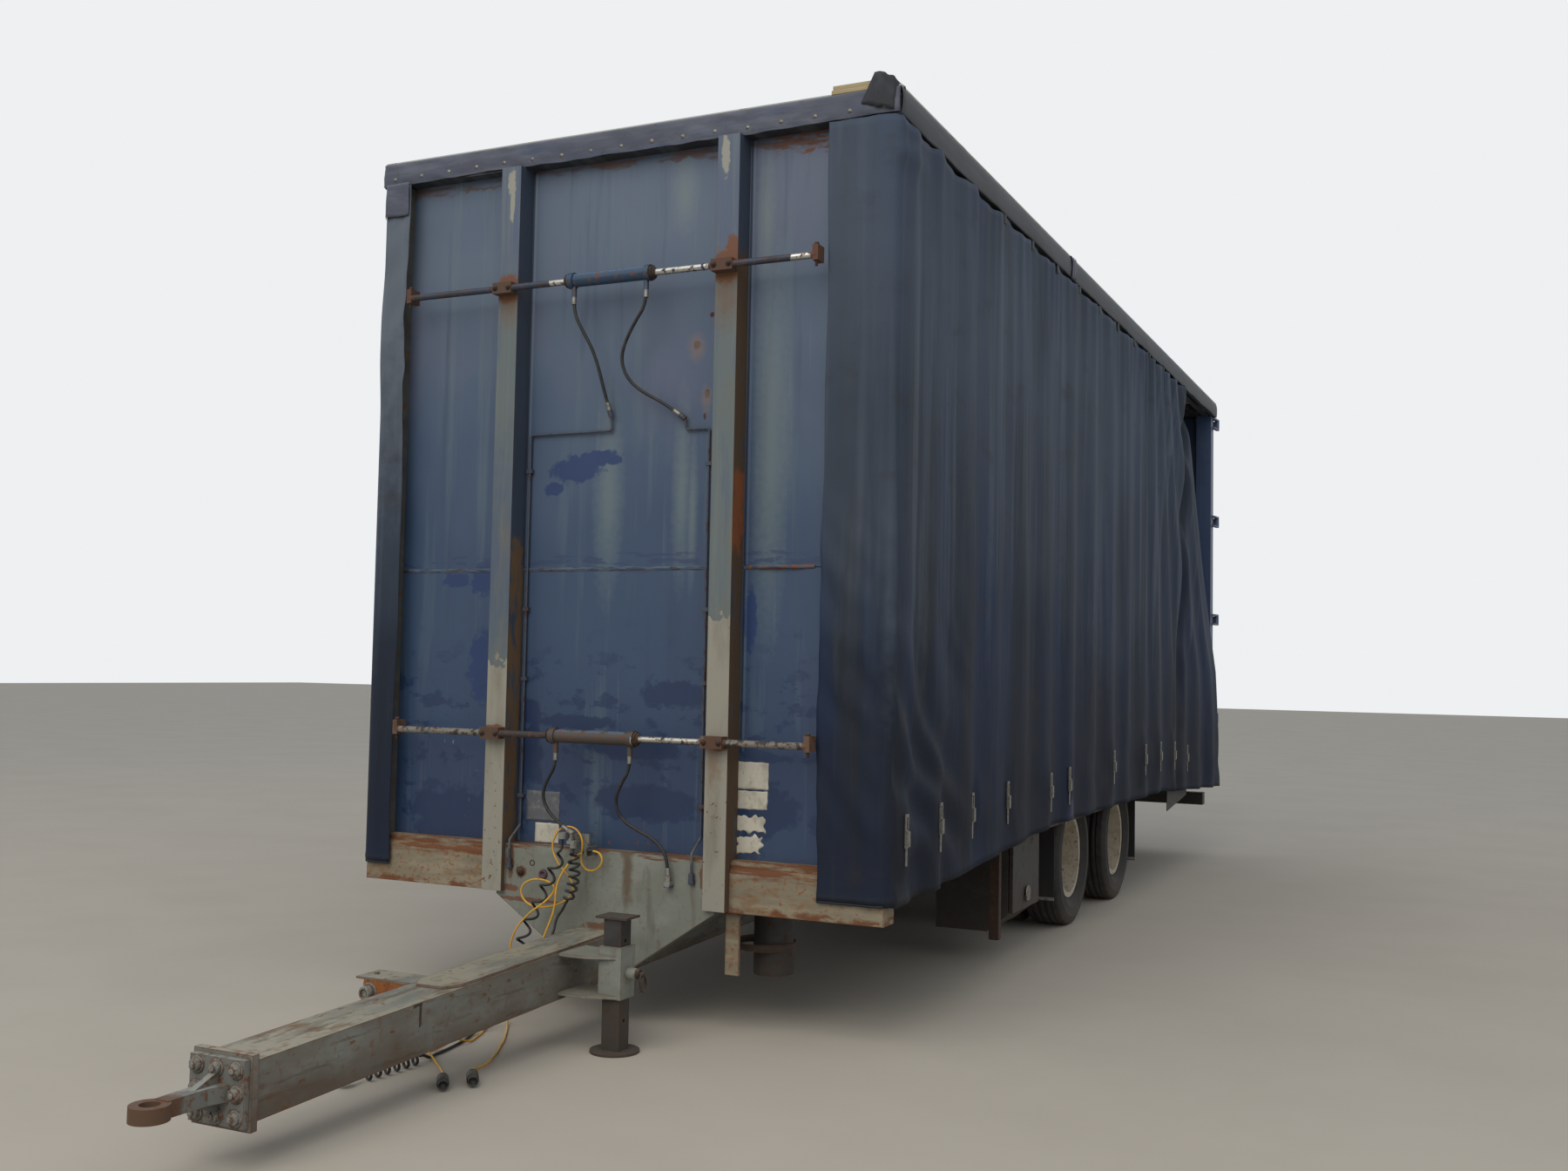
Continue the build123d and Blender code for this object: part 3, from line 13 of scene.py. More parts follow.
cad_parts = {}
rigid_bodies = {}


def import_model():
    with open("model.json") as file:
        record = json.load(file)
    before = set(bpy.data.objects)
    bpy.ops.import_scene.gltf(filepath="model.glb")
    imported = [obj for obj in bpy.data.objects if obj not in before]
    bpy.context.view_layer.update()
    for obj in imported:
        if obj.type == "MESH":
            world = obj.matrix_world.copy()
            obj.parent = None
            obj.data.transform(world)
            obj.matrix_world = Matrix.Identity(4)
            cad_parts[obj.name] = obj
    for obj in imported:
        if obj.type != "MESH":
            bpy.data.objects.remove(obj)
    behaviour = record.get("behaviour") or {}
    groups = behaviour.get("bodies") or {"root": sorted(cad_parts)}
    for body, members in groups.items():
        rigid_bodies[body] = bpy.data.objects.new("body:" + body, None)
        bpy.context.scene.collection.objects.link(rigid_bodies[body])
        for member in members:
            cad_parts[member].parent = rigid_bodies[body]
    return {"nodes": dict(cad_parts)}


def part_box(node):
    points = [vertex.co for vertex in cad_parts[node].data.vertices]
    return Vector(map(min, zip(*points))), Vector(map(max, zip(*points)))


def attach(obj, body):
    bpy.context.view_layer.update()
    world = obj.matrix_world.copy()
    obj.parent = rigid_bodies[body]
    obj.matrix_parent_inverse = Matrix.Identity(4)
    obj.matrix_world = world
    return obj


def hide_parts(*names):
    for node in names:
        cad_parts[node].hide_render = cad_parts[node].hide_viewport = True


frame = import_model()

logging.basicConfig(level=logging.INFO, format="%(message)s")
LOG = logging.getLogger("trailer")
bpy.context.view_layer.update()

Socket = bpy.types.NodeSocket
Tree = bpy.types.NodeTree
Piece = bpy.types.Object

# Sizes are in metres. A station is the distance behind the front face of the headboard posts.
MID_STATION = 2.6515
HALF_WIDTH = 1.240
WALL_STATION = 0.100
PLATE_STATION = 0.028
REAR_STATION = 7.46
RAIL_TOP = 3.740
RAIL_BOTTOM = 3.630
POST_X = 0.534
ROD_HEIGHTS = (3.085, 1.168)
WHEEL_RADIUS = 0.3985
AXLE_STATIONS = {"front": 3.440, "rear": 4.580}
TWIN_MID = 0.868
TWIN_PITCH = 0.268

# Ways in the frame
UP, DOWN = (0, 0, 1), (0, 0, -1)
LEFTWARD, FORWARD, REARWARD = (1, 0, 0), (0, -1, 0), (0, 1, 0)


class Side(Enum):
    """A side of the trailer, as the sign of its X."""

    LEFT = 1
    RIGHT = -1

    @property
    def word(self) -> str:
        """The side's name as pieces and nodes have it."""
        return self.name.lower()


class Axis(Enum):
    """An axis of the frame, as its number."""

    X = 0
    Y = 1
    Z = 2


X, Y, Z = Axis


class Source(Enum):
    """What a pattern's places are read from."""

    OBJECT = "Object"
    UV = "UV"


class FarEnd(Enum):
    """What a cord's far end is fixed to."""

    OBJECT = "object"
    PLUG = "plug"
    CONNECTOR = "connector"


class Stiffness(Enum):
    """How readily a cord bends."""

    STIFF = "stiff"
    MEDIUM = "medium"
    LIMP = "limp"


class Lay(Enum):
    """How a cord lies."""

    HANGING = "hanging"
    LOOSE = "loose"


def at(x: float, station: float, z: float) -> Vector:
    """Point of the frame for a place given by its station."""
    return Vector((x, station - MID_STATION, z))


def aimed(place: Vector, way: Sequence[float]) -> Matrix:
    """Matrix that sets a shape at a place with its Z along a way."""
    return Matrix.Translation(place) @ Vector(way).to_track_quat("Z", "X").to_matrix().to_4x4()


def wobble(x: float, y: float, z: float) -> float:
    """Smooth noise at a place, from about -1 to 1."""
    return noise.noise(Vector((x, y, z)))


def linear(colour: str) -> tuple[float, float, float, float]:
    """Linear RGBA of an sRGB hex colour."""
    parts = [int(colour[i:i + 2], 16) / 255 for i in (1, 3, 5)]
    return tuple(p / 12.92 if p <= 0.04045 else ((p + 0.055) / 1.055) ** 2.4 for p in parts) + (1.0,)


def smooth_step(value: float) -> float:
    """Value held between 0 and 1 with soft ends."""
    t = min(1.0, max(0.0, value))
    return t * t * (3 - 2 * t)


def add_node(tree: Tree, kind: str, settings: dict | None = None,
             links: dict | None = None) -> bpy.types.Node:
    """Add one node with its settings and links.

    Args:
        tree: The node tree that gets the node.
        kind: Blender's name of the node's type.
        settings: Values by property name, socket name or socket number.
        links: Output sockets by the number or name of the input that they feed.

    Returns:
        The new node.
    """
    node = tree.nodes.new(kind)
    for key, value in (settings or {}).items():
        if isinstance(key, int) or key in node.inputs.keys():
            node.inputs[key].default_value = value
        else:
            setattr(node, key, value)
    for key, socket in (links or {}).items():
        tree.links.new(socket, node.inputs[key])
    return node


def maths(tree: Tree, operation: str, *values: Socket | float) -> Socket:
    """Result of a maths node over numbers and sockets."""
    numbers = {i: value for i, value in enumerate(values) if not isinstance(value, Socket)}
    sockets = {i: value for i, value in enumerate(values) if isinstance(value, Socket)}
    return add_node(tree, "ShaderNodeMath", {"operation": operation, **numbers}, sockets).outputs[0]


def ramp(tree: Tree, value: Socket, low: float, high: float) -> Socket:
    """Share from 0 at the low value to 1 at the high one, held beyond them."""
    return add_node(tree, "ShaderNodeMapRange", {1: low, 2: high}, {0: value}).outputs[0]


def coords(tree: Tree, source: Source = Source.OBJECT) -> Socket:
    """Places over the surface in metres."""
    return add_node(tree, "ShaderNodeTexCoord").outputs[source.value]


def cloud(tree: Tree, place: Socket, size: Sequence[float], seed: float = 0.0, detail: float = 5.0,
          roughness: float = 0.5) -> Socket:
    """Cloudy noise over places.

    Args:
        tree: The node tree that gets it.
        place: Places over the surface.
        size: One cloud's length along X, Y and Z in millimetres.
        seed: Shift of the noise, for clouds of their own.
        detail: Number of finer noises in it.
        roughness: Their share.

    Returns:
        The socket of the noise.
    """
    scale = tuple(1000 / length for length in size)
    spread = add_node(tree, "ShaderNodeMapping", {1: (seed,) * 3, 3: scale}, {0: place})
    return add_node(tree, "ShaderNodeTexNoise", {"Scale": 1.0, "Detail": detail, "Roughness": roughness},
                    {"Vector": spread.outputs[0]}).outputs[0]


class Pattern:
    """Mask from 0 to 1 over the surface. Two patterns joined by & hold where both do."""

    def mask(self, tree: Tree) -> Socket:
        """Socket of the mask."""
        raise NotImplementedError

    def __and__(self, other: "Pattern") -> "Within":
        """Where this pattern and another one meet."""
        return Within(self, other)


@dataclass(frozen=True)
class Within(Pattern):
    """Where two patterns meet."""

    first: Pattern
    second: Pattern

    def mask(self, tree: Tree) -> Socket:
        """Product of both masks."""
        return maths(tree, "MULTIPLY", self.first.mask(tree), self.second.mask(tree))


@dataclass(frozen=True)
class Blotches(Pattern):
    """Ragged patches; size is one patch's length along X, Y and Z in millimetres."""

    size: tuple[float, float, float]
    low: float = 0.52
    high: float = 0.60
    seed: float = 0.0
    detail: float = 6.0

    def mask(self, tree: Tree) -> Socket:
        """Mask of the patches."""
        return ramp(tree, cloud(tree, coords(tree), self.size, self.seed, self.detail, 0.6), self.low,
                    self.high)


@dataclass(frozen=True)
class Band(Pattern):
    """Everything between two places along an axis, in metres.

    Its edges are ragged and soft over widths in millimetres, and the raggedness has a grain in millimetres. A
    lean moves both places by so much for each metre of height.
    """

    axis: Axis
    low: float
    high: float
    ragged: float = 0.0
    soft: float = 4.0
    grain: float = 60.0
    seed: float = 3.0
    lean: float = 0.0

    def mask(self, tree: Tree) -> Socket:
        """Mask of the band."""
        place = coords(tree)
        parts = add_node(tree, "ShaderNodeSeparateXYZ", None, {0: place}).outputs
        clouds = cloud(tree, place, (self.grain,) * 3, self.seed)
        shifted = maths(tree, "MULTIPLY_ADD", clouds, self.ragged / 500, parts[self.axis.value])
        if self.lean:
            shifted = maths(tree, "MULTIPLY_ADD", parts[Z.value], -self.lean, shifted)
        shift, soft = self.ragged / 1000, self.soft / 2000
        rise = ramp(tree, shifted, self.low + shift - soft, self.low + shift + soft)
        fall = ramp(tree, shifted, self.high + shift + soft, self.high + shift - soft)
        return maths(tree, "MULTIPLY", rise, fall)


@dataclass(frozen=True)
class Spots(Pattern):
    """Marks at known places, each as (x, z, half width, half height) in metres."""

    marks: tuple[tuple[float, float, float, float], ...]
    ragged: float = 0.5
    grain: float = 60.0
    seed: float = 9.0
    soft: float = 0.12

    def mask(self, tree: Tree) -> Socket:
        """Mask of all the marks."""
        place = coords(tree)
        nearest = None
        for x, z, half_width, half_height in self.marks:
            settings = {1: (-x / half_width, 0, -z / half_height), 3: (1 / half_width, 0, 1 / half_height)}
            away = add_node(tree, "ShaderNodeMapping", settings, {0: place})
            reach = add_node(tree, "ShaderNodeVectorMath", {"operation": "LENGTH"}, {0: away.outputs[0]})
            found = reach.outputs["Value"]
            nearest = maths(tree, "MINIMUM", nearest, found) if nearest else found
        clouds = cloud(tree, place, (self.grain,) * 3, self.seed, roughness=0.6)
        edge = 1 + self.ragged
        return ramp(tree, maths(tree, "MULTIPLY_ADD", clouds, 2 * self.ragged, nearest), edge + self.soft,
                    edge - self.soft)


@dataclass(frozen=True)
class Edges(Pattern):
    """Worn edges and corners, of a width in millimetres."""

    width: float
    low: float = 0.06
    high: float = 0.22
    ragged: float = 0.25
    grain: float = 14.0

    def mask(self, tree: Tree) -> Socket:
        """Mask of the edges."""
        rounded = add_node(tree, "ShaderNodeBevel", {"samples": 4, 0: self.width / 1000})
        true_way = add_node(tree, "ShaderNodeNewGeometry").outputs["True Normal"]
        same = add_node(tree, "ShaderNodeVectorMath", {"operation": "DOT_PRODUCT"},
                        {0: rounded.outputs[0], 1: true_way}).outputs["Value"]
        shaken = maths(tree, "MULTIPLY_ADD", cloud(tree, coords(tree), (self.grain,) * 3), self.ragged, same)
        top = 1 + self.ragged / 2
        return ramp(tree, shaken, top - self.low, top - self.high)


@dataclass(frozen=True)
class Facing(Pattern):
    """Faces turned towards a direction."""

    way: tuple[float, float, float]
    low: float = 0.4
    high: float = 0.9

    def mask(self, tree: Tree) -> Socket:
        """Mask of those faces."""
        normal = add_node(tree, "ShaderNodeNewGeometry").outputs["Normal"]
        turned = add_node(tree, "ShaderNodeVectorMath", {"operation": "DOT_PRODUCT", 1: self.way},
                          {0: normal})
        return ramp(tree, turned.outputs["Value"], self.low, self.high)


@dataclass(frozen=True)
class Corners(Pattern):
    """Inside corners and gaps, found by ambient occlusion, where shade falls and dirt gathers; reach in
    millimetres.
    """

    reach: float
    low: float = 0.25
    high: float = 0.75

    def mask(self, tree: Tree) -> Socket:
        """Mask of the corners."""
        settings = {"samples": 4, "Distance": self.reach / 1000}
        open_share = add_node(tree, "ShaderNodeAmbientOcclusion", settings).outputs["AO"]
        return ramp(tree, open_share, 1 - self.low, 1 - self.high)


@dataclass(frozen=True)
class Weave(Pattern):
    """Crossed threads, with their spacing in millimetres."""

    pitch: float
    source: Source = Source.UV

    def mask(self, tree: Tree) -> Socket:
        """Height of the threads."""
        place = coords(tree, self.source)
        scale = 1000 / self.pitch / 20
        threads = [add_node(tree, "ShaderNodeTexWave", {"bands_direction": way, "Scale": scale},
                            {"Vector": place}).outputs["Fac"] for way in ("X", "Y")]
        return maths(tree, "MAXIMUM", *threads)


@dataclass(frozen=True)
class Layer:
    """One coat, stain or wear mark that lies over those before it."""

    colour: str
    where: Pattern
    roughness: float = 0.8
    strength: float = 1.0
    metallic: float | None = None


@dataclass(frozen=True)
class Relief:
    """Small heights in the surface, with the depth in millimetres."""

    where: Pattern
    depth: float


def grain(size: float, depth: float) -> Relief:
    """Fine even roughness, with its size and depth in millimetres."""
    return Relief(Blotches((size,) * 3, 0.0, 1.0), depth)


def dents(size: tuple[float, float, float], depth: float, seed: float = 1.0, detail: float = 2.0) -> Relief:
    """Broad dents and waves, with their size and depth in millimetres."""
    return Relief(Blotches(size, 0.2, 0.8, seed, detail), depth)


@dataclass(frozen=True)
class Finish:
    """A real surface: its ground, the layers over it and its relief."""

    name: str
    colour: str
    roughness: float
    layers: tuple[Layer, ...] = ()
    reliefs: tuple[Relief, ...] = ()
    metallic: float = 0.0
    ior: float | None = None
    coat: float = 0.0
    sheen: float = 0.0

    def material(self) -> bpy.types.Material:
        """The finish as a material, made once.

        Returns:
            The material with its node tree.
        """
        known = bpy.data.materials.get(self.name)
        if known:
            return known
        made = bpy.data.materials.new(self.name)
        made.use_nodes = True
        tree = made.node_tree
        tree.nodes.clear()
        shader = add_node(tree, "ShaderNodeBsdfPrincipled",
                          {"Base Color": linear(self.colour), "Roughness": self.roughness,
                           "Metallic": self.metallic, "Coat Weight": self.coat, "Sheen Weight": self.sheen})
        if self.ior is not None:
            shader.inputs["IOR"].default_value = self.ior
        for socket, value, index, kind in (("Base Color", linear(self.colour), (6, 7, 2), "RGBA"),
                                           ("Roughness", self.roughness, (2, 3, 0), "FLOAT"),
                                           ("Metallic", self.metallic, (2, 3, 0), "FLOAT")):
            self.stack(tree, shader.inputs[socket], value, index, kind)
        height = None
        for relief in self.reliefs:
            height = maths(tree, "MULTIPLY_ADD", relief.where.mask(tree), relief.depth / 1000, height or 0.0)
        if height:
            bump = add_node(tree, "ShaderNodeBump", {"Strength": 1.0, "Distance": 1.0}, {"Height": height})
            tree.links.new(bump.outputs[0], shader.inputs["Normal"])
        add_node(tree, "ShaderNodeOutputMaterial", None, {0: shader.outputs[0]})
        made.diffuse_color = linear(self.colour)
        return made

    def stack(self, tree: Tree, target: Socket, ground: object, index: tuple[int, int, int],
              kind: str) -> None:
        """Lay the layers' values over the ground's and link them to a socket of the shader.

        Args:
            tree: The material's node tree.
            target: The shader's socket.
            ground: The value below all layers.
            index: Numbers of the mix node's lower, upper and result sockets.
            kind: The mix node's data type.
        """
        below = None
        for layer in self.layers:
            value = linear(layer.colour) if kind == "RGBA" else layer.roughness
            if target.name == "Metallic":
                if layer.metallic is None:
                    continue
                value = layer.metallic
            mask = layer.where.mask(tree)
            if layer.strength != 1.0:
                mask = maths(tree, "MULTIPLY", mask, layer.strength)
            mix = add_node(tree, "ShaderNodeMix", {"data_type": kind, index[0]: ground, index[1]: value},
                           {0: mask})
            if below:
                tree.links.new(below, mix.inputs[index[0]])
            below = mix.outputs[index[2]]
        if below:
            tree.links.new(below, target)


RUST = "#6b4025"
DARK_RUST = "#43291c"
BRIGHT_RUST = "#84502c"
DUST = "#857d6f"

# Two-pack vehicle paint, sprayed on pressed steel sheet: chalky above, still deeper blue low down
WALL_PAINT = Finish(
    "vehicle_paint_sprayed_chalked_blue", "#324763", 0.50,
    layers=(
        Layer("#5f6d7f", Band(Z, 2.75, 3.90, ragged=700, soft=1300, grain=900), 0.62, 0.9),
        Layer("#27395a", Band(Z, 0.60, 1.30, ragged=300, soft=700, grain=300), 0.42, 0.75),
        # Faded areas, and the pale greenish runs where rain has washed the chalk down
        Layer("#5d6076", Blotches((520, 520, 900), 0.50, 0.66, 13.0, 2.0)
              & Band(Z, 2.5, 3.7, 200, 300), 0.62, 0.5),
        Layer("#64767b", Blotches((95, 95, 1900), 0.55, 0.72, 1.0), 0.66, 0.42),
        Layer("#75868a", Blotches((34, 34, 1500), 0.62, 0.76, 8.0), 0.66, 0.35),
        Layer("#2b3a52", Blotches((70, 70, 1300), 0.57, 0.72, 5.0), 0.50, 0.5),
        Layer("#7c8c86", Spots(((-0.06, 2.18, 0.050, 0.30), (0.295, 2.20, 0.032, 0.27),
                                (0.345, 2.12, 0.018, 0.22), (0.70, 2.40, 0.055, 0.55),
                                (0.66, 3.30, 0.030, 0.20), (0.28, 3.45, 0.045, 0.12)), 0.5, 30, soft=0.75),
              0.66, 0.42),
        # Deeper blue where a sheet once kept the sun off, and fresh dabs of paint
        Layer("#19335f", Spots(((-0.225, 2.30, 0.125, 0.058), (-0.12, 2.345, 0.10, 0.035),
                                (-0.34, 2.22, 0.05, 0.03), (-0.035, 2.335, 0.035, 0.022),
                                (0.625, 1.66, 0.028, 0.12), (-0.84, 1.83, 0.07, 0.03),
                                (-0.69, 1.83, 0.07, 0.07), (-0.69, 1.45, 0.07, 0.15)), 0.75, 38), 0.45),
        Layer("#2a3b5c", Blotches((120, 120, 26), 0.50, 0.56, 6.0) & Band(Z, 1.885, 1.935, 30), 0.45, 0.8),
        Layer("#14294c", Spots(((0.28, 1.35, 0.15, 0.058), (-0.20, 1.22, 0.20, 0.03),
                                (-0.44, 1.26, 0.08, 0.05), (0.10, 1.12, 0.26, 0.045),
                                (-0.42, 1.08, 0.06, 0.14), (0.15, 0.90, 0.26, 0.07), (0.70, 0.90, 0.14, 0.10),
                                (-0.78, 0.80, 0.30, 0.12)), 0.8, 55), 0.45, 0.9),
        Layer("#152b50", Blotches((150, 150, 90), 0.55, 0.60, 7.0)
              & Band(Z, 0.70, 1.50, 250, 300), 0.45, 0.8),
        Layer("#152b50", Blotches((16, 16, 12), 0.64, 0.68, 17.0) & Band(Z, 1.00, 1.40, 120, 100), 0.45, 0.8),
        # White drips and scuffs low on the left
        Layer("#b3b5b2", Blotches((13, 13, 90), 0.69, 0.73, 2.0) & Band(X, -0.90, -0.55, 60)
              & Band(Z, 0.78, 1.13, 60), 0.7),
        Layer(DARK_RUST, Spots(((0.35, 2.80, 0.016, 0.020), (0.405, 2.592, 0.012, 0.018),
                                (0.395, 2.50, 0.006, 0.015), (0.42, 2.92, 0.010, 0.010)), 0.7, 18), 0.85),
        Layer("#7d6a60", Spots(((0.35, 2.79, 0.035, 0.050), (0.40, 2.57, 0.02, 0.05)), 0.6, 30, soft=0.5),
              0.7, 0.5),
        Layer(RUST, Blotches((70, 30, 18), 0.47, 0.55, 3.0) & Band(Z, 3.55, 3.70, 60)
              & Band(X, 0.70, 0.95, 60), 0.85, 0.9),
        Layer("#5b3d2c", Blotches((200, 40, 30), 0.45, 0.55, 9.0) & Band(Z, 3.585, 3.70, 60), 0.85, 0.7),
        Layer(RUST, Blotches((30, 30, 30), 0.62, 0.66, 11.0) & Band(Z, 0.68, 0.76, 40), 0.85),
        Layer(DARK_RUST, Blotches((90, 30, 14), 0.50, 0.60, 4.0) & Band(Z, 1.858, 1.876, 8), 0.85, 0.6),
        # Painted shade: darker grey-blue in the corners and gaps, by ambient occlusion
        Layer("#333b45", Corners(70, 0.30, 0.9), 0.8, 0.6),
    ),
    reliefs=(dents((420, 420, 620), 6.0, 2.0, 1.0), grain(5, 0.12)))

# Brushed house paint over pale primer on the channel posts
POST_PAINT = Finish(
    "brushed_paint_over_primer_blue_grey", "#5f6a6c", 0.62,
    layers=(
        Layer("#505d74", Band(Z, 3.13, 3.70, ragged=120, soft=200, grain=90), 0.58, 0.9),
        Layer("#46556a", Band(Z, 1.50, 2.35, 200, 500) & Band(X, -0.7, -0.3), 0.58, 0.8),
        Layer("#6c7472", Blotches((24, 24, 700), 0.5, 0.7, 1.0), 0.66, 0.6),
        Layer("#465772", Blotches((60, 60, 500), 0.52, 0.68, 6.0) & Band(Z, 1.62, 3.7, 100, 200), 0.55, 0.6),
        Layer("#928f83", Band(Z, 0.4, 1.66, ragged=150, soft=8, grain=40) & Band(X, 0.3, 0.7), 0.6),
        Layer("#928f83", Band(Z, 0.4, 1.47, ragged=210, soft=8, grain=45) & Band(X, -0.7, -0.3), 0.6),
        Layer("#9c9a8c", Spots(((-0.53, 3.56, 0.020, 0.06), (-0.525, 3.47, 0.012, 0.09),
                                (0.52, 3.55, 0.018, 0.08)), 0.8, 26), 0.6, 0.8),
        Layer("#6e6a5c", Blotches((80, 80, 420), 0.50, 0.70, 3.0) & Band(Z, 0.4, 3.05, 200, 200), 0.7, 0.6),
        # Rust round both crossings of the tension rods, and its runs below
        Layer("#75492b", Spots(((0.534, 3.09, 0.075, 0.075), (0.56, 3.16, 0.03, 0.06),
                                (-0.534, 3.09, 0.07, 0.062), (0.534, 1.16, 0.07, 0.028),
                                (-0.534, 1.18, 0.06, 0.024)), 0.65, 30), 0.85, 0.85),
        Layer("#6e4c2f", Spots(((0.535, 2.98, 0.05, 0.12), (-0.53, 3.02, 0.05, 0.08),
                                (0.52, 1.09, 0.03, 0.08)), 0.8, 22, soft=0.6), 0.8, 0.5),
        # Side faces: darkened by painted shade, and rusting towards the foot
        Layer("#343f50", Facing(LEFTWARD) & Band(Z, 0.4, 3.7), 0.7, 0.9),
        Layer("#57432f", Facing(LEFTWARD) & Band(X, 0.3, 0.7) & Band(Z, 0.4, 3.14, 60, 60)
              & Blotches((60, 60, 260), 0.32, 0.44, 8.0), 0.9, 0.95),
        Layer("#6a5238", Facing(LEFTWARD) & Band(X, -0.7, -0.3) & Band(Z, 0.4, 1.98, 120, 60)
              & Blotches((60, 60, 160), 0.38, 0.50, 8.0), 0.9, 0.95),
        Layer("#8a4d28", Facing(LEFTWARD) & Band(X, 0.3, 0.7) & Band(Z, 1.93, 2.25, 60, 30)
              & Blotches((50, 50, 150), 0.38, 0.46, 12.0), 0.9, 0.9),
        Layer(RUST, Edges(5, 0.05, 0.30, 0.35, 30), 0.85, 0.6),
        Layer(RUST, Blotches((24, 24, 24), 0.63, 0.68, 14.0) & Band(Z, 0.4, 1.0, 100, 200), 0.85),
    ),
    reliefs=(dents((90, 90, 300), 1.6, 3.0, 2.0), grain(4, 0.15)))

# Old ochre-grey paint on the pressed front beam, rusting through along its edges
BEAM_PAINT = Finish(
    "brushed_paint_rusting_ochre_grey", "#807662", 0.68,
    layers=(
        Layer("#968b74", Blotches((300, 80, 40), 0.48, 0.62, 2.0), 0.7, 0.7),
        Layer("#6a6d68", Blotches((420, 200, 90), 0.55, 0.66, 9.0), 0.6, 0.5),
        Layer("#7a5a38", Blotches((150, 60, 46), 0.53, 0.64, 7.0), 0.85, 0.55),
        Layer(BRIGHT_RUST, Blotches((22, 22, 18), 0.575, 0.64, 3.0), 0.85, 0.8),
        Layer(RUST, Blotches((190, 60, 26), 0.41, 0.53, 5.0) & Band(Z, 0.635, 0.71, 20, 16), 0.9, 0.95),
        Layer(RUST, Blotches((120, 60, 40), 0.42, 0.52, 6.0) & Band(Z, 0.48, 0.52, 26, 14), 0.9, 0.95),
        Layer(RUST, Edges(8, 0.04, 0.20, 0.5, 30), 0.9, 0.9),
        # Painted shade, dark brown, in the beam's corners and gaps
        Layer("#4b3a2c", Corners(40, 0.3, 0.9), 0.9, 0.6),
    ),
    reliefs=(grain(5, 0.3), dents((140, 140, 60), 1.5)))

# Grey-green enamel, brushed over welded plate: flat and pale, with rust along every edge
PLATE_PAINT = Finish(
    "brushed_enamel_on_plate_grey_green", "#777a70", 0.60,
    layers=(
        Layer("#878b83", Blotches((260, 260, 160), 0.46, 0.62, 2.0), 0.62, 0.8),
        Layer("#5e5b52", Blotches((45, 45, 300), 0.56, 0.70, 4.0), 0.7, 0.6),
        Layer("#5b4a38", Spots(((0.120, 0.61, 0.022, 0.14), (0.118, 0.70, 0.03, 0.03)), 0.6, 35, soft=0.4),
              0.75, 0.8),
        Layer(RUST, Spots(((-0.403, 0.586, 0.026, 0.026), (-0.455, 0.63, 0.016, 0.07),
                           (-0.47, 0.515, 0.06, 0.014), (0.02, 0.385, 0.10, 0.022), (0.47, 0.63, 0.014, 0.05),
                           (-0.36, 0.47, 0.16, 0.010)), 0.8, 26), 0.85, 0.8),
        Layer(RUST, Blotches((130, 60, 16), 0.46, 0.54, 3.0) & Band(Z, 0.68, 0.712, 12), 0.9, 0.9),
        Layer(BRIGHT_RUST, Blotches((18, 18, 18), 0.66, 0.70, 7.0), 0.85, 0.8),
        Layer(RUST, Edges(7, 0.04, 0.22, 0.5, 26), 0.9, 0.85),
        # Painted shade, dark brown, in the plate's corners and gaps
        Layer("#4a4034", Corners(50, 0.3, 0.9), 0.85, 0.6),
        Layer(DUST, Facing(UP), 0.9, 0.35),
    ),
    reliefs=(grain(4, 0.25),))

# The same enamel on the drawbar: pale on top, mud and rust along its lower edge
DRAWBAR_PAINT = Finish(
    "brushed_enamel_on_beam_grey_green", "#6f7068", 0.62,
    layers=(
        Layer("#7f827b", Blotches((200, 420, 160), 0.46, 0.60, 2.0), 0.64, 0.8),
        Layer("#97927f", Facing(UP) & Blotches((120, 500, 120), 0.38, 0.54, 5.0), 0.6, 0.85),
        Layer("#6c5037", Facing(UP) & Blotches((60, 190, 60), 0.57, 0.66, 15.0), 0.85, 0.7),
        Layer("#4f463a", Blotches((60, 260, 34), 0.56, 0.66, 4.0), 0.8, 0.6),
        # Paint runs of a black mark near the front half of the left web
        Layer("#1f1d1b", Facing(LEFTWARD) & Band(Y, -3.905, -3.893, 3, 2, 20)
              & Band(Z, 0.255, 0.345, 30, 6, 20), 0.5),
        Layer("#1f1d1b", Facing(LEFTWARD) & Band(Y, -3.935, -3.890, 3, 2, 20)
              & Band(Z, 0.325, 0.337, 8, 4, 20), 0.5),
        Layer("#4a3a2b", Facing(LEFTWARD) & Band(Z, 0.0, 0.215, 60, 90, 120), 0.85, 0.6),
        Layer(RUST, Blotches((34, 70, 26), 0.63, 0.68, 9.0), 0.9, 0.9),
        Layer("#5a3c26", Facing(DOWN, -0.2, 0.6) & Blotches((60, 160, 60), 0.40, 0.55, 6.0), 0.9),
        Layer(RUST, Edges(9, 0.04, 0.20, 0.6, 34), 0.9, 0.9),
        # Painted shade, dark brown, in the drawbar's corners and gaps
        Layer("#3f352b", Corners(40, 0.3, 0.9), 0.9, 0.6),
    ),
    reliefs=(grain(4, 0.25), dents((90, 260, 60), 1.2)))

# Forged eye: bare rusty ring, paint left on the shank
EYE_STEEL = Finish(
    "forged_steel_part_painted", "#6d6f6a", 0.60,
    layers=(
        Layer("#5e4738", Band(Y, -5.2, -4.83, 40, 30), 0.75, 1.0, 0.2),
        Layer("#5f4634", Band(Y, -5.2, -4.80, 40, 30) & Blotches((16, 16, 16), 0.45, 0.6, 2.0), 0.6, 0.8,
              0.3),
        Layer(RUST, Blotches((28, 28, 28), 0.56, 0.64, 5.0), 0.85, 0.9),
        Layer(RUST, Edges(5, 0.05, 0.25, 0.5, 12), 0.85, 0.8),
        Layer("#8d9089", Facing(UP) & Blotches((40, 60, 40), 0.44, 0.52, 3.0)
              & Band(Y, -4.80, -4.5), 0.6, 0.8),
    ),
    reliefs=(grain(3, 0.3),))

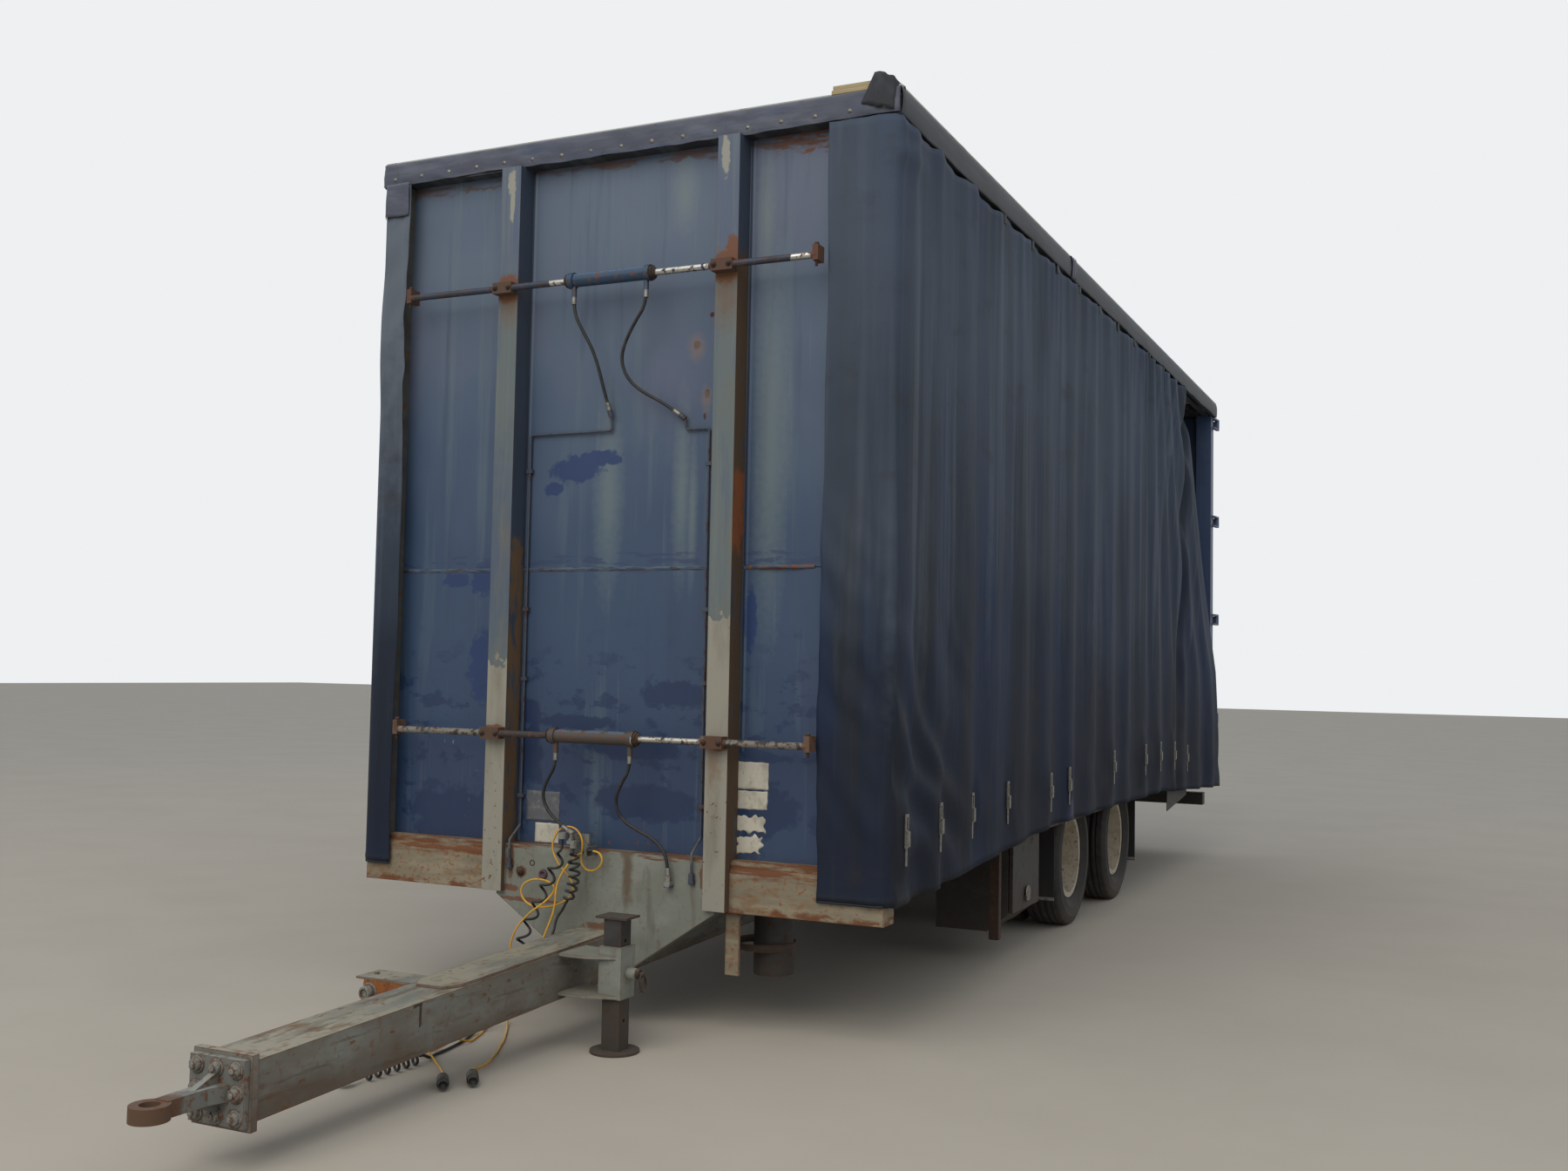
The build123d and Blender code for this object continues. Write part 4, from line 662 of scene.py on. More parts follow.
# Slate enamel on the jack and the running parts below the deck, dusty
SLATE_PAINT = Finish(
    "enamel_on_steel_slate", "#292928", 0.60,
    layers=(
        Layer("#3a3a39", Blotches((120, 120, 80), 0.48, 0.62, 2.0), 0.65, 0.7),
        Layer(DARK_RUST, Blotches((34, 34, 60), 0.58, 0.65, 4.0), 0.9, 0.9),
        Layer("#4a4036", Band(Z, -0.1, 0.30, 160, 260), 0.95, 0.5),
        Layer(RUST, Edges(5, 0.05, 0.25, 0.5, 16), 0.9, 0.8),
        Layer("#544c42", Facing(UP), 0.95, 0.5),
    ),
    reliefs=(grain(4, 0.3),))

# Cast and rolled steel, left to rust: dark brown joints that break up the blue
RUSTY_STEEL = Finish(
    "rolled_steel_rusted", "#3c2b22", 0.85,
    layers=(
        Layer("#2f2622", Blotches((70, 70, 70), 0.46, 0.58, 2.0), 0.8, 0.8),
        Layer("#5a3823", Blotches((24, 24, 24), 0.54, 0.64, 5.0), 0.9, 0.8),
        Layer(DUST, Facing(UP), 0.95, 0.3),
    ),
    reliefs=(grain(5, 0.5),))

# Hydraulic-style tension cylinders: enamel barrel, hard-chromed rod worn bright in places
CYLINDER_FINISH = Finish(
    "enamel_and_hard_chrome_on_steel", "#35302f", 0.70,
    layers=(
        Layer("#2a3546", Band(X, -1.1, 1.1) & Band(Z, 3.0, 3.2) & Blotches((120, 30, 30), 0.40, 0.52, 3.0),
              0.5),
        Layer("#243f59", Band(X, -0.20, 0.205) & Band(Z, 3.0, 3.2), 0.32),
        # Painted highlight: paler blue along the upper barrel's top, where it faces the light
        Layer("#4d6f90", Band(X, -0.17, 0.18) & Band(Z, 3.0, 3.2) & Facing((0, -0.3, 1), 0.75, 0.95), 0.4,
              0.9),
        Layer("#4b423c", Band(X, -0.23, 0.18) & Band(Z, 1.1, 1.2), 0.55, 0.8),
        # Painted highlight along the lower barrel's top
        Layer("#5f7288", Band(X, -0.20, 0.15) & Band(Z, 1.1, 1.2) & Facing((0, -0.3, 1), 0.8, 0.97)
              & Blotches((40, 40, 40), 0.42, 0.5), 0.5, 0.6),
        Layer("#c4c3be", Band(X, 0.225, 0.475, 20) & Band(Z, 3.0, 3.2)
              & Blotches((26, 26, 26), 0.40, 0.46), 0.28, 1.0, 1.0),
        Layer("#c4c3be", Band(X, -0.29, -0.215, 16) & Band(Z, 3.0, 3.2), 0.28, 1.0, 1.0),
        Layer("#c4c3be", Band(X, 0.84, 0.93, 16) & Band(Z, 3.0, 3.2)
              & Blotches((20, 20, 20), 0.40, 0.46, 3.0), 0.28, 1.0, 1.0),
        Layer("#b9b7b0", Band(X, 0.18, 0.50, 20) & Band(Z, 1.1, 1.25)
              & Blotches((30, 30, 30), 0.40, 0.46), 0.3, 1.0, 1.0),
        Layer("#7f7b73", Band(X, -1.2, -0.58, 30) & Band(Z, 1.1, 1.25)
              & Blotches((30, 30, 30), 0.42, 0.5), 0.6, 0.9),
        Layer("#837f76", Band(X, 0.60, 1.1, 30) & Band(Z, 1.1, 1.25)
              & Blotches((30, 30, 30), 0.44, 0.5, 4.0), 0.6, 0.8),
        # Clamps and end hooks have lost their paint to rust
        Layer("#5f4230", Band(X, 0.478, 0.592), 0.88, 0.75),
        Layer("#5a4434", Band(X, -0.592, -0.478), 0.88, 0.75),
        Layer("#63422e", Band(X, 0.925, 1.0), 0.9, 0.8),
        Layer("#5d4030", Band(X, -1.1, -1.02), 0.9, 0.8),
        Layer(RUST, Blotches((20, 20, 20), 0.56, 0.64, 6.0), 0.9, 0.85),
    ),
    reliefs=(grain(3, 0.2),))

# Zinc-plated pressings, dulled: small grey glints along the hem and at the rear
ZINC_STEEL = Finish(
    "zinc_plated_steel_dull", "#8b8a84", 0.45, metallic=0.85,
    layers=(
        Layer("#6d6a63", Blotches((18, 18, 18), 0.48, 0.60, 2.0), 0.6, 0.8),
        Layer(RUST, Blotches((9, 9, 9), 0.62, 0.67, 5.0), 0.9, 0.9, 0.0),
        # Painted shade, brown, in corners and gaps, which also dulls the metal there
        Layer("#4a3a2c", Corners(12, 0.3, 0.9), 0.9, 0.5, 0.2),
    ),
    reliefs=(grain(2, 0.1),))

# Small-bore steel brake pipe with its clips and nuts, weathered dark
PIPE_STEEL = Finish(
    "steel_pipe_and_fittings_weathered", "#3c4350", 0.55,
    layers=(
        Layer("#8b8a84", Spots(((-0.09, 0.76, 0.07, 0.03), (-0.08, 0.73, 0.03, 0.03),
                                (0.324, 0.61, 0.02, 0.03)), 0.3, 20), 0.45, 0.9),
        Layer("#6f736b", Band(Z, 0.68, 0.775), 0.6, 0.5),
        Layer(DARK_RUST, Blotches((30, 30, 60), 0.54, 0.62, 3.0), 0.85, 0.8),
        Layer(BRIGHT_RUST, Blotches((12, 12, 12), 0.63, 0.68, 6.0), 0.85, 0.9),
    ))

# Coated polyester tarpaulin, charcoal blue: dust on the ridges, deeper blue where it is clean
TARPAULIN = Finish(
    "coated_polyester_tarpaulin_dark_blue", "#242c3a", 0.74, ior=1.28,
    layers=(
        Layer("#1f2f4c", Blotches((420, 420, 2800), 0.42, 0.60, 3.0, 3.0), 0.70, 0.9),
        Layer("#2b2e32", Blotches((210, 210, 2400), 0.50, 0.66, 21.0, 3.0), 0.76, 0.7),
        Layer("#3a414b", Blotches((70, 70, 1300), 0.56, 0.70, 5.0), 0.76, 0.45),
        Layer("#566170", Band(Z, 2.3, 3.9, 900, 1500, 700), 0.76, 0.6),
        Layer("#1d1e24", Band(Z, 0.3, 1.25, 300, 800, 400), 0.76, 0.6),
        Layer("#1c2650", Band(Y, -0.02, 0.20, 90, 60) & Band(Z, 0.50, 0.78, 60, 30), 0.45, 0.8),
        Layer("#6b7684", Blotches((110, 110, 2600), 0.52, 0.72, 31.0, 2.0)
              & Band(Z, 1.7, 3.7, 400, 900), 0.76, 0.42),
        Layer("#5c6167", Blotches((34, 34, 700), 0.66, 0.80, 8.0) & Band(Z, 1.2, 3.6, 200, 400), 0.7, 0.35),
        # The right-hand wrap is lighter where its creases face forward: a painted highlight
        Layer("#7c848e", Facing(FORWARD) & Band(X, -1.4, -1.0, 0, 30)
              & Band(Z, 2.5, 3.9, 500, 900), 0.74, 0.42),
        # Deep shade in the fold ahead of the loose rear end
        Layer("#0d0f16", Band(Y, 3.10, 3.36, 60, 170, 500, lean=0.09)
              & Band(Z, 0.6, 3.7, 60, 160), 0.8, 0.55),
        Layer("#3a3733", Blotches((260, 260, 160), 0.58, 0.72, 12.0), 0.8, 0.35),
        # Welded hem: a paler line of stitching dust above a darker doubled edge
        Layer("#2b2e34", Band(Z, 0.3, 0.60, 30, 30, 200), 0.6, 0.6),
        # Painted shade, near black, deep in the folds and gaps
        Layer("#16181d", Corners(60, 0.35, 1.0), 0.8, 0.6),
    ),
    reliefs=(Relief(Blotches((26, 26, 150), 0.1, 0.9, 4.0, 3.0), 1.4),
             # The weave is 0.5 mm in the cloth; it is drawn at 3 mm so that it shows
             Relief(Weave(3.0), 0.10)))

# Back of the tarpaulin's coating: a near-black ragged patch against the pale roof edge
CLOTH_REVERSE = Finish(
    "coated_polyester_reverse_side_dark", "#24272e", 0.72,
    layers=(Layer("#3a3e46", Blotches((50, 50, 90), 0.50, 0.64, 2.0), 0.75, 0.6),
            # Painted shade in the flap's creases
            Layer("#15171b", Corners(40, 0.3, 0.9), 0.8, 0.7)),
    reliefs=(Relief(Blotches((30, 30, 50), 0.1, 0.9, 4.0, 3.0), 1.2),))

# Rubber edge strips of the roof, greyed by the sun: a painted highlight as a pale line on top, with painted
# shade below it
EDGE_STRIP = Finish(
    "rubber_edge_strip_greyed", "#3b4046", 0.65,
    layers=(
        # Painted highlight on the upward faces
        Layer("#6a6f72", Facing(UP, 0.1, 0.9), 0.7, 0.7),
        Layer("#565b60", Blotches((60, 700, 60), 0.5, 0.62, 2.0), 0.7, 0.6),
        # Painted shade below the edge and in gaps
        Layer("#24272c", Corners(40, 0.3, 0.9), 0.8, 0.7),
    ),
    reliefs=(Relief(Blotches((6, 60, 6), 0.0, 1.0), 0.3),))

# Translucent roof sheet: dull white with grey drifts of dirt along it
ROOF_SHEET = Finish(
    "translucent_roof_sheet_weathered", "#b9bbb4", 0.45,
    layers=(Layer("#8b8d84", Blotches((900, 1400, 900), 0.45, 0.6, 2.0), 0.6, 0.6),
            Layer("#5f6257", Blotches((120, 300, 120), 0.62, 0.7, 4.0), 0.8, 0.7)),
    reliefs=(Relief(Blotches((40, 600, 40), 0.2, 0.8), 1.0),))

# Natural rubber tyre, moulded; dust in the shoulders and a browned sidewall
TYRE_RUBBER = Finish(
    "moulded_rubber_tyre_dusty", "#1d1c1c", 0.78,
    layers=(
        Layer("#38332d", Blotches((70, 70, 70), 0.46, 0.62, 2.0), 0.9, 0.7),
        Layer("#574f45", Band(Z, -0.1, 0.14, 60, 120), 0.95, 0.5),
        Layer("#4a443c", Corners(14, 0.3, 0.8), 0.95, 0.7),
    ),
    reliefs=(grain(4, 0.3),))

# Extruded rubber of hoses, seals and air springs: soft black with a dusty upper side
BLACK_RUBBER = Finish(
    "extruded_rubber_black", "#1b1b1d", 0.55,
    layers=(Layer("#3c3a36", Blotches((30, 30, 30), 0.50, 0.64, 2.0), 0.8, 0.7),
            Layer("#5c554b", Facing(UP, 0.5, 1.0), 0.9, 0.35)),
    reliefs=(grain(4, 0.15),))

# Moulded nylon plugs: small black ends, dusty on top, that close the yellow cables
BLACK_PLASTIC = Finish(
    "moulded_nylon_plug_black", "#232324", 0.5,
    layers=(Layer("#4a463f", Blotches((14, 14, 14), 0.5, 0.62, 2.0), 0.8, 0.7),
            Layer("#5c5549", Facing(UP, 0.3, 1.0), 0.9, 0.4)),
    reliefs=(grain(2, 0.1),))

# Die-cast air couplings: dull glints of metal at the ends of the black hoses
CAST_COUPLING = Finish(
    "die_cast_coupling_dull", "#6b6a66", 0.5, metallic=0.8,
    layers=(Layer("#4a463f", Blotches((12, 12, 12), 0.48, 0.6, 2.0), 0.8, 0.7, 0.1),
            Layer(RUST, Blotches((8, 8, 8), 0.62, 0.67, 5.0), 0.9, 0.9, 0.0)),
    reliefs=(grain(2, 0.15),))

# Extruded cable jacket: the one bright yellow line over grey and blue
CABLE_JACKET = Finish(
    "extruded_pvc_cable_jacket_yellow", "#dba52a", 0.42,
    layers=(Layer("#b98c2e", Blotches((40, 40, 40), 0.50, 0.66, 2.0), 0.55, 0.7),
            Layer("#6f5a34", Blotches((12, 12, 12), 0.64, 0.70, 4.0), 0.8, 0.7),
            Layer("#8f773f", Facing(DOWN, 0.3, 1.0), 0.7, 0.4)),
    reliefs=(grain(5, 0.1),))

# Cream stove enamel on the pressed rims, with rust and painted shade round the nuts and vents
RIM_ENAMEL = Finish(
    "stove_enamel_on_rim_cream", "#bdb4a4", 0.50,
    layers=(
        Layer("#aa9d84", Blotches((60, 60, 60), 0.48, 0.62, 2.0), 0.6, 0.8),
        Layer(RUST, Blotches((20, 20, 20), 0.60, 0.66, 5.0), 0.9, 0.9),
        # Painted shade, brown, in the rim's hollows round the nuts and vents
        Layer("#574a39", Corners(40, 0.25, 0.85), 0.9, 0.8),
        Layer(RUST, Edges(4, 0.05, 0.25, 0.5, 12), 0.9, 0.7),
    ),
    reliefs=(grain(4, 0.2),))

# Moulded sheet rubber: flat black flaps with a pale scuffed line low down
FLAP_RUBBER = Finish(
    "moulded_sheet_rubber_mudflap", "#1b1b1b", 0.75,
    layers=(Layer("#302d29", Blotches((90, 90, 160), 0.48, 0.62, 2.0), 0.9, 0.7),
            Layer("#8a877e", Band(Z, 0.205, 0.222) & Blotches((60, 60, 60), 0.35, 0.45), 0.8, 0.8)),
    reliefs=(grain(5, 0.3),))

# Enamel on rolled sections below the deck: a dim brown-grey that keeps the underside quiet
CHASSIS_PAINT = Finish(
    "enamel_on_rolled_section_grey", "#4c4f4b", 0.7,
    layers=(
        Layer("#5f5b50", Blotches((160, 300, 90), 0.48, 0.62, 2.0), 0.85, 0.8),
        Layer(RUST, Blotches((60, 90, 40), 0.56, 0.64, 5.0), 0.9, 0.9),
        Layer("#3a3129", Blotches((200, 200, 200), 0.52, 0.68, 8.0), 0.9, 0.7),
        Layer(RUST, Edges(6, 0.05, 0.25, 0.5, 26), 0.9, 0.8),
    ),
    reliefs=(grain(5, 0.3),))

# Film-faced plywood of the deck: worn brown with long pale scratches
DECK_PLY = Finish(
    "film_faced_ply_worn", "#5b4430", 0.65,
    layers=(Layer("#3b2c20", Blotches((60, 900, 60), 0.45, 0.6, 2.0), 0.6, 0.8),
            Layer("#8c7a61", Blotches((14, 300, 14), 0.60, 0.68, 4.0), 0.8, 0.7)),
    reliefs=(Relief(Blotches((3, 60, 3), 0.0, 1.0), 0.3),))

# Sprayed vehicle paint of the rear doors: blue like the wall's, with rust along the lower edge
DOOR_PAINT = Finish(
    "vehicle_paint_sprayed_blue_doors", "#354a6c", 0.48,
    layers=(
        Layer("#5c6c80", Blotches((60, 60, 1100), 0.54, 0.70, 2.0), 0.6, 0.5),
        Layer("#2a3a5c", Blotches((400, 400, 500), 0.54, 0.64, 5.0), 0.5, 0.6),
        Layer(RUST, Blotches((40, 40, 60), 0.52, 0.62, 3.0) & Band(Z, 0.6, 1.05, 100, 160), 0.9, 0.9),
        Layer(RUST, Edges(5, 0.05, 0.25, 0.5, 20), 0.9, 0.8),
        Layer("#4a4d50", Corners(40, 0.3, 0.9), 0.85, 0.6),
    ),
    reliefs=(grain(5, 0.15),))

# Moulded lenses: red with amber ends, the only gloss at the rear
LAMP_LENS = Finish(
    "polycarbonate_lens_moulded_red", "#8c1c16", 0.22, coat=0.4,
    layers=(Layer("#b56a1f", Band(X, 1.04, 2.0), 0.22), Layer("#b56a1f", Band(X, -2.0, -1.04), 0.22),
            Layer("#1c1b1a", Facing(REARWARD, 0.9, 0.2), 0.5)),
    reliefs=(Relief(Weave(9.0, Source.OBJECT), 0.6),))

# Printed film, weathered blank: small cream patches on the blue wall
PAPER_LABEL = Finish(
    "printed_film_label_blank", "#c4c0b2", 0.55,
    layers=(Layer("#a39d8c", Blotches((60, 60, 90), 0.48, 0.62, 2.0), 0.7, 0.8),
            Layer("#8e7f62", Blotches((12, 12, 30), 0.62, 0.68, 4.0), 0.8, 0.7)))

# Printed film, faded: one flat grey patch
GREY_LABEL = Finish(
    "printed_film_label_grey", "#5a5d63", 0.5,
    layers=(Layer("#7c7d7c", Blotches((30, 30, 30), 0.5, 0.64, 2.0), 0.6, 0.7),))

# Moulded rubber: a muted purple-brown ring on the nose plate
PURPLE_RUBBER = Finish(
    "moulded_rubber_ring_purple", "#553f48", 0.6,
    layers=(Layer("#3c3034", Blotches((10, 10, 10), 0.5, 0.6, 2.0), 0.8, 0.7),))

# Fresh scaly rust: an orange tab beside the grey paint of the drawbar
SCALED_STEEL = Finish(
    "rolled_steel_scaled_orange", "#8d5428", 0.9,
    layers=(Layer("#5a3923", Blotches((22, 22, 22), 0.5, 0.62, 3.0), 0.95, 0.7),
            Layer("#a56a34", Blotches((9, 9, 14), 0.56, 0.64, 3.0), 0.9, 0.6)),
    reliefs=(grain(4, 0.4),))

# Sawn pine: a short pale length of wood at the roof's corner
PINE_PLANK = Finish(
    "sawn_pine_plank", "#a89878", 0.8,
    layers=(Layer("#83745a", Blotches((200, 12, 12), 0.48, 0.62, 2.0), 0.85, 0.8),),
    reliefs=(Relief(Blotches((90, 4, 4), 0.0, 1.0), 0.4),))

# Woven polyester loops: short grey ticks along the curtain's top
WEBBING = Finish(
    "woven_polyester_webbing_grey", "#4a4c50", 0.8,
    layers=(Layer("#2e2f33", Blotches((14, 14, 40), 0.5, 0.6, 2.0), 0.85, 0.7),),
    reliefs=(Relief(Weave(3.0, Source.OBJECT), 0.3),))

# Bare edges of the lapped wall sheets: a rust-flecked line across the wall
SEAM_STEEL = Finish(
    "sheet_steel_edge_rusted", "#384860", 0.6,
    layers=(Layer("#5b6a76", Blotches((60, 30, 8), 0.46, 0.54, 7.0), 0.7, 0.6),
            Layer(DARK_RUST, Blotches((60, 30, 10), 0.54, 0.62, 2.0), 0.9, 0.8),
            Layer(BRIGHT_RUST, Blotches((30, 20, 10), 0.48, 0.56, 5.0) & Band(X, 0.60, 0.92, 60), 0.9)))

# The roof's tarpaulin edge: the curtain's cloth, bleached paler
EDGE_TARPAULIN = Finish(
    "coated_polyester_strip_bleached_blue", "#3d4354", 0.6, sheen=0.2,
    layers=(Layer("#565b68", Blotches((260, 60, 40), 0.46, 0.64, 2.0), 0.65, 0.8),
            Layer("#31405e", Blotches((420, 60, 60), 0.56, 0.66, 5.0), 0.55, 0.7),
            # Painted highlight on the upward faces
            Layer("#6a6f78", Facing(UP, 0.2, 0.9), 0.7, 0.7),
            Layer("#3a3d42", Blotches((30, 30, 60), 0.60, 0.70, 9.0), 0.8, 0.5)),
    reliefs=(Relief(Blotches((40, 40, 30), 0.1, 0.9, 4.0, 3.0), 1.5),
             Relief(Weave(3.0, Source.OBJECT), 0.08)))

# Painted roof extrusions, chalked: the dark band that parts the roof from the curtain
RAIL_PAINT = Finish(
    "painted_extrusion_chalked_dark", "#2d3137", 0.6,
    layers=(Layer("#4d5257", Blotches((60, 700, 30), 0.48, 0.62, 2.0), 0.7, 0.7),
            Layer("#7d8284", Blotches((80, 420, 40), 0.56, 0.66, 6.0) & Band(Z, 3.69, 3.80, 10), 0.8, 0.6),
            # Painted shade in corners and gaps
            Layer("#1d2025", Corners(40, 0.3, 0.9), 0.8, 0.6)),
    reliefs=(Relief(Blotches((6, 90, 6), 0.0, 1.0), 0.3),))

# Bolt heads brushed over with the frame's enamel: rust, and painted shade in their corners, pick out each one
BOLT_ENAMEL = Finish(
    "bolt_brushed_enamel_grey_green", "#7b7d76", 0.6,
    layers=(Layer(RUST, Blotches((12, 12, 12), 0.54, 0.60, 2.0), 0.85, 0.9),
            # Painted shade, dark brown, in the corners round each head
            Layer("#4a4034", Corners(14, 0.3, 0.9), 0.85, 0.8),
            Layer(DARK_RUST, Edges(3, 0.05, 0.25, 0.5, 8), 0.85, 0.8)))

# Cream enamel on nuts and caps, half rusted: brown dots round each pale hub, and painted shade in the corners
HUB_ENAMEL = Finish(
    "enamel_on_hub_cream_rusting", "#9d917b", 0.55,
    layers=(Layer(RUST, Blotches((14, 14, 14), 0.46, 0.56, 2.0), 0.9, 0.9),
            # Painted shade, dark brown, in corners and gaps
            Layer("#3a3027", Corners(16, 0.3, 0.9), 0.9, 0.8)))


class Shape:
    """Gathers the surfaces of one piece before they become its mesh."""

    def __init__(self) -> None:
        """Start empty."""
        self.points: list[Vector] = []
        self.faces: list[tuple[int, ...]] = []

    def add(self, points: Sequence[Vector], faces: Iterable[Sequence[int]]) -> None:
        """Add points and the faces between them."""
        first = len(self.points)
        self.points.extend(points)
        self.faces.extend(tuple(first + i for i in face) for face in faces)

    def grid(self, rows: Sequence[Sequence[Vector]], closed: bool = False) -> None:
        """Add a skin over rows of points.

        Args:
            rows: Rows of equally many points.
            closed: Whether each row joins its own start.
        """
        width = len(rows[0])
        faces = []
        for i in range(len(rows) - 1):
            for j in range(width if closed else width - 1):
                k = (j + 1) % width
                faces.append((i * width + j, i * width + k, (i + 1) * width + k, (i + 1) * width + j))
        self.add([point for row in rows for point in row], faces)

    def lathe(self, profile: Sequence[tuple[float, float]], seat: Matrix, segments: int = 32) -> None:
        """Add a turned skin.

        Args:
            profile: Points as (along the axis, radius).
            seat: Matrix whose Z is the axis.
            segments: Number of steps round the axis.
        """
        turns = [2 * math.pi * i / segments for i in range(segments)]
        self.grid([[seat @ Vector((r * math.cos(t), r * math.sin(t), along)) for t in turns]
                   for along, r in profile], closed=True)

    def bar(self, outline: Sequence[Vector], way: Vector) -> None:
        """Add a closed prism of an outline along a way."""
        count = len(outline)
        far = [point + way for point in outline]
        sides = [(i, (i + 1) % count, count + (i + 1) % count, count + i) for i in range(count)]
        self.add([*outline, *far], [tuple(reversed(range(count))), tuple(range(count, 2 * count)), *sides])

    def block(self, low: Vector, high: Vector) -> None:
        """Add an upright block between two corners."""
        outline = [Vector((low.x, low.y, low.z)), Vector((high.x, low.y, low.z)),
                   Vector((high.x, high.y, low.z)), Vector((low.x, high.y, low.z))]
        self.bar(outline, Vector((0, 0, high.z - low.z)))

    def tube(self, points: Sequence[Vector], radius: float, segments: int = 10) -> None:
        """Add a round skin along points, narrowed at both ends.

        Args:
            points: The tube's middle line.
            radius: Its radius.
            segments: Number of steps round it.
        """
        rows = []
        for i, point in enumerate(points):
            way = (points[min(i + 1, len(points) - 1)] - points[max(i - 1, 0)]).normalized()
            seat = aimed(point, way)
            reach = radius * (0.3 if i in (0, len(points) - 1) else 1.0)
            rows.append([seat @ Vector((reach * math.cos(a), reach * math.sin(a), 0))
                         for a in (2 * math.pi * k / segments for k in range(segments))])
        self.grid(rows, closed=True)

    def nut(self, place: Vector, way: Vector, across: float, height: float) -> None:
        """Add a hexagon nut with a chamfer, the stud's end and a washer.

        Args:
            place: Middle of the face that it sits on.
            way: The way that it stands up.
            across: Width across its flats.
            height: Its height without the stud.
        """
        seat = aimed(place, way)
        corner = across / math.sqrt(3)
        self.lathe([(0, corner), (height * 0.82, corner), (height, corner * 0.86), (height, corner * 0.5),
                    (height * 1.35, corner * 0.48), (height * 1.42, corner * 0.4), (height * 1.42, 0.0001)],
                   seat, 6)
        washer = [(0, corner * 1.35), (height * 0.18, corner * 1.35), (height * 0.2, corner * 0.9)]
        self.lathe(washer, seat, 20)

    def piece(self, name: str, finish: Finish, body: str = "trailer", bevel: float = 0.0,
              smooth: bool = True) -> Piece:
        """Make the gathered surfaces one object that rides on a body.

        Args:
            name: The object's name.
            finish: The finish of the whole piece.
            body: The body that carries it.
            bevel: Width of the broken edges in metres.
            smooth: Whether its faces are shaded smooth.

        Returns:
            The object.
        """
        mesh = bpy.data.meshes.new(name)
        mesh.from_pydata(self.points, [], self.faces)
        mesh.validate()
        made = bpy.data.objects.new(name, mesh)
        bpy.context.collection.objects.link(made)
        made.data.materials.append(finish.material())
        mesh.polygons.foreach_set("use_smooth", [smooth] * len(mesh.polygons))
        if bevel:
            edge = made.modifiers.new("edge", "BEVEL")
            edge.width, edge.segments, edge.limit_method = bevel, 2, "ANGLE"
        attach(made, body)
        return made


def skin(name: str, rows: Sequence[Sequence[Vector]], finish: Finish, thickness: float,
         offset: float = -1.0) -> Piece:
    """Make a piece of cloth or film over rows of points.

    Args:
        name: The piece's name.
        rows: Rows of equally many points.
        finish: Its finish.
        thickness: Its thickness in metres.
        offset: The side that it thickens to: -1 is inwards, 1 outwards.

    Returns:
        The piece.
    """
    shape = Shape()
    shape.grid(rows)
    return thicken(shape.piece(name, finish), thickness, offset)


def thicken(made: Piece, thickness: float, offset: float = -1.0) -> Piece:
    """Give a piece without thickness that of its cloth or film."""
    layer = made.modifiers.new("cloth", "SOLIDIFY")
    layer.thickness, layer.offset = thickness, offset
    return made


def dress(finish: Finish, *nodes: str) -> None:
    """Give CAD nodes a finish."""
    for node in nodes:
        shown = frame["nodes"][node]
        if not shown.material_slots:
            shown.data.materials.append(None)
        for held in shown.material_slots:
            held.link = "OBJECT"
            held.material = finish.material()


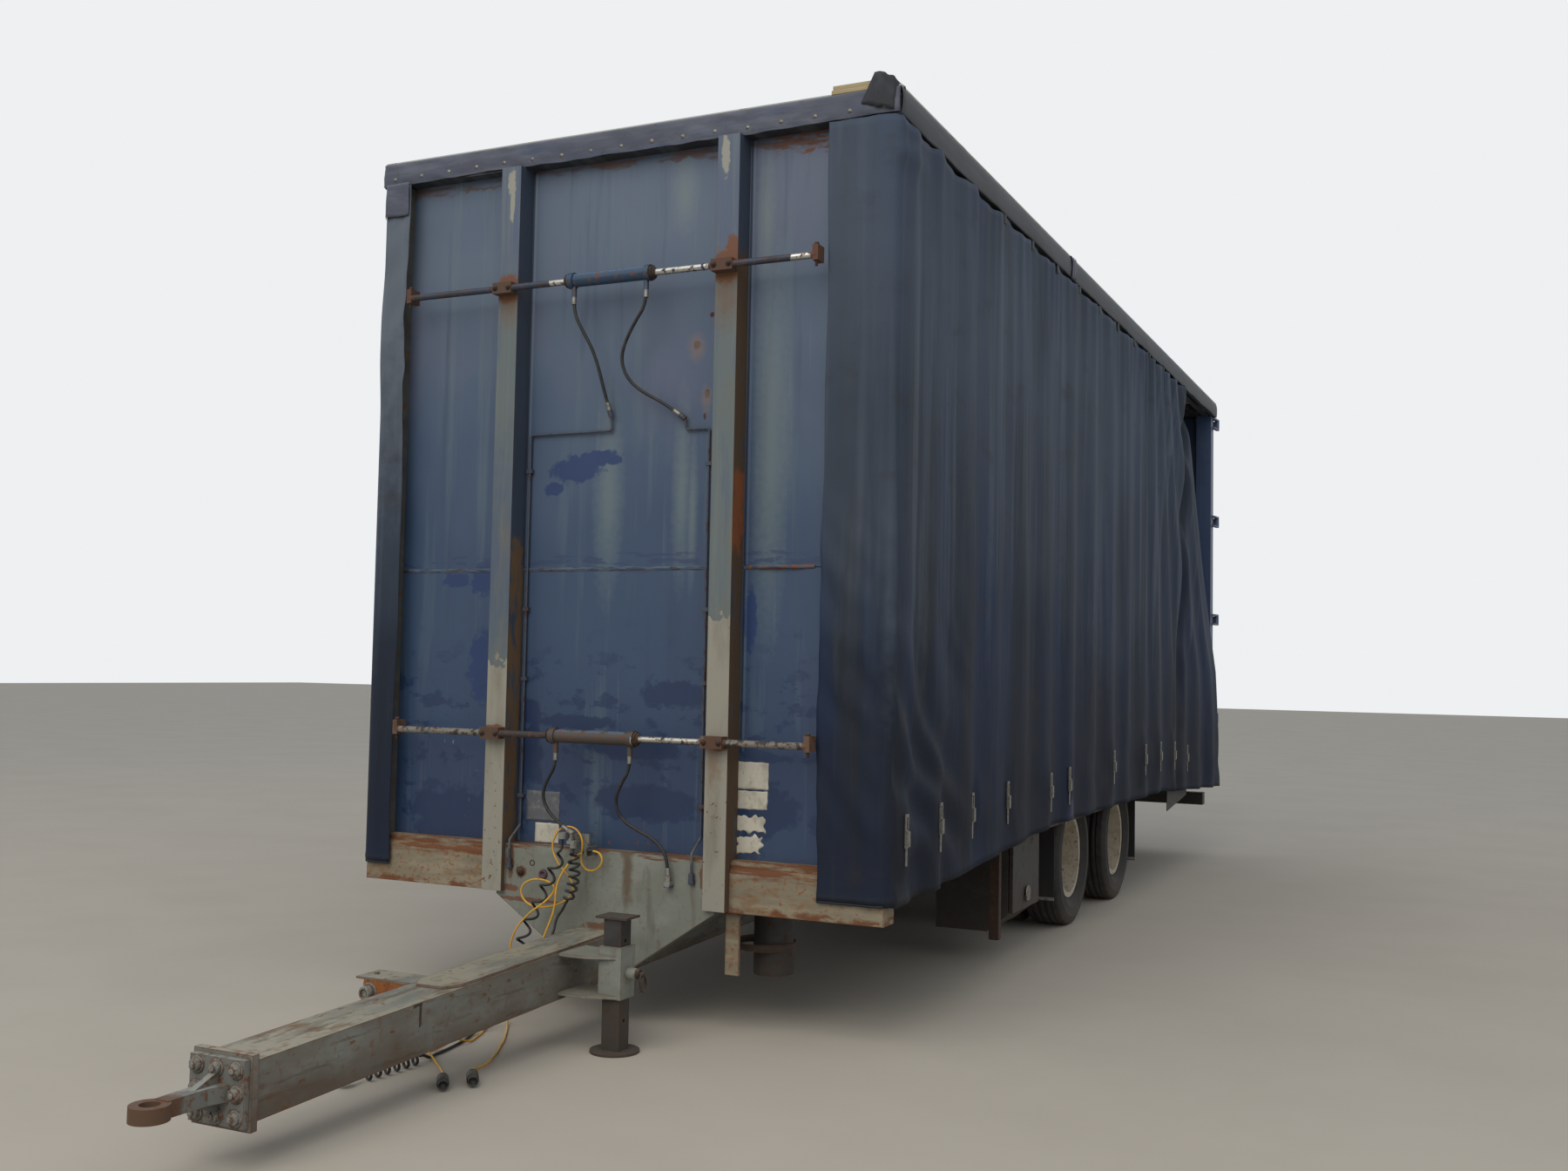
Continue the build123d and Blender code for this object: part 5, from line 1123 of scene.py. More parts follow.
@dataclass
class Studio:
    """Camera, floor, lamps and surround."""

    camera_place: tuple[float, float, float] = (3.3128, -7.9681, 1.4739)
    yaw: float = -25.142
    pitch: float = 3.0906
    roll: float = 1.0863
    lens: float = 34.43
    floor_half: float = 60.0
    sky: str = "#eef0f2"
    floor: str = "#b9b2a6"

    def camera(self) -> None:
        """Set the camera where the photograph was taken."""
        data = bpy.data.cameras.new("camera")
        data.sensor_width, data.lens = 36.0, self.lens
        data.clip_start, data.clip_end = 0.05, 500.0
        made = bpy.data.objects.new("camera", data)
        bpy.context.collection.objects.link(made)
        yaw, pitch, roll = (math.radians(a) for a in (self.yaw, self.pitch, self.roll))
        ahead = Vector((math.sin(yaw) * math.cos(pitch), math.cos(yaw) * math.cos(pitch), math.sin(pitch)))
        right = Vector((math.cos(yaw), -math.sin(yaw), 0))
        above = right.cross(ahead)
        turned = math.cos(roll) * right + math.sin(roll) * above
        upward = math.cos(roll) * above - math.sin(roll) * right
        axes = Matrix((turned, upward, -ahead)).transposed().to_4x4()
        made.matrix_world = Matrix.Translation(Vector(self.camera_place)) @ axes
        bpy.context.scene.camera = made

    def surround(self) -> None:
        """Pale surround that the camera and shiny surfaces see, and a plainer one that lights the trailer."""
        world = bpy.data.worlds.new("surround")
        bpy.context.scene.world = world
        world.use_nodes = True
        tree = world.node_tree
        tree.nodes.clear()
        seen = add_node(tree, "ShaderNodeLightPath")
        either = add_node(tree, "ShaderNodeMath", {"operation": "MAXIMUM"},
                          {0: seen.outputs["Is Camera Ray"], 1: seen.outputs["Is Glossy Ray"]})
        shown = add_node(tree, "ShaderNodeMath", {"operation": "MAXIMUM"},
                         {0: either.outputs[0], 1: seen.outputs["Is Transmission Ray"]})
        light = add_node(tree, "ShaderNodeBackground", {0: linear("#dfe5ec"), 1: 0.62})
        pale = add_node(tree, "ShaderNodeBackground", {0: linear(self.sky), 1: 1.0})
        mixed = add_node(tree, "ShaderNodeMixShader", None,
                         {0: shown.outputs[0], 1: light.outputs[0], 2: pale.outputs[0]})
        add_node(tree, "ShaderNodeOutputWorld", None, {0: mixed.outputs[0]})

    def lamps(self) -> None:
        """Two broad soft lamps, the stronger high at the front left."""
        for name, place, aim, size, power in (("key", (0.5, -14, 12), (0, -1.5, 1.6), 13, 1300),
                                              ("fill", (11, -6, 10), (0, 0, 1.5), 12, 110)):
            data = bpy.data.lights.new(name, "AREA")
            data.shape, data.size, data.energy = "SQUARE", size, power
            data.color = linear("#fff8ee")[:3]
            made = bpy.data.objects.new(name, data)
            bpy.context.collection.objects.link(made)
            made.location = place
            made.rotation_euler = (Vector(aim) - Vector(place)).to_track_quat("-Z", "Y").to_euler()

    def ground(self) -> None:
        """Plain pale floor."""
        shape = Shape()
        half = self.floor_half
        shape.grid([[Vector((x, y, 0)) for x in (-half, half)] for y in (-half, half)])
        mesh = bpy.data.meshes.new("floor")
        mesh.from_pydata(shape.points, [], shape.faces)
        made = bpy.data.objects.new("floor", mesh)
        bpy.context.collection.objects.link(made)
        finish = Finish("plain_floor", self.floor, 0.9,
                        layers=(Layer("#aaa396", Blotches((900, 900, 900), 0.4, 0.7, 2.0), 0.9, 0.35),))
        made.data.materials.append(finish.material())

    def build(self) -> None:
        """Make the whole studio."""
        self.surround()
        self.lamps()
        self.ground()
        bpy.context.scene.view_settings.view_transform = "Standard"


# Routes of the hoses and cables, each point as (x, station, z) in millimetres
ROUTES: dict[str, tuple[tuple[float, float, float], ...]] = {
    "hose_upper_right": ((-172, -32, 3015), (-172, -32, 2950), (-141, -15, 2879), (-99, 5, 2798),
        (-78, 28, 2712), (-66, 52, 2628), (-50, 74, 2545)),
    "hose_upper_left": ((179, -32, 3015), (179, -32, 2955), (122, -20, 2890), (74, -10, 2819), (46, 0, 2750),
        (57, 12, 2685), (95, 30, 2631), (156, 48, 2591), (229, 62, 2553), (290, 76, 2508)),
    "hose_lower_right": ((-204, -32, 1098), (-204, -32, 1040), (-244, -30, 984), (-268, -26, 925),
        (-256, -20, 870), (-202, -20, 815), (-134, -30, 781)),
    "hose_lower_left": ((154, -32, 1098), (154, -32, 1042), (118, -30, 988), (88, -22, 935), (82, -10, 880),
        (112, 0, 832), (173, 0, 800), (247, 0, 772), (300, 0, 730), (322, 2, 678), (324, 4, 624)),
    "cable_long": ((-24, -45, 707), (8, -45, 707), (37, -50, 700), (50, -50, 672), (31, -45, 640),
        (-8, -36, 622), (-50, -24, 626), (-76, -14, 648), (-78, -12, 679), (-74, -10, 712), (-77, -10, 748),
        (-101, -10, 784), (-145, -10, 797), (-186, -12, 782), (-211, -14, 748), (-220, -16, 706),
        (-202, -18, 663), (-173, -20, 630), (-134, -24, 598), (-106, -26, 566), (-103, -26, 530),
        (-129, -24, 498), (-172, -20, 475), (-220, -18, 460), (-269, -18, 451), (-314, -18, 455),
        (-352, -18, 475), (-370, -18, 507), (-360, -18, 539), (-327, -18, 561), (-284, -18, 569),
        (-240, -22, 566), (-200, -24, 552), (-180, -48, 532), (-180, -80, 512), (-192, -106, 490),
        (-216, -117, 470), (-245, -121, 450), (-271, -124, 424), (-298, -128, 394), (-318, -128, 362),
        (-333, -126, 328), (-341, -122, 292), (-345, -124, 248), (-347, -130, 200), (-345, -137, 150),
        (-339, -146, 100), (-326, -158, 58), (-305, -178, 22), (-280, -212, 7), (-243, -266, 5),
        (-196, -343, 5), (-150, -415, 5), (-113, -492, 5), (-70, -569, 5), (-42, -641, 5), (-10, -702, 5),
        (6, -770, 6), (12, -824, 12), (35, -868, 24), (60, -900, 24)),
    "cable_short": ((-36, -30, 695), (-69, -30, 695), (-104, -32, 667), (-126, -46, 636), (-144, -58, 602),
        (-155, -68, 565), (-158, -74, 529), (-157, -76, 495), (-161, -78, 461), (-170, -82, 426),
        (-182, -90, 388), (-194, -98, 347), (-207, -108, 305), (-222, -125, 262), (-238, -142, 216),
        (-255, -161, 170), (-273, -178, 125), (-289, -195, 84), (-306, -214, 46), (-322, -238, 17),
        (-330, -274, 5), (-318, -322, 5), (-290, -368, 5), (-274, -425, 5), (-251, -487, 5),
        (-253, -524, 14), (-260, -556, 27), (-268, -588, 27), (-277, -624, 14), (-290, -662, 5),
        (-308, -700, 6), (-305, -738, 14), (-268, -758, 27), (-226, -774, 27), (-186, -800, 14),
        (-139, -835, 6), (-86, -882, 5), (-50, -924, 10), (-25, -959, 24), (0, -990, 24)),
    "curly_hose_left": ((-139, -62, 749), (-139, -62, 702), (-163, -62, 650), (-193, -62, 593),
        (-219, -64, 537), (-246, -70, 479), (-269, -78, 424), (-292, -86, 374), (-306, -87, 325),
        (-318, -80, 270), (-336, -76, 212), (-352, -72, 155), (-368, -70, 100)),
    "curly_hose_right": ((-82, -68, 715), (-82, -68, 675), (-70, -68, 628), (-77, -68, 574), (-94, -68, 522),
        (-115, -68, 482)),
    "curly_hose_lead": ((-115, -68, 482), (-127.6, -68, 458), (-146, -70, 436), (-154, -76, 408),
        (-153, -86, 378), (-160, -100, 340), (-172, -118, 300), (-188, -140, 255), (-206, -165, 205),
        (-226, -192, 155), (-248, -222, 105), (-272, -256, 62), (-296, -300, 34), (-312, -352, 17),
        (-308, -412, 7), (-286, -470, 7), (-270, -535, 7), (-256, -605, 7), (-246, -672, 7), (-245, -728, 7),
        (-222, -775, 8), (-222, -815, 8)),
    "curly_hose_ground": ((-222, -815, 30), (-222, -890, 30), (-228, -965, 30), (-236, -1035, 30),
        (-234, -1105, 30), (-245, -1168, 30)),
}


def route_points(route: str) -> list[Vector]:
    """Points of a route in the frame."""
    return [at(*(value / 1000 for value in point)) for point in ROUTES[route]]


@dataclass(frozen=True)
class Run:
    """One cord's facts: its diameter and real length in metres, what ends it and how it lies."""

    route: str
    diameter: float
    length: float
    far_end: FarEnd = FarEnd.OBJECT
    stiffness: Stiffness = Stiffness.STIFF
    lay: Lay = Lay.HANGING


@dataclass
class CordSet:
    """Hoses on the wall, the two cables and the two curly hoses, with their plugs and couplings."""

    runs: tuple[Run, ...] = (
        Run("hose_upper_right", 0.014, 0.503),
        Run("hose_upper_left", 0.014, 0.674),
        Run("hose_lower_right", 0.014, 0.395),
        Run("hose_lower_left", 0.014, 0.615),
        Run("cable_long", 0.008, 2.756, FarEnd.PLUG, Stiffness.LIMP, Lay.LOOSE),
        Run("cable_short", 0.008, 1.732, FarEnd.PLUG, Stiffness.LIMP, Lay.LOOSE))
    cable_diameter: float = 0.008
    sleeve_length: float = 0.024
    curl_diameter: float = 0.011
    left_turns: int = 8
    right_turns: int = 7
    ground_turns: int = 7
    left_radius: float = 0.0225
    right_radius: float = 0.0205
    ground_radius: float = 0.0230
    left_length: float = 1.254
    right_length: float = 2.906
    steps: int = 14
    ends: list[Piece] = field(default_factory=list)

    def spline(self, name: str, points: Sequence[Vector], radius: float, resolution: int = 8) -> Piece:
        """Make a curve of one open NURBS spline.

        Args:
            name: The piece's name.
            points: Its control points.
            radius: Half the cord's diameter, or 0 for a bare line.
            resolution: Steps between control points.

        Returns:
            The curve's object.
        """
        data = bpy.data.curves.new(name, "CURVE")
        data.dimensions = "3D"
        line = data.splines.new("NURBS")
        line.points.add(len(points) - 1)
        for held, point in zip(line.points, points):
            held.co = (*point, 1.0)
        line.order_u = 3
        line.use_endpoint_u = True
        line.resolution_u = resolution
        data.bevel_depth = radius
        data.bevel_resolution = 3
        data.use_fill_caps = radius > 0
        made = bpy.data.objects.new(name, data)
        bpy.context.collection.objects.link(made)
        return made

    def smooth_line(self, route: str) -> list[Vector]:
        """Points along a route's NURBS spline."""
        bare = self.spline("bare_line", route_points(route), 0.0)
        bpy.context.view_layer.update()
        mesh = bpy.data.meshes.new_from_object(bare)
        found = [vertex.co.copy() for vertex in mesh.vertices]
        bpy.data.meshes.remove(mesh)
        bpy.data.curves.remove(bare.data)
        return found

    def helix(self, line: Sequence[Vector], turns: int, radius: float) -> list[Vector]:
        """Points of a coil wound round a line, running into the line at both of its ends.

        Args:
            line: The coil's middle line.
            turns: Number of turns.
            radius: From the middle line to the middle of the hose.

        Returns:
            The coil's points.
        """
        reach = [0.0]
        for i in range(1, len(line)):
            reach.append(reach[-1] + (line[i] - line[i - 1]).length)
        count = turns * self.steps
        found, side, j = [line[0].copy()], Vector(LEFTWARD), 0
        for i in range(count + 1):
            want = reach[-1] * (0.04 + 0.92 * i / count)
            while j < len(line) - 2 and reach[j + 1] < want:
                j += 1
            share = (want - reach[j]) / (reach[j + 1] - reach[j])
            way = (line[j + 1] - line[j]).normalized()
            side = (side - way * side.dot(way)).normalized()
            grown = radius * smooth_step(1.2 * min(i, count - i) / self.steps)
            turn = 2 * math.pi * i / self.steps
            found.append(line[j].lerp(line[j + 1], share)
                         + grown * (math.cos(turn) * side + math.sin(turn) * way.cross(side)))
        return [*found, line[-1].copy()]

    def end_piece(self, name: str, route: str, profile: Sequence[tuple[float, float]],
                  finish: Finish) -> Piece:
        """Turned plug or coupling that continues the end of a cord.

        Args:
            name: The piece's name.
            route: The cord's route.
            profile: Points as (along, radius) in metres from the cord's end.
            finish: Its finish.

        Returns:
            The piece, which also stands for the CAD ends.
        """
        before, last = route_points(route)[-2:]
        way = (last - before).normalized()
        shape = Shape()
        seat = aimed(last, way)
        shape.lathe(profile, seat, 36)
        made = shape.piece(name, finish)
        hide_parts("cord_ends")
        self.ends.append(made)
        return made

    def plug(self, name: str, route: str) -> Piece:
        """Seven-pole trailer plug: a ribbed boot, a grip with flutes, a collar and a hollow mouth."""
        boot = [(-0.004, 0.0001), (-0.004, 0.0062)]
        for i in range(5):
            boot += [(0.0045 * i, 0.0062 + 0.0006 * i), (0.0045 * i + 0.0030, 0.0064 + 0.0006 * i),
                     (0.0045 * i + 0.0032, 0.0052 + 0.0006 * i)]
        body = [(0.028, 0.009), (0.030, 0.019), (0.033, 0.0205), (0.041, 0.0205), (0.043, 0.0195),
                (0.046, 0.0195), (0.048, 0.0215), (0.098, 0.0215), (0.101, 0.0205), (0.103, 0.0172),
                (0.124, 0.0172), (0.1255, 0.0165), (0.1255, 0.0148), (0.108, 0.0145), (0.108, 0.0001)]
        return self.end_piece(name, route, boot + body, BLACK_PLASTIC)

    def coupling(self, name: str, route: str) -> Piece:
        """Palm coupling: crimped ferrule, swivel and its sealed face."""
        profile = [(-0.012, 0.0001), (-0.012, 0.0072), (0.0, 0.0072), (0.0, 0.0115), (0.0035, 0.0115),
                   (0.0040, 0.0104), (0.0075, 0.0104), (0.0080, 0.0118), (0.0145, 0.0118), (0.0155, 0.0128),
                   (0.0165, 0.0195), (0.019, 0.0208), (0.043, 0.0208), (0.046, 0.0190), (0.047, 0.0168),
                   (0.0575, 0.0168), (0.0575, 0.0120), (0.054, 0.0110), (0.054, 0.0001)]
        return self.end_piece(name, route, profile, CAST_COUPLING)

    def sleeve(self, name: str, route: str) -> Piece:
        """Tapered rubber sleeve where a cable leaves its socket."""
        reach, radius = self.sleeve_length, self.cable_diameter / 2
        first, second = route_points(route)[:2]
        seat = aimed(first, second - first)
        shape = Shape()
        profile = [(0.0, 0.0001), (0.0, radius * 2.1)]
        for i in range(4):
            start, size = reach * i / 4, radius * (2.0 - 0.22 * i)
            profile += [(start + reach * 0.16, size), (start + reach * 0.18, size * 0.86),
                        (start + reach * 0.24, size * 0.86)]
        shape.lathe([*profile, (reach, radius * 1.05), (reach, 0.0001)], seat, 24)
        return shape.piece(name, BLACK_RUBBER)

    def curly(self, name: str, points: Sequence[Vector], nodes: tuple[str, ...], end: Piece) -> None:
        """Make one curly hose.

        Args:
            name: The piece's name.
            points: Its control points.
            nodes: The CAD nodes that it stands for.
            end: The coupling on its far end; not used.
        """
        made = self.spline(name, points, self.curl_diameter / 2, 3)
        made.data.materials.append(BLACK_RUBBER.material())
        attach(made, "trailer")
        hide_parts(*nodes)

    def build(self) -> None:
        """Make every cord and the pieces on it."""
        for cable in ("long", "short"):
            route = f"cable_{cable}"
            self.plug(f"plug_{cable}", route)
            self.sleeve(f"sleeve_{cable}", route)
        for run in self.runs:
            points = route_points(run.route)
            made = self.spline(f"line_{run.route}", points, run.diameter / 2)
            finish = CABLE_JACKET if run.far_end is FarEnd.PLUG else BLACK_RUBBER
            made.data.materials.append(finish.material())
            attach(made, "trailer")
            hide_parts(run.route)
        left = self.helix(self.smooth_line("curly_hose_left"), self.left_turns, self.left_radius)
        self.curly("line_curly_left", left, ("curly_hose_left",),
                   self.coupling("coupling_left", "curly_hose_left"))
        right = self.helix(self.smooth_line("curly_hose_right"), self.right_turns, self.right_radius)
        right += route_points("curly_hose_lead")[1:-1]
        right += self.helix(self.smooth_line("curly_hose_ground"), self.ground_turns, self.ground_radius)
        self.curly("line_curly_right", right, ("curly_hose_right", "curly_hose_lead", "curly_hose_ground"),
                   self.coupling("coupling_ground", "curly_hose_ground"))
        LOG.info("cords: %d lines, %d ends", len(self.runs) + 2, len(self.ends))


# The part's fold arcs: length along the curtain and how far out each stands, in millimetres
FOLDS = (
    (190, 22), (150, -14), (210, 24), (170, -12), (230, 26), (180, -14), (240, 20), (200, -10),
    (260, 26), (190, -14), (250, 22), (210, -12), (270, 26), (220, -14), (260, 24), (200, -12),
    (280, 28), (220, -14), (260, 26), (210, -12), (280, 28), (220, -14), (260, 24), (200, -12),
    (270, 26), (220, -14), (260, 24), (240, -12), (280, 24), (230, -12), (270, 24))
# Lower and rear edges as points: (station, height), and (height, station)
HEM_LINE = ((-0.10, 0.565), (0.10, 0.560), (2.47, 0.680), (5.20, 0.660), (6.40, 0.600), (REAR_STATION, 0.560))
REAR_LINE = ((0.560, REAR_STATION), (1.500, 7.38), (3.630, 6.08))
# Buckles on the curtain as (station, height of the top end)
BUCKLES = ((0.151, 0.916), (0.547, 0.931), (1.044, 0.936), (1.592, 0.952), (2.279, 0.955), (2.633, 0.967),
           (3.683, 1.010), (4.590, 1.012), (5.108, 1.008), (5.613, 0.992), (6.312, 0.940))
# Folds of the wraps on the front wall, each as how far it lies in from the side and how far it stands out
FRONT_WRAPS = {Side.LEFT: ((0.275, 0.004), (0.230, 0.001), (0.180, 0.008), (0.120, 0.001), (0.060, 0.009)),
               Side.RIGHT: ((0.135, 0.004), (0.095, 0.001), (0.050, 0.008))}
# Heights between which slanting creases cross the wraps
CREASED = {Side.LEFT: (0.62, 2.25), Side.RIGHT: (2.45, 3.62)}


def between(line: Sequence[tuple[float, float]], value: float) -> float:
    """Value read off a line of (place, value) points."""
    for (a, first), (b, second) in zip(line, line[1:]):
        if value <= b:
            return first + (second - first) * max(0.0, (value - a) / (b - a))
    return line[-1][1]


@dataclass
class Curtain:
    """One side's curtain, hung from rollers and buckled at the hem."""

    side: Side
    face: float = 1.263
    start: float = 0.070
    top: float = 3.6285
    column_pitch: float = 0.026
    rows: int = 104
    gather_from: float = 4.6
    scallop_pitch: float = 0.48
    scallop_drop: float = 0.030
    cloth: float = 0.0025
    hem_fold: float = 0.040
    valley_at: float = 5.80
    valley_lean: float = 0.09
    valley_depth: float = 0.055
    flare: float = 0.045
    shoulder: float = 0.016
    drift: float = 0.045
    ripple: float = 0.0060
    fine_ripple: float = 0.0016
    corner_drag: float = 0.013
    hem_drag: float = 0.011
    hanger_crease: float = 0.0045
    innermost: float = -0.0145
    bunch_left: float = 0.020
    bunch_right: float = 0.014
    wrap_crease: float = 0.0065
    cross_crease: float = 0.0050
    wrap_swell: float = 0.004
    wrap_face: float = 0.0317
    wrap_edge: float = HALF_WIDTH - 0.003
    last_fold: float = 7.2
    ruler_row: int = 8
    easing: tuple[float, ...] = (-0.050, -0.025, 0.0, 0.025, 0.050)

    def folds_at(self, station: float) -> float:
        """How far a fold stands out at a station."""
        place = self.start
        for length, out in FOLDS:
            length, out = length / 1000, out / 1000
            if place <= station <= place + length:
                radius = (length * length / 4 + out * out) / (2 * abs(out))
                from_mid = station - place - length / 2
                height = math.sqrt(radius * radius - from_mid * from_mid) - radius + abs(out)
                return math.copysign(height, out)
            place += length
        return 0.0

    def skin_at(self, station: float, z: float) -> Vector:
        """Point of the outer face over a flat column's station and a height.

        Args:
            station: The column's station on the flat sheet, before the gathers.
            z: The height.

        Returns:
            Point as (outwards, station, height).
        """
        seed = 3.7 * self.side.value
        rear = between(REAR_LINE, z)
        squeeze = 1.0
        if station > self.gather_from:
            squeeze = (rear - self.gather_from) / (REAR_STATION - self.gather_from)
        placed = self.gather_from + (station - self.gather_from) * squeeze if squeeze != 1.0 else station
        loose = smooth_step((z - 1.12) / 0.7)
        drift = self.drift * wobble(station * 0.9, z * 0.45, seed) * loose
        read_at = placed + (station - placed) * loose + drift
        held = max(smooth_step(1.35 - abs(placed - place) / 0.085)
                   * smooth_step(1.6 - abs(z - top + 0.100) / 0.150) for place, top in BUCKLES)
        slack = 0.56 + 0.42 * wobble(station * 0.55, z * 0.30, seed + 5)
        slack += 0.9 * (1 - squeeze) * loose
        eased = sum(0.2 * self.folds_at(min(read_at + shift, self.last_fold)) for shift in self.easing)
        out = slack * eased * (1 - held) + self.folds_at(min(read_at, self.last_fold)) * held
        free = 1 - held
        out += self.ripple * free * wobble(station * 6.0, z * 0.7, seed + 9)
        out += self.fine_ripple * free * wobble(station * 17.0, z * 2.2, seed + 11)
        # Slack drags from the front corner down and back
        corner = smooth_step((1.2 - station) / 0.9) * smooth_step((2.0 - z) / 1.0) * free
        out += self.corner_drag * corner * math.sin(20 * (z + 0.9 * station) + 5
                                                    * wobble(station * 2, z * 2, 2.0))
        # Drags between the buckles near the hem
        out += self.hem_drag * free * smooth_step((1.3 - z) / 0.5) * wobble(station * 4.5, z * 6.0, seed + 13)
        # Creases between the hangers run down from the top edge
        near_top = smooth_step((z - 3.05) / 0.5)
        wander = 3 * wobble(station * 0.8, 1.0, seed + 15)
        out += self.hanger_crease * near_top * math.sin(2 * math.pi * station / (self.scallop_pitch / 3)
                                                        + wander)
        # A deep fold stands before the loose rear end, which flares out towards the hem
        middle = self.valley_at + self.valley_lean * z
        valley = smooth_step(1.25 - abs(placed - middle) / 0.16) * smooth_step((z - 1.15) / 0.5)
        out += self.shoulder * smooth_step(1.2 - abs(placed - middle + 0.20) / 0.10) * free
        out -= self.valley_depth * valley
        out += self.flare * smooth_step((placed - 6.2) / 1.2) * smooth_step((2.6 - z) / 1.8)
        out += self.bunch_at(z) * smooth_step((0.55 - station) / 0.5)
        return Vector((self.face + max(out, self.innermost - self.valley_depth * valley), placed, z))

    def bunch_at(self, z: float) -> float:
        """How far the cloth bunches out at the front corner: below the roof's edge, or at the upper rod."""
        if self.side is Side.LEFT:
            share = smooth_step((z - 3.36) / 0.16) * (1 - 0.6 * smooth_step((z - 3.58) / 0.05))
            return self.bunch_left * share * (0.8 + 0.3 * math.sin(42 * z))
        return self.bunch_right * smooth_step(1.2 - abs(z - 2.93) / 0.30)

    def top_at(self, station: float) -> float:
        """Height of the top edge, which sags between its hangers."""
        return self.top - self.scallop_drop * abs(math.sin(math.pi * station / self.scallop_pitch)) ** 0.8

    def drag_at(self, x: float, z: float) -> float:
        """How far the slanting creases of the front wrap stand out."""
        seed = 3.7 * self.side.value
        low, high = CREASED[self.side]
        share = smooth_step((z - low) / 0.3) * smooth_step((high - z) / 0.4)
        wave = math.sin(34 * (z + 1.3 * x) + 5 * wobble(x * 4, z * 1.7, seed))
        cross = math.sin(15 * (z + 1.9 * x) + 4 * wobble(x * 3, z * 1.3, seed + 7))
        soft = wobble(x * 10, z * 1.1, seed + 3)
        patchy = 0.6 + 0.6 * wobble(x * 6, z * 2.1, seed + 5)
        creases = self.wrap_crease * (1 + wave) * patchy + self.cross_crease * (1 + cross)
        return share * creases + self.wrap_swell * (1 + soft)

    def columns(self) -> list[list[Vector]]:
        """Rows of points from the hem up, from the front wrap to the rear edge.

        Returns:
            Points as (outwards, station, height), one row for each height.
        """
        seed = 3.7 * self.side.value
        front = [(HALF_WIDTH - inset, self.wrap_face - forward) for inset, forward in FRONT_WRAPS[self.side]]
        count = int((REAR_STATION - self.start) / self.column_pitch)
        stations = [*(self.start + self.column_pitch * i for i in range(count)), REAR_STATION]
        found = []
        for j in range(self.rows + 1):
            share = j / self.rows
            row = []
            for i, (x, y) in enumerate(front):
                z = between(HEM_LINE, y) + 0.006 + (self.top - between(HEM_LINE, y) - 0.006) * share
                inward = 0.014 * wobble(z * 2.2, seed, 1.0) if i == 0 else 0.0
                row.append(Vector((x + inward, y - self.drag_at(x, z), z)))
                last = front[i + 1] if i < len(front) - 1 else (self.wrap_edge, self.wrap_face)
                for share_x in (0.33, 0.67):
                    part_x, part_y = x + (last[0] - x) * share_x, y + (last[1] - y) * share_x
                    row.append(Vector((part_x, part_y - self.drag_at(part_x, z), z)))
            z = row[-1].z
            bunch = self.bunch_at(z)
            row.append(Vector((self.wrap_edge + 0.6 * bunch, self.wrap_face - 0.3 * bunch, z)))
            row.append(Vector((HALF_WIDTH + 0.0105 + 0.9 * bunch, 0.0405, z)))
            row.append(Vector((HALF_WIDTH + 0.019 + bunch, 0.055, z)))
            for station in stations:
                low = between(HEM_LINE, station) + 0.008 * wobble(station * 3.1, seed, 4.0)
                z = low + (self.top_at(station) - low) * share
                row.append(self.skin_at(station, z))
            found.append(row)
        return found

    def build(self) -> None:
        rows = self.columns()
        turned = []
        edge = 3 * len(FRONT_WRAPS[self.side])
        for inward, rise in ((0.0125, self.hem_fold), (0.0120, 0.012), (0.008, 0.002), (0.003, 0.0)):
            row = []
            for i, point in enumerate(rows[0]):
                aside, back = (inward, 0.0) if i > edge else (0.0, inward / 4)
                row.append(Vector((point.x - aside, point.y + back, point.z + rise + 0.001)))
            turned.append(row)
        rows = turned + rows
        shape = Shape()
        sign = self.side.value
        shape.grid([[Vector((sign * p.x, p.y - MID_STATION, p.z)) for p in row] for row in rows])
        if self.side is Side.RIGHT:
            shape.faces = [tuple(reversed(face)) for face in shape.faces]
        made = shape.piece(f"tarpaulin_{self.side.word}", TARPAULIN)
        self.lay_out(made, rows)
        thicken(made, self.cloth)
        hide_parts(f"curtain_{self.side.word}")

    def lay_out(self, made: Piece, rows: Sequence[Sequence[Vector]]) -> None:
        """Give the sheet UV places in metres along the cloth and up from its edge.

        Args:
            made: The sheet.
            rows: The points that it was made from.
        """
        layer = made.data.uv_layers.new(name="cloth")
        width = len(rows[0])
        along = [0.0]
        for a, b in zip(rows[self.ruler_row], rows[self.ruler_row][1:]):
            along.append(along[-1] + (a - b).length)
        for loop in made.data.loops:
            i, j = divmod(loop.vertex_index, width)
            layer.data[loop.index].uv = (along[j], rows[i][j].z)


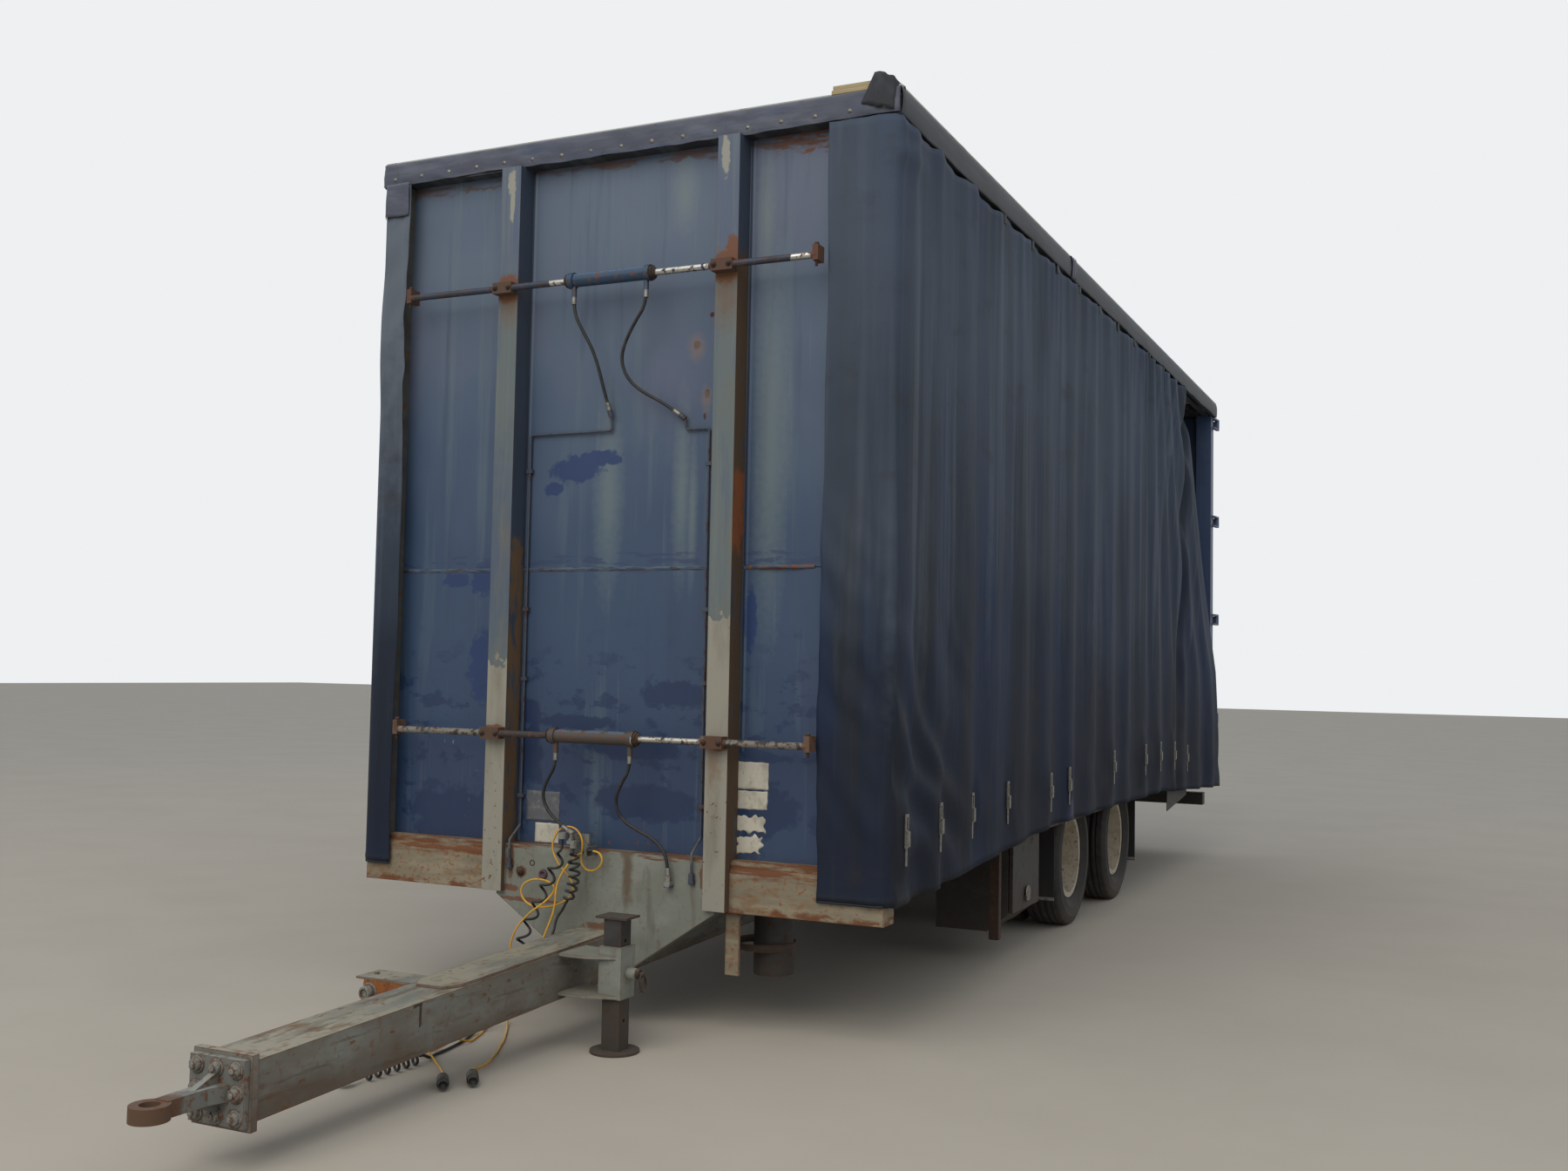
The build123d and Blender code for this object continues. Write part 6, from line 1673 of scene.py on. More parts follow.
@dataclass
class FrontWall:
    """Front wall's seams and labels, the tension rods' small parts and the hoses' ferrules."""

    seam_z: float = 1.8705
    bays: tuple[tuple[float, float], ...] = ((-1.105, -0.590), (-0.480, 0.478), (0.590, 0.905))
    rib_places: tuple[tuple[float, float], ...] = ((-0.472, 0.705), (0.600, 1.130))
    rod_y: float = -0.032
    clamp_face: float = -0.050
    clamp_half: float = 0.034
    hooks: tuple[float, float] = (-1.040, 0.945)
    barrels: tuple[tuple[float, float], ...] = ((-0.195, 0.202), (-0.227, 0.177))

    def seam(self) -> Piece:
        """Lapped joint between the wall's panels, its lip lifted and torn at the right-hand end."""
        shape = Shape()
        for low, high in self.bays:
            count = int((high - low) / 0.012)
            rows = []
            for depth, drop in ((0.0, 0.010), (1.0, 0.009), (1.15, 0.004), (1.0, -0.004), (0.0, -0.007)):
                row = []
                for i in range(count + 1):
                    x = low + (high - low) * i / count
                    shake = wobble(x * 9, 1.0, 4.0)
                    lift = 0.0030 + 0.0012 * shake
                    if x > 0.60:
                        lift += 0.010 * math.sin(math.pi * min(1.0, (x - 0.60) / 0.30)) * (1.2 + shake)
                    row.append(at(x, WALL_STATION - lift * depth, self.seam_z + drop + 0.002 * shake))
                rows.append(row)
            shape.grid(rows)
        return shape.piece("wall_seam", SEAM_STEEL)

    def ribs(self) -> Piece:
        """Upright rolled joints beside the posts."""
        shape = Shape()
        for x, foot in self.rib_places:
            for low, high in ((foot, 1.860), (1.882, 3.625)):
                rows = []
                for j in range(41):
                    z = low + (high - low) * j / 40
                    shake = 0.0012 * wobble(x, z * 3, 7.0)
                    rows.append([at(x + dx + shake, WALL_STATION - dy, z) for dx, dy in
                                 ((-0.011, -0.0005), (-0.010, 0.0018), (-0.003, 0.0022), (0.0, 0.0060),
                                  (0.003, 0.0022), (0.010, 0.0018), (0.011, -0.0005))])
                shape.grid(rows)
        return shape.piece("wall_ribs", WALL_PAINT)

    def label(self, name: str, box: tuple[float, float, float, float], finish: Finish, ragged: float,
              seed: float) -> Piece:
        """Film label on the wall with a worn outline.

        Args:
            name: The piece's name.
            box: Its left, right, lower and upper edges.
            finish: Its finish.
            ragged: How far the outline wanders, in metres.
            seed: Place in the noise of its outline.

        Returns:
            The piece.
        """
        left, right, low, high = box
        rows = []
        for j in range(13):
            row = []
            for i in range(13):
                x, z = left + (right - left) * i / 12, low + (high - low) * j / 12
                if i in (0, 12):
                    x += ragged * wobble(z * 40, seed, 0.0)
                if j in (0, 12):
                    z += ragged * wobble(x * 40, seed, 9.0)
                lift = 0.0007 + 0.0008 * max(0.0, wobble(x * 30, z * 30, seed))
                row.append(at(x, WALL_STATION - lift, z))
            rows.append(row)
        return skin(name, rows, finish, 0.0005, 1.0)

    def labels(self) -> None:
        """Blank labels: one low in the middle bay and a column of worn ones in the left-hand bay."""
        for place, box, ragged, seed in (("middle", (-0.433, -0.264, 0.795, 0.923), 0.002, 1.0),
                                         ("middle_low", (-0.385, -0.264, 0.704, 0.788), 0.003, 2.0),
                                         ("side_top", (0.576, 0.719, 0.981, 1.089), 0.003, 3.0),
                                         ("side_second", (0.582, 0.716, 0.901, 0.974), 0.005, 4.0),
                                         ("side_torn", (0.580, 0.708, 0.812, 0.872), 0.028, 5.0),
                                         ("side_low", (0.578, 0.690, 0.727, 0.792), 0.034, 8.0)):
            self.label(f"label_{place}", box, GREY_LABEL if place == "middle" else PAPER_LABEL, ragged, seed)

    def fasteners(self) -> Piece:
        """Nuts of the rod clamps and the pins through the end hooks."""
        shape = Shape()
        ahead = Vector(FORWARD)
        for z in ROD_HEIGHTS:
            for post in (-POST_X, POST_X):
                for dx in (-self.clamp_half, self.clamp_half):
                    shape.nut(at(post + dx, self.clamp_face, z), ahead, 0.017, 0.009)
            for x in self.hooks:
                seat = Matrix.Translation(at(x, self.rod_y + 0.004, z + 0.038))
                shape.lathe([(0, 0.009), (0.004, 0.010), (0.011, 0.010), (0.014, 0.006), (0.0145, 0.0001)],
                            seat, 20)
                below = Matrix.Translation(at(x, self.rod_y + 0.004, z - 0.023))
                seat = below @ Matrix.Rotation(math.pi, 4, "X")
                shape.lathe([(0, 0.006), (0.018, 0.006), (0.021, 0.004), (0.021, 0.0001)], seat, 16)
        return shape.piece("rod_fasteners", RUSTY_STEEL)

    def ferrules(self) -> Piece:
        """Crimped ferrules on both ends of each hose."""
        shape = Shape()
        profile = [(-0.004, 0.0072), (-0.004, 0.0098), (0.002, 0.0104)]
        for i in range(4):
            profile += [(0.003 + 0.006 * i, 0.0104), (0.0045 + 0.006 * i, 0.0096),
                        (0.007 + 0.006 * i, 0.0096)]
        profile += [(0.029, 0.0104), (0.031, 0.0100), (0.032, 0.0074)]
        for route in ROUTES:
            if not route.startswith("hose_"):
                continue
            points = route_points(route)
            for end, inner in ((points[0], points[1]), (points[-1], points[-2])):
                seat = aimed(end, inner - end)
                shape.lathe(profile, seat, 20)
        return shape.piece("hose_ferrules", ZINC_STEEL)

    def cylinder_ends(self) -> Piece:
        """Gland nuts and wiper rings where the rods enter the barrels."""
        shape = Shape()
        for z, ends in zip(ROD_HEIGHTS, self.barrels):
            for x, sign in zip(ends, (-1, 1)):
                seat = aimed(at(x, self.rod_y, z), (sign, 0, 0))
                shape.lathe([(0.0, 0.034), (0.001, 0.0300), (0.004, 0.0290), (0.012, 0.0290)], seat, 6)
                shape.lathe([(0.011, 0.029), (0.013, 0.022), (0.019, 0.021), (0.021, 0.0145)], seat, 28)
        return shape.piece("cylinder_glands", RUSTY_STEEL)

    def dress(self) -> None:
        """Finish the wall's CAD nodes."""
        dress(WALL_PAINT, "front_wall_panels")
        dress(POST_PAINT, "headboard_posts")
        dress(BEAM_PAINT, "front_beam")
        dress(CYLINDER_FINISH, "curtain_tensioners")
        dress(PIPE_STEEL, "wall_pipes")

    def build(self) -> None:
        """Make the wall's pieces."""
        self.dress()
        self.seam()
        self.ribs()
        self.labels()
        self.fasteners()
        self.ferrules()
        self.cylinder_ends()
        LOG.info("front wall: seam, ribs, labels, rod parts")


@dataclass
class RoofEdge:
    """Roof's cloth edge: front strip with its rivets, torn corner flap, patches, lath and side strips."""

    half: float = 1.262
    front: float = 0.0337
    low: float = 3.634
    high: float = 3.741
    rivet_pitch: float = 0.150
    hanger_pitch: float = 0.48
    joint_station: float = 2.655
    flap_foot: float = 3.686
    flap_crest: float = 3.803
    patch_top: float = 3.636
    patch_start: float = -1.105
    patch_face: float = 0.0155
    patch_size: float = 0.150

    def skin_at(self, x: float, share: float) -> Vector:
        """Point of the front strip's face.

        Args:
            x: The place across.
            share: The share of the strip's height, from its lower edge.

        Returns:
            The point in the frame.
        """
        sag = 0.010 * wobble(x * 2.2, 3.0, 1.0) + 0.004 * wobble(x * 9.0, 5.0, 1.0)
        z = self.low + (self.high - self.low) * share + sag * (1 - share) - 0.004 * share
        pocket = 0.5 + 0.5 * math.cos(2 * math.pi * x / self.rivet_pitch)
        out = 0.002 + 0.0070 * (1 - pocket) * max(0.0, 1 - abs(share - 0.35) / 0.45)
        out += 0.0045 * wobble(x * 6.0 + share * 1.5, share * 2.0, 8.0)
        out += 0.0050 * max(0.0, wobble(x * 14.0 + 5 * share, share * 1.2, 3.0))
        return at(x, self.front - max(0.0, out), z)

    def strip(self) -> Piece:
        """Front strip, puckered between its rivets."""
        count = 150
        across = [-self.half + 2 * self.half * i / count for i in range(count + 1)]
        shares = (0, 0.03, 0.12, 0.25, 0.4, 0.55, 0.7, 0.85, 0.97)
        rows = [[self.skin_at(x, share) for x in across] for share in shares]
        rows.append([at(x, self.front + 0.004, self.high) for x in across])
        rows.append([at(x, self.front + 0.040, self.high + 0.002) for x in across])
        made = skin("front_strip", rows, EDGE_TARPAULIN, 0.003)
        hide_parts("front_valance")
        return made

    def rivets(self) -> Piece:
        """Domed rivets with washers along the front strip."""
        shape = Shape()
        count = int(self.half * 2 / self.rivet_pitch)
        for i in range(count + 1):
            x = (i - count / 2) * self.rivet_pitch
            place = self.skin_at(x, 0.30)
            seat = aimed(place, FORWARD)
            shape.lathe([(-0.002, 0.0095), (0.0012, 0.0095), (0.0016, 0.0060), (0.0040, 0.0048),
                         (0.0052, 0.0024), (0.0055, 0.0001)], seat, 18)
        return shape.piece("strip_rivets", ZINC_STEEL)

    def corner_flap(self) -> Piece:
        """Torn end of the side cloth, which stands up dark over the front left corner."""
        rows = []
        for j in range(11):
            share = j / 10
            row = []
            for i in range(19):
                part = i / 18
                x = (1.100 + 0.166 * part) * (1 - share) + (1.156 + 0.110 * part) * share
                crest = self.flap_crest - 0.055 * part + 0.010 * math.sin(math.pi * part)
                z = (self.flap_foot - 0.050 * part) * (1 - share) + crest * share
                ragged = 0.006 * wobble(part * 6, share * 4, 2.0)
                out = 0.010 + 0.020 * math.sin(math.pi * min(1.0, part * 1.1)) * (0.4 + 0.6 * share)
                back = 0.055 * smooth_step((part - 0.80) / 0.20)
                row.append(at(x + ragged, self.front - out + back, z + 1.5 * ragged))
            rows.append(row)
        return skin("corner_flap", rows, CLOTH_REVERSE, 0.0025)

    def lath(self) -> Piece:
        """Grooved pine lath under the roof's cloth, bare at the front left."""
        shape = Shape()
        low, middle, high = 3.7425, 3.7600, 3.7790
        shape.block(at(0.968, 0.036, low), at(1.146, 0.078, middle))
        shape.block(at(0.972, 0.041, middle + 0.0015), at(1.142, 0.078, high))
        shape.block(at(0.970, 0.046, middle - 0.001), at(1.144, 0.078, middle + 0.003))
        return shape.piece("roof_lath", PINE_PLANK, bevel=0.0012)

    def edge_joint(self) -> Piece:
        """Patch of cloth wrapped over the joint between two lengths of the side cloth."""
        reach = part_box("roof_rails")[1][0]
        rows = []
        for depth, z in ((0.003, RAIL_BOTTOM - 0.006), (0.012, RAIL_BOTTOM + 0.010),
                         (0.017, RAIL_BOTTOM + 0.045), (0.015, RAIL_BOTTOM + 0.085),
                         (0.006, RAIL_TOP + 0.004), (-0.020, RAIL_TOP + 0.010), (-0.055, RAIL_TOP + 0.010)):
            row = []
            for i in range(13):
                part = i / 12
                rise = 0.003 * math.sin(5 * math.pi * part) + 0.003 * wobble(part * 5, z * 20, 1.0)
                row.append(at(reach + depth + rise, self.joint_station + 0.10 * part, z + 0.5 * rise))
            rows.append(row)
        return skin("edge_joint", rows, EDGE_TARPAULIN, 0.002)

    def corner_patch(self) -> Piece:
        """Patch of tarpaulin folded round the front right corner under the strip."""
        rows = []
        for j in range(13):
            z = self.patch_top - self.patch_size * j / 12
            row = []
            for i in range(17):
                part = i / 16
                x = self.patch_start - self.patch_size * part
                lift = 0.006 + 0.008 * wobble(x * 11, z * 9, 6.0)
                y = self.patch_face - lift + 0.030 * smooth_step((part - 0.82) / 0.18)
                row.append(at(x, y, z + 0.012 * wobble(x * 8, 2.0, 3.0) * j / 12))
            rows.append(row)
        return skin("corner_patch", rows, EDGE_TARPAULIN, 0.002)

    def side_strip(self, side: Side) -> Piece:
        """Roof cloth pulled over a side rail, rounded, with a wandering lower edge."""
        box_low, box_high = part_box("roof_rails")
        reach = max(abs(box_low[0]), abs(box_high[0]))
        count = 240
        rows = []
        for depth, z, loose in ((0.0010, RAIL_BOTTOM - 0.004, 1.0), (0.0045, RAIL_BOTTOM + 0.004, 1.0),
                                (0.0080, RAIL_BOTTOM + 0.030, 0.8), (0.0095, RAIL_BOTTOM + 0.060, 0.5),
                                (0.0075, RAIL_BOTTOM + 0.088, 0.3), (0.0035, RAIL_TOP - 0.008, 0.1),
                                (-0.0030, RAIL_TOP + 0.0030, 0.0), (-0.0200, RAIL_TOP + 0.0050, 0.0),
                                (-0.060, RAIL_TOP + 0.0060, 0.0)):
            row = []
            for i in range(count + 1):
                y = box_low[1] + (box_high[1] - box_low[1]) * i / count
                wave = wobble(y * 2.3, z * 4, 2.0 + side.value)
                fine = wobble(y * 9.0, z * 9, 5.0 + side.value)
                row.append(Vector((side.value * (reach + depth * (1 + 0.5 * wave) + 0.0015 * fine), y,
                                   z + loose * (0.007 * wave + 0.003 * fine))))
            rows.append(row)
        return skin(f"roof_edge_{side.word}", rows if side is Side.LEFT else rows[::-1], EDGE_STRIP, 0.002)

    def runners(self, side: Side) -> Piece:
        """Rollers' hangers and short webbing loops along the top of a curtain."""
        shape = Shape()
        for i in range(1, 13):
            x, station = side.value * self.half, self.hanger_pitch * i
            shape.block(at(x - 0.002, station - 0.016, 3.585), at(x + 0.002, station + 0.016, 3.632))
        return shape.piece(f"curtain_loops_{side.word}", WEBBING, bevel=0.001)

    def dress(self) -> None:
        """Finish the roof's CAD nodes."""
        dress(RAIL_PAINT, "roof_rails", "roof_bars")
        dress(ROOF_SHEET, "roof_sheet")

    def build(self) -> None:
        """Make the roof edge's pieces."""
        self.dress()
        self.strip()
        self.rivets()
        self.corner_flap()
        self.corner_patch()
        self.lath()
        self.edge_joint()
        for side in Side:
            self.side_strip(side)
            self.runners(side)
        LOG.info("roof edge: front strip, rivets, side strips")


@dataclass
class DrawGear:
    """Small parts of the nose plate, the drawbar and the jack: welds, bolts, and the ring on the plate."""

    bolt_across: float = 0.036
    bolt_height: float = 0.0175
    bolt_spread: tuple[float, float] = (0.076, 0.068)
    post_edge: float = 0.483
    post_weld: tuple[float, float] = (0.505, 0.695)
    bead: float = 0.0042
    ripple: float = 0.0062
    beam_top: float = 0.378
    beam_slope: float = math.radians(1.86)
    beam_half: float = 0.100
    web_depth: float = 0.175
    flange_back: float = -1.984
    flange_face: float = -1.985
    flange_thick: float = 0.025
    eye_plate: float = 0.022
    bracket_under: float = 0.3252
    bracket_station: float = -1.0035
    bracket_bolt_place: tuple[float, float] = (-0.318, 0.283)
    tab_thick: float = 0.006

    def weld(self, shape: Shape, corners: Sequence[Vector], seed: float) -> None:
        """Add a rippled weld bead along straight runs.

        Args:
            shape: The shape that gets it.
            corners: The run's corners.
            seed: Place in the noise of its width.
        """
        for first, last in zip(corners, corners[1:]):
            count = max(2, int((last - first).length / self.ripple))
            way = (last - first).normalized()
            side = way.orthogonal().normalized()
            rows = []
            for i in range(2 * count + 1):
                size = self.bead * (1.0 if i % 2 else 0.74) * (1 + 0.35 * wobble(i * 0.3, seed, 0.0))
                middle = first.lerp(last, i / (2 * count))
                rows.append([middle + size * (math.cos(a) * side + math.sin(a) * way.cross(side))
                             for a in (math.pi * k / 4 for k in range(8))])
            shape.grid(rows, closed=True)

    def beam_outline(self, station: float) -> list[Vector]:
        """Corners of the drawbar's webs and upper flange at a station."""
        top = self.beam_top + math.tan(self.beam_slope) * station
        low, half = top - self.web_depth, self.beam_half
        return [at(x, station, z) for x, z in ((-half, low), (-half, top), (half, top), (half, low))]

    def welds(self) -> Piece:
        """Beads round the drawbar at the plate, up the posts' feet and round the drawbar's front flange."""
        shape = Shape()
        self.weld(shape, self.beam_outline(PLATE_STATION - 0.001), 1.0)
        for sign in (-1, 1):
            beside = [at(sign * self.post_edge, PLATE_STATION, z) for z in self.post_weld]
            self.weld(shape, beside, 3.0 + sign)
        flange = self.beam_outline(self.flange_back)
        self.weld(shape, [*flange, flange[0]], 6.0)
        return shape.piece("draw_welds", PLATE_PAINT)

    def eye_bolts(self) -> Piece:
        """Hexagon heads on the eye's base plate."""
        low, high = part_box("towing_eye")
        mid = (low[2] + high[2]) / 2
        shape = Shape()
        face = self.flange_face - self.flange_thick - self.eye_plate
        across, up = self.bolt_spread
        for x in (-across, 0, across):
            for z in (-up, 0, up):
                if x or z:
                    shape.nut(at(x, face, mid + z), Vector(FORWARD), self.bolt_across, self.bolt_height)
        return shape.piece("eye_bolt_heads", BOLT_ENAMEL)

    def plate_parts(self) -> Piece:
        """Bolt head and hole rim on the nose plate."""
        shape = Shape()
        shape.nut(at(-0.403, PLATE_STATION, 0.586), Vector(FORWARD), 0.026, 0.013)
        rim = [(0.0, 0.013), (0.0022, 0.0125), (0.0026, 0.0098), (0.0, 0.0092), (-0.0004, 0.0001)]
        shape.lathe(rim, aimed(at(-0.346, PLATE_STATION, 0.626), FORWARD), 28)
        return shape.piece("plate_bolt", RUSTY_STEEL)

    def plate_ring(self) -> Piece:
        """Rubber ring of a dummy coupling on the nose plate."""
        shape = Shape()
        seat = aimed(at(-0.288, PLATE_STATION, 0.583), FORWARD)
        shape.lathe([(0.0, 0.021), (0.006, 0.0205), (0.010, 0.017), (0.010, 0.012), (0.007, 0.0095),
                     (0.003, 0.009), (0.003, 0.0001)], seat, 32)
        return shape.piece("plate_ring", PURPLE_RUBBER)

    def bracket_tab(self) -> Piece:
        """Upright tab below the front edge of the far bracket's plate."""
        shape = Shape()
        back, under = self.bracket_station, self.bracket_under - 0.0003
        outline = [at(-0.345, back, under), at(-0.352, back, 0.262), at(-0.300, back, 0.238),
                   at(-0.1005, back, 0.240), at(-0.1005, back, under)]
        shape.bar(outline, Vector((0, -self.tab_thick, 0)))
        return shape.piece("bracket_tab", SCALED_STEEL, bevel=0.0008, smooth=False)

    def bracket_bolt(self) -> Piece:
        """Thick round-headed bolt through the tab, with its washer and the nut behind."""
        shape = Shape()
        x, z = self.bracket_bolt_place
        seat = aimed(at(x, self.bracket_station - self.tab_thick, z), FORWARD)
        shape.lathe([(0.0, 0.033), (0.003, 0.033), (0.004, 0.032), (0.004, 0.0255), (0.028, 0.025),
                     (0.032, 0.022), (0.033, 0.0145), (0.028, 0.0135), (0.028, 0.0001)], seat, 32)
        shape.nut(at(x, self.bracket_station, z), Vector(REARWARD), 0.036, 0.018)
        return shape.piece("bracket_bolt", BOLT_ENAMEL)

    def pin_ring(self) -> Piece:
        """Split ring that hangs from the jack pin's end."""
        low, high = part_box("jack_pin")
        middle = Vector((high[0] - 0.006, (low[1] + high[1]) / 2, (low[2] + high[2]) / 2 - 0.020))
        shape = Shape()
        turns = [2 * math.pi * k / 36 for k in range(35)]
        points = [middle + Vector((0.004 * math.sin(a / 2), 0.024 * math.sin(a), 0.028 * math.cos(a)))
                  for a in turns]
        shape.tube(points, 0.0032, 10)
        return shape.piece("pin_ring", RUSTY_STEEL)

    def dress(self) -> None:
        """Finish the draw gear's CAD nodes."""
        dress(PLATE_PAINT, "nose_frame", "jack_sleeve")
        dress(DRAWBAR_PAINT, "drawbar")
        dress(EYE_STEEL, "towing_eye")
        dress(SLATE_PAINT, "jack_leg")
        dress(RUSTY_STEEL, "jack_pin")

    def build(self) -> None:
        """Make the draw gear's pieces."""
        self.dress()
        self.welds()
        self.eye_bolts()
        self.plate_parts()
        self.plate_ring()
        self.bracket_tab()
        self.bracket_bolt()
        self.pin_ring()
        LOG.info("draw gear: welds, bolts, rings")


@dataclass
class RunningGear:
    """Twin wheels: treaded tyres, wheel nuts and valves; the finishes of the axles and springs."""

    groove_depth: float = 0.009
    lug_cut: float = 0.0075
    shoulder_cut: float = 0.0035
    segments: int = 144
    nut_circle: float = 0.1125
    nut_count: int = 10
    disc_out: float = 0.014
    cap_out: float = 0.110
    valve_out: float = 0.060

    def profile(self) -> list[tuple[float, float, float]]:
        """Half a tyre's outline from the bead to the tread's middle.

        Returns:
            Points as (along the axle, radius, share of the lug pattern's depth).
        """
        side = [(0.0757, 0.2228, 0), (0.0757, 0.2413, 0), (0.0830, 0.2500, 0), (0.0900, 0.2520, 0),
                (0.0915, 0.2570, 0), (0.1040, 0.2760, 0), (0.1115, 0.2920, 0), (0.1140, 0.2960, 0),
                (0.1158, 0.3000, 0), (0.1140, 0.3040, 0), (0.1155, 0.3160, 0), (0.1150, 0.3300, 0),
                (0.1130, 0.3420, 0), (0.1145, 0.3440, 0), (0.1130, 0.3480, 0), (0.1085, 0.3620, 0),
                (0.1055, 0.3700, 0.3), (0.1020, 0.3790, 1), (0.0985, 0.3870, 1), (0.0930, 0.3930, 1)]
        tread = [(0.0880, 0.3950, 1), (0.0660, 0.3972, 1)]
        for middle in (0.058, 0.020):
            tread += [(middle + 0.0052, 0.3978, 0.15), (middle + 0.0036, 0.3978 - self.groove_depth, 0),
                      (middle - 0.0036, 0.3978 - self.groove_depth, 0), (middle - 0.0052, 0.3980, 0.15)]
        return [*side, *tread, (0.0, 0.3982, 0.15)]

    def tyre(self, shape: Shape, x: float, station: float, turn: float) -> None:
        """Add one treaded tyre.

        Args:
            shape: The shape that gets it.
            x: The tyre's middle plane.
            station: The axle's station.
            turn: Turn of the lug pattern.
        """
        half = self.profile()
        whole = half + [(-a, r, lug) for a, r, lug in reversed(half[:-1])]
        whole.append((whole[0][0] * 0.98, 0.2228, 0))
        rows = []
        for along, radius, lug in whole:
            row = []
            for i in range(self.segments):
                angle = turn + 2 * math.pi * i / self.segments
                lugged = (i + (2 if along > 0 else 0)) % 4 == 0
                cut = self.lug_cut if lugged and lug >= 1 else self.shoulder_cut * lug * lugged
                reach = radius - cut
                y, z = station + reach * math.cos(angle), WHEEL_RADIUS + reach * math.sin(angle)
                row.append(at(x + along, y, z))
            rows.append(row)
        shape.grid(rows[::-1], closed=True)

    def nuts(self, side: Side, end: str) -> Piece:
        """Wheel nuts, the hub's cap and the valve of one twin wheel.

        Args:
            side: The wheel's side.
            end: Its axle.

        Returns:
            The piece.
        """
        shape = Shape()
        station = AXLE_STATIONS[end]
        way = Vector((side.value, 0, 0))
        x = side.value * (TWIN_MID + self.disc_out)
        for i in range(self.nut_count):
            angle = 2 * math.pi * (i + 0.5) / self.nut_count
            shape.nut(at(x, station + self.nut_circle * math.cos(angle),
                         WHEEL_RADIUS + self.nut_circle * math.sin(angle)), way, 0.032, 0.024)
        cap = side.value * (TWIN_MID + self.cap_out)
        seat = aimed(at(cap, station, WHEEL_RADIUS), way)
        shape.lathe([(-0.010, 0.053), (0.000, 0.0525), (0.005, 0.049), (0.008, 0.040), (0.009, 0.022),
                     (0.0075, 0.018), (0.0075, 0.0001)], seat, 40)
        valve = [at(side.value * (TWIN_MID + self.valve_out + 0.030 * k), station + 0.196 - 0.010 * k,
                    WHEEL_RADIUS - 0.02) for k in range(3)]
        shape.tube(valve, 0.0042, 10)
        return shape.piece(f"wheel_nuts_{end}_{side.word}", HUB_ENAMEL, f"wheel_{end}_{side.word}")

    def dress(self) -> None:
        """Finish the running gear's CAD nodes."""
        dress(CHASSIS_PAINT, "axles", "suspension_arms")
        dress(BLACK_RUBBER, "air_bellows")
        dress(FLAP_RUBBER, "mudflaps")
        for end in AXLE_STATIONS:
            for side in Side:
                dress(RIM_ENAMEL, f"rims_{end}_{side.word}")

    def build(self) -> None:
        """Make the wheels' pieces."""
        self.dress()
        dice = random.Random(7)
        for end, station in AXLE_STATIONS.items():
            for side in Side:
                shape = Shape()
                for step in (-0.5, 0.5):
                    self.tyre(shape, side.value * TWIN_MID + step * TWIN_PITCH, station, dice.uniform(0, 0.1))
                name = f"{end}_{side.word}"
                made = shape.piece(f"treads_{name}", TYRE_RUBBER, f"wheel_{name}", smooth=True)
                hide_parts(f"tyres_{name}")
                self.nuts(side, end)
        LOG.info("running gear: four twin wheels")


@dataclass
class Underbody:
    """The locker's latch, the air tank's straps and the finishes below the body."""

    latch_height: float = 0.075
    strap_shares: tuple[float, float] = (0.28, 0.72)
    strap_half: float = 0.015
    strap_thick: float = 0.002

    def latch(self) -> Piece:
        """Paddle latch in a dish on the locker's lid."""
        low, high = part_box("tool_box_lid")
        x, y, z = high[0], (low[1] + high[1]) / 2, low[2] + self.latch_height
        shape = Shape()
        dish = [(0, 0.040), (0.0022, 0.039), (0.0026, 0.034), (0.0008, 0.030), (0.0008, 0.0001)]
        shape.lathe(dish, aimed(Vector((x, y, z)), LEFTWARD), 36)
        shape.block(Vector((x, y - 0.008, z - 0.026)), Vector((x + 0.0035, y + 0.008, z + 0.026)))
        return shape.piece("lid_latch", ZINC_STEEL, "locker_lid", bevel=0.0008)

    def tank_straps(self) -> Piece:
        """Two steel straps round the air tank."""
        low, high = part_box("air_tank")
        shape = Shape()
        radius = (high[0] - low[0]) / 2
        for share in self.strap_shares:
            z = low[2] + (high[2] - low[2]) * share
            seat = Matrix.Translation(Vector(((low[0] + high[0]) / 2, (low[1] + high[1]) / 2, z)))
            half, outer = self.strap_half, radius + self.strap_thick
            shape.lathe([(-half, radius), (-half, outer), (half, outer), (half, radius)], seat, 48)
        return shape.piece("tank_straps", SLATE_PAINT)

    def dress(self) -> None:
        """Finish the CAD nodes below the body."""
        dress(CHASSIS_PAINT, "chassis_rails", "cross_members", "side_raves", "body_pillars")
        dress(SLATE_PAINT, "tool_box", "tool_box_lid", "air_tank", "rear_skirts")
        dress(RUSTY_STEEL, "guard_posts")
        dress(DECK_PLY, "floor_deck")
        dress(ZINC_STEEL, "curtain_buckles")

    def build(self) -> None:
        """Make the pieces below the body."""
        self.dress()
        self.latch()
        self.tank_straps()
        LOG.info("underbody: latch, straps")


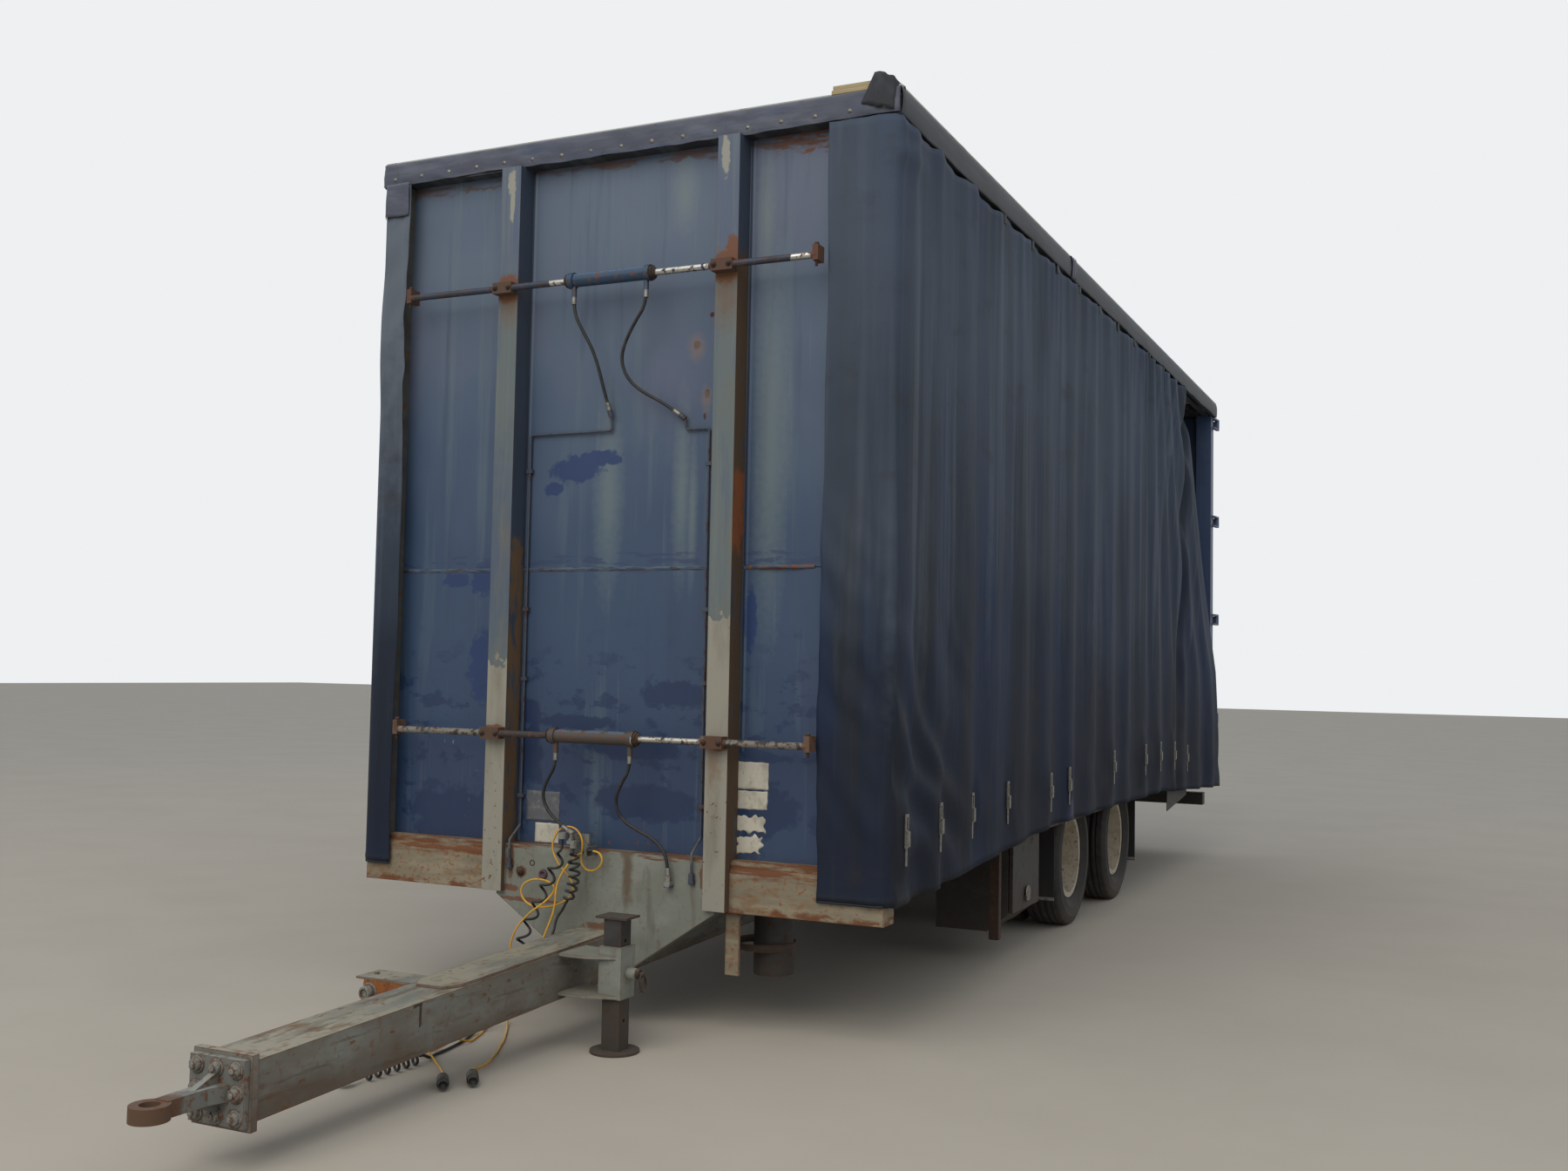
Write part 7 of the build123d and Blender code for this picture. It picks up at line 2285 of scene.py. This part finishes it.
@dataclass
class RearEnd:
    """Door seals, reflectors, the lamps' lenses and a bare plate."""

    door_face: float = 7.585
    door_low: float = 0.720
    door_high: float = 3.710
    seal_inset: float = 0.020
    seal_radius: float = 0.0045
    reflector_x: float = 0.62
    plate_half: float = 0.240
    plate_tall: float = 0.045

    def door_seal(self, side: Side) -> Piece:
        """Rubber lip round one door's edge."""
        shape = Shape()
        left, right = side.value * self.seal_inset, side.value * (HALF_WIDTH - self.seal_inset)
        low, high = self.door_low, self.door_high
        corners = [at(x, self.door_face, z)
                   for x, z in ((left, low), (right, low), (right, high), (left, high), (left, low))]
        for first, last in zip(corners, corners[1:]):
            shape.tube([first.lerp(last, k / 24) for k in range(25)], self.seal_radius, 8)
        return shape.piece(f"door_seal_{side.word}", BLACK_RUBBER, f"rear_door_{side.word}")

    def reflectors(self) -> Piece:
        """Round red reflectors on the bumper."""
        low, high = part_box("rear_bumper")
        shape = Shape()
        mid = (low[2] + high[2]) / 2
        for x in (-self.reflector_x, self.reflector_x):
            seat = aimed(Vector((x, high[1], mid)), REARWARD)
            shape.lathe([(0, 0.034), (0.006, 0.034), (0.0075, 0.032), (0.0075, 0.0275), (0.0060, 0.0270),
                         (0.0070, 0.014), (0.0072, 0.0001)], seat, 40)
        return shape.piece("rear_reflectors", LAMP_LENS)

    def plate(self) -> Piece:
        """Bare plate with a pressed border on the bumper."""
        low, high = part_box("rear_bumper")
        mid, y = (low[2] + high[2]) / 2, high[1]
        shape = Shape()
        half, tall = self.plate_half, self.plate_tall
        rows = []
        for inset, lift in ((0.0, 0.0), (0.0, 0.0014), (0.006, 0.0026), (0.011, 0.0014), (0.050, 0.0014)):
            w, h = half - inset, max(0.002, tall - inset)
            rows.append([Vector((sx * w, y + lift, mid + sz * h))
                         for sx, sz in ((-1, -1), (1, -1), (1, 1), (-1, 1))])
        shape.grid(rows, closed=True)
        shape.faces.append(tuple(len(shape.points) - 4 + k for k in range(4)))
        return shape.piece("rear_plate", PAPER_LABEL, smooth=False)

    def dress(self) -> None:
        """Finish the rear's CAD nodes."""
        dress(DOOR_PAINT, "door_left", "door_right", "rear_posts")
        dress(SLATE_PAINT, "rear_sill", "rear_bumper")
        dress(ZINC_STEEL, "door_locks_left", "door_locks_right")
        dress(LAMP_LENS, "rear_lamps")

    def build(self) -> None:
        """Make the rear's pieces."""
        self.dress()
        for side in Side:
            self.door_seal(side)
        self.reflectors()
        self.plate()
        LOG.info("rear end: seals, reflectors, plate")


def main() -> None:
    """Build every sub-assembly in order."""
    studio = Studio()
    studio.camera()
    CordSet().build()
    studio.build()
    for side in Side:
        Curtain(side).build()
    for part in (FrontWall(), RoofEdge(), DrawGear(), RunningGear(), Underbody(), RearEnd()):
        part.build()


if __name__ == "__main__":
    main()
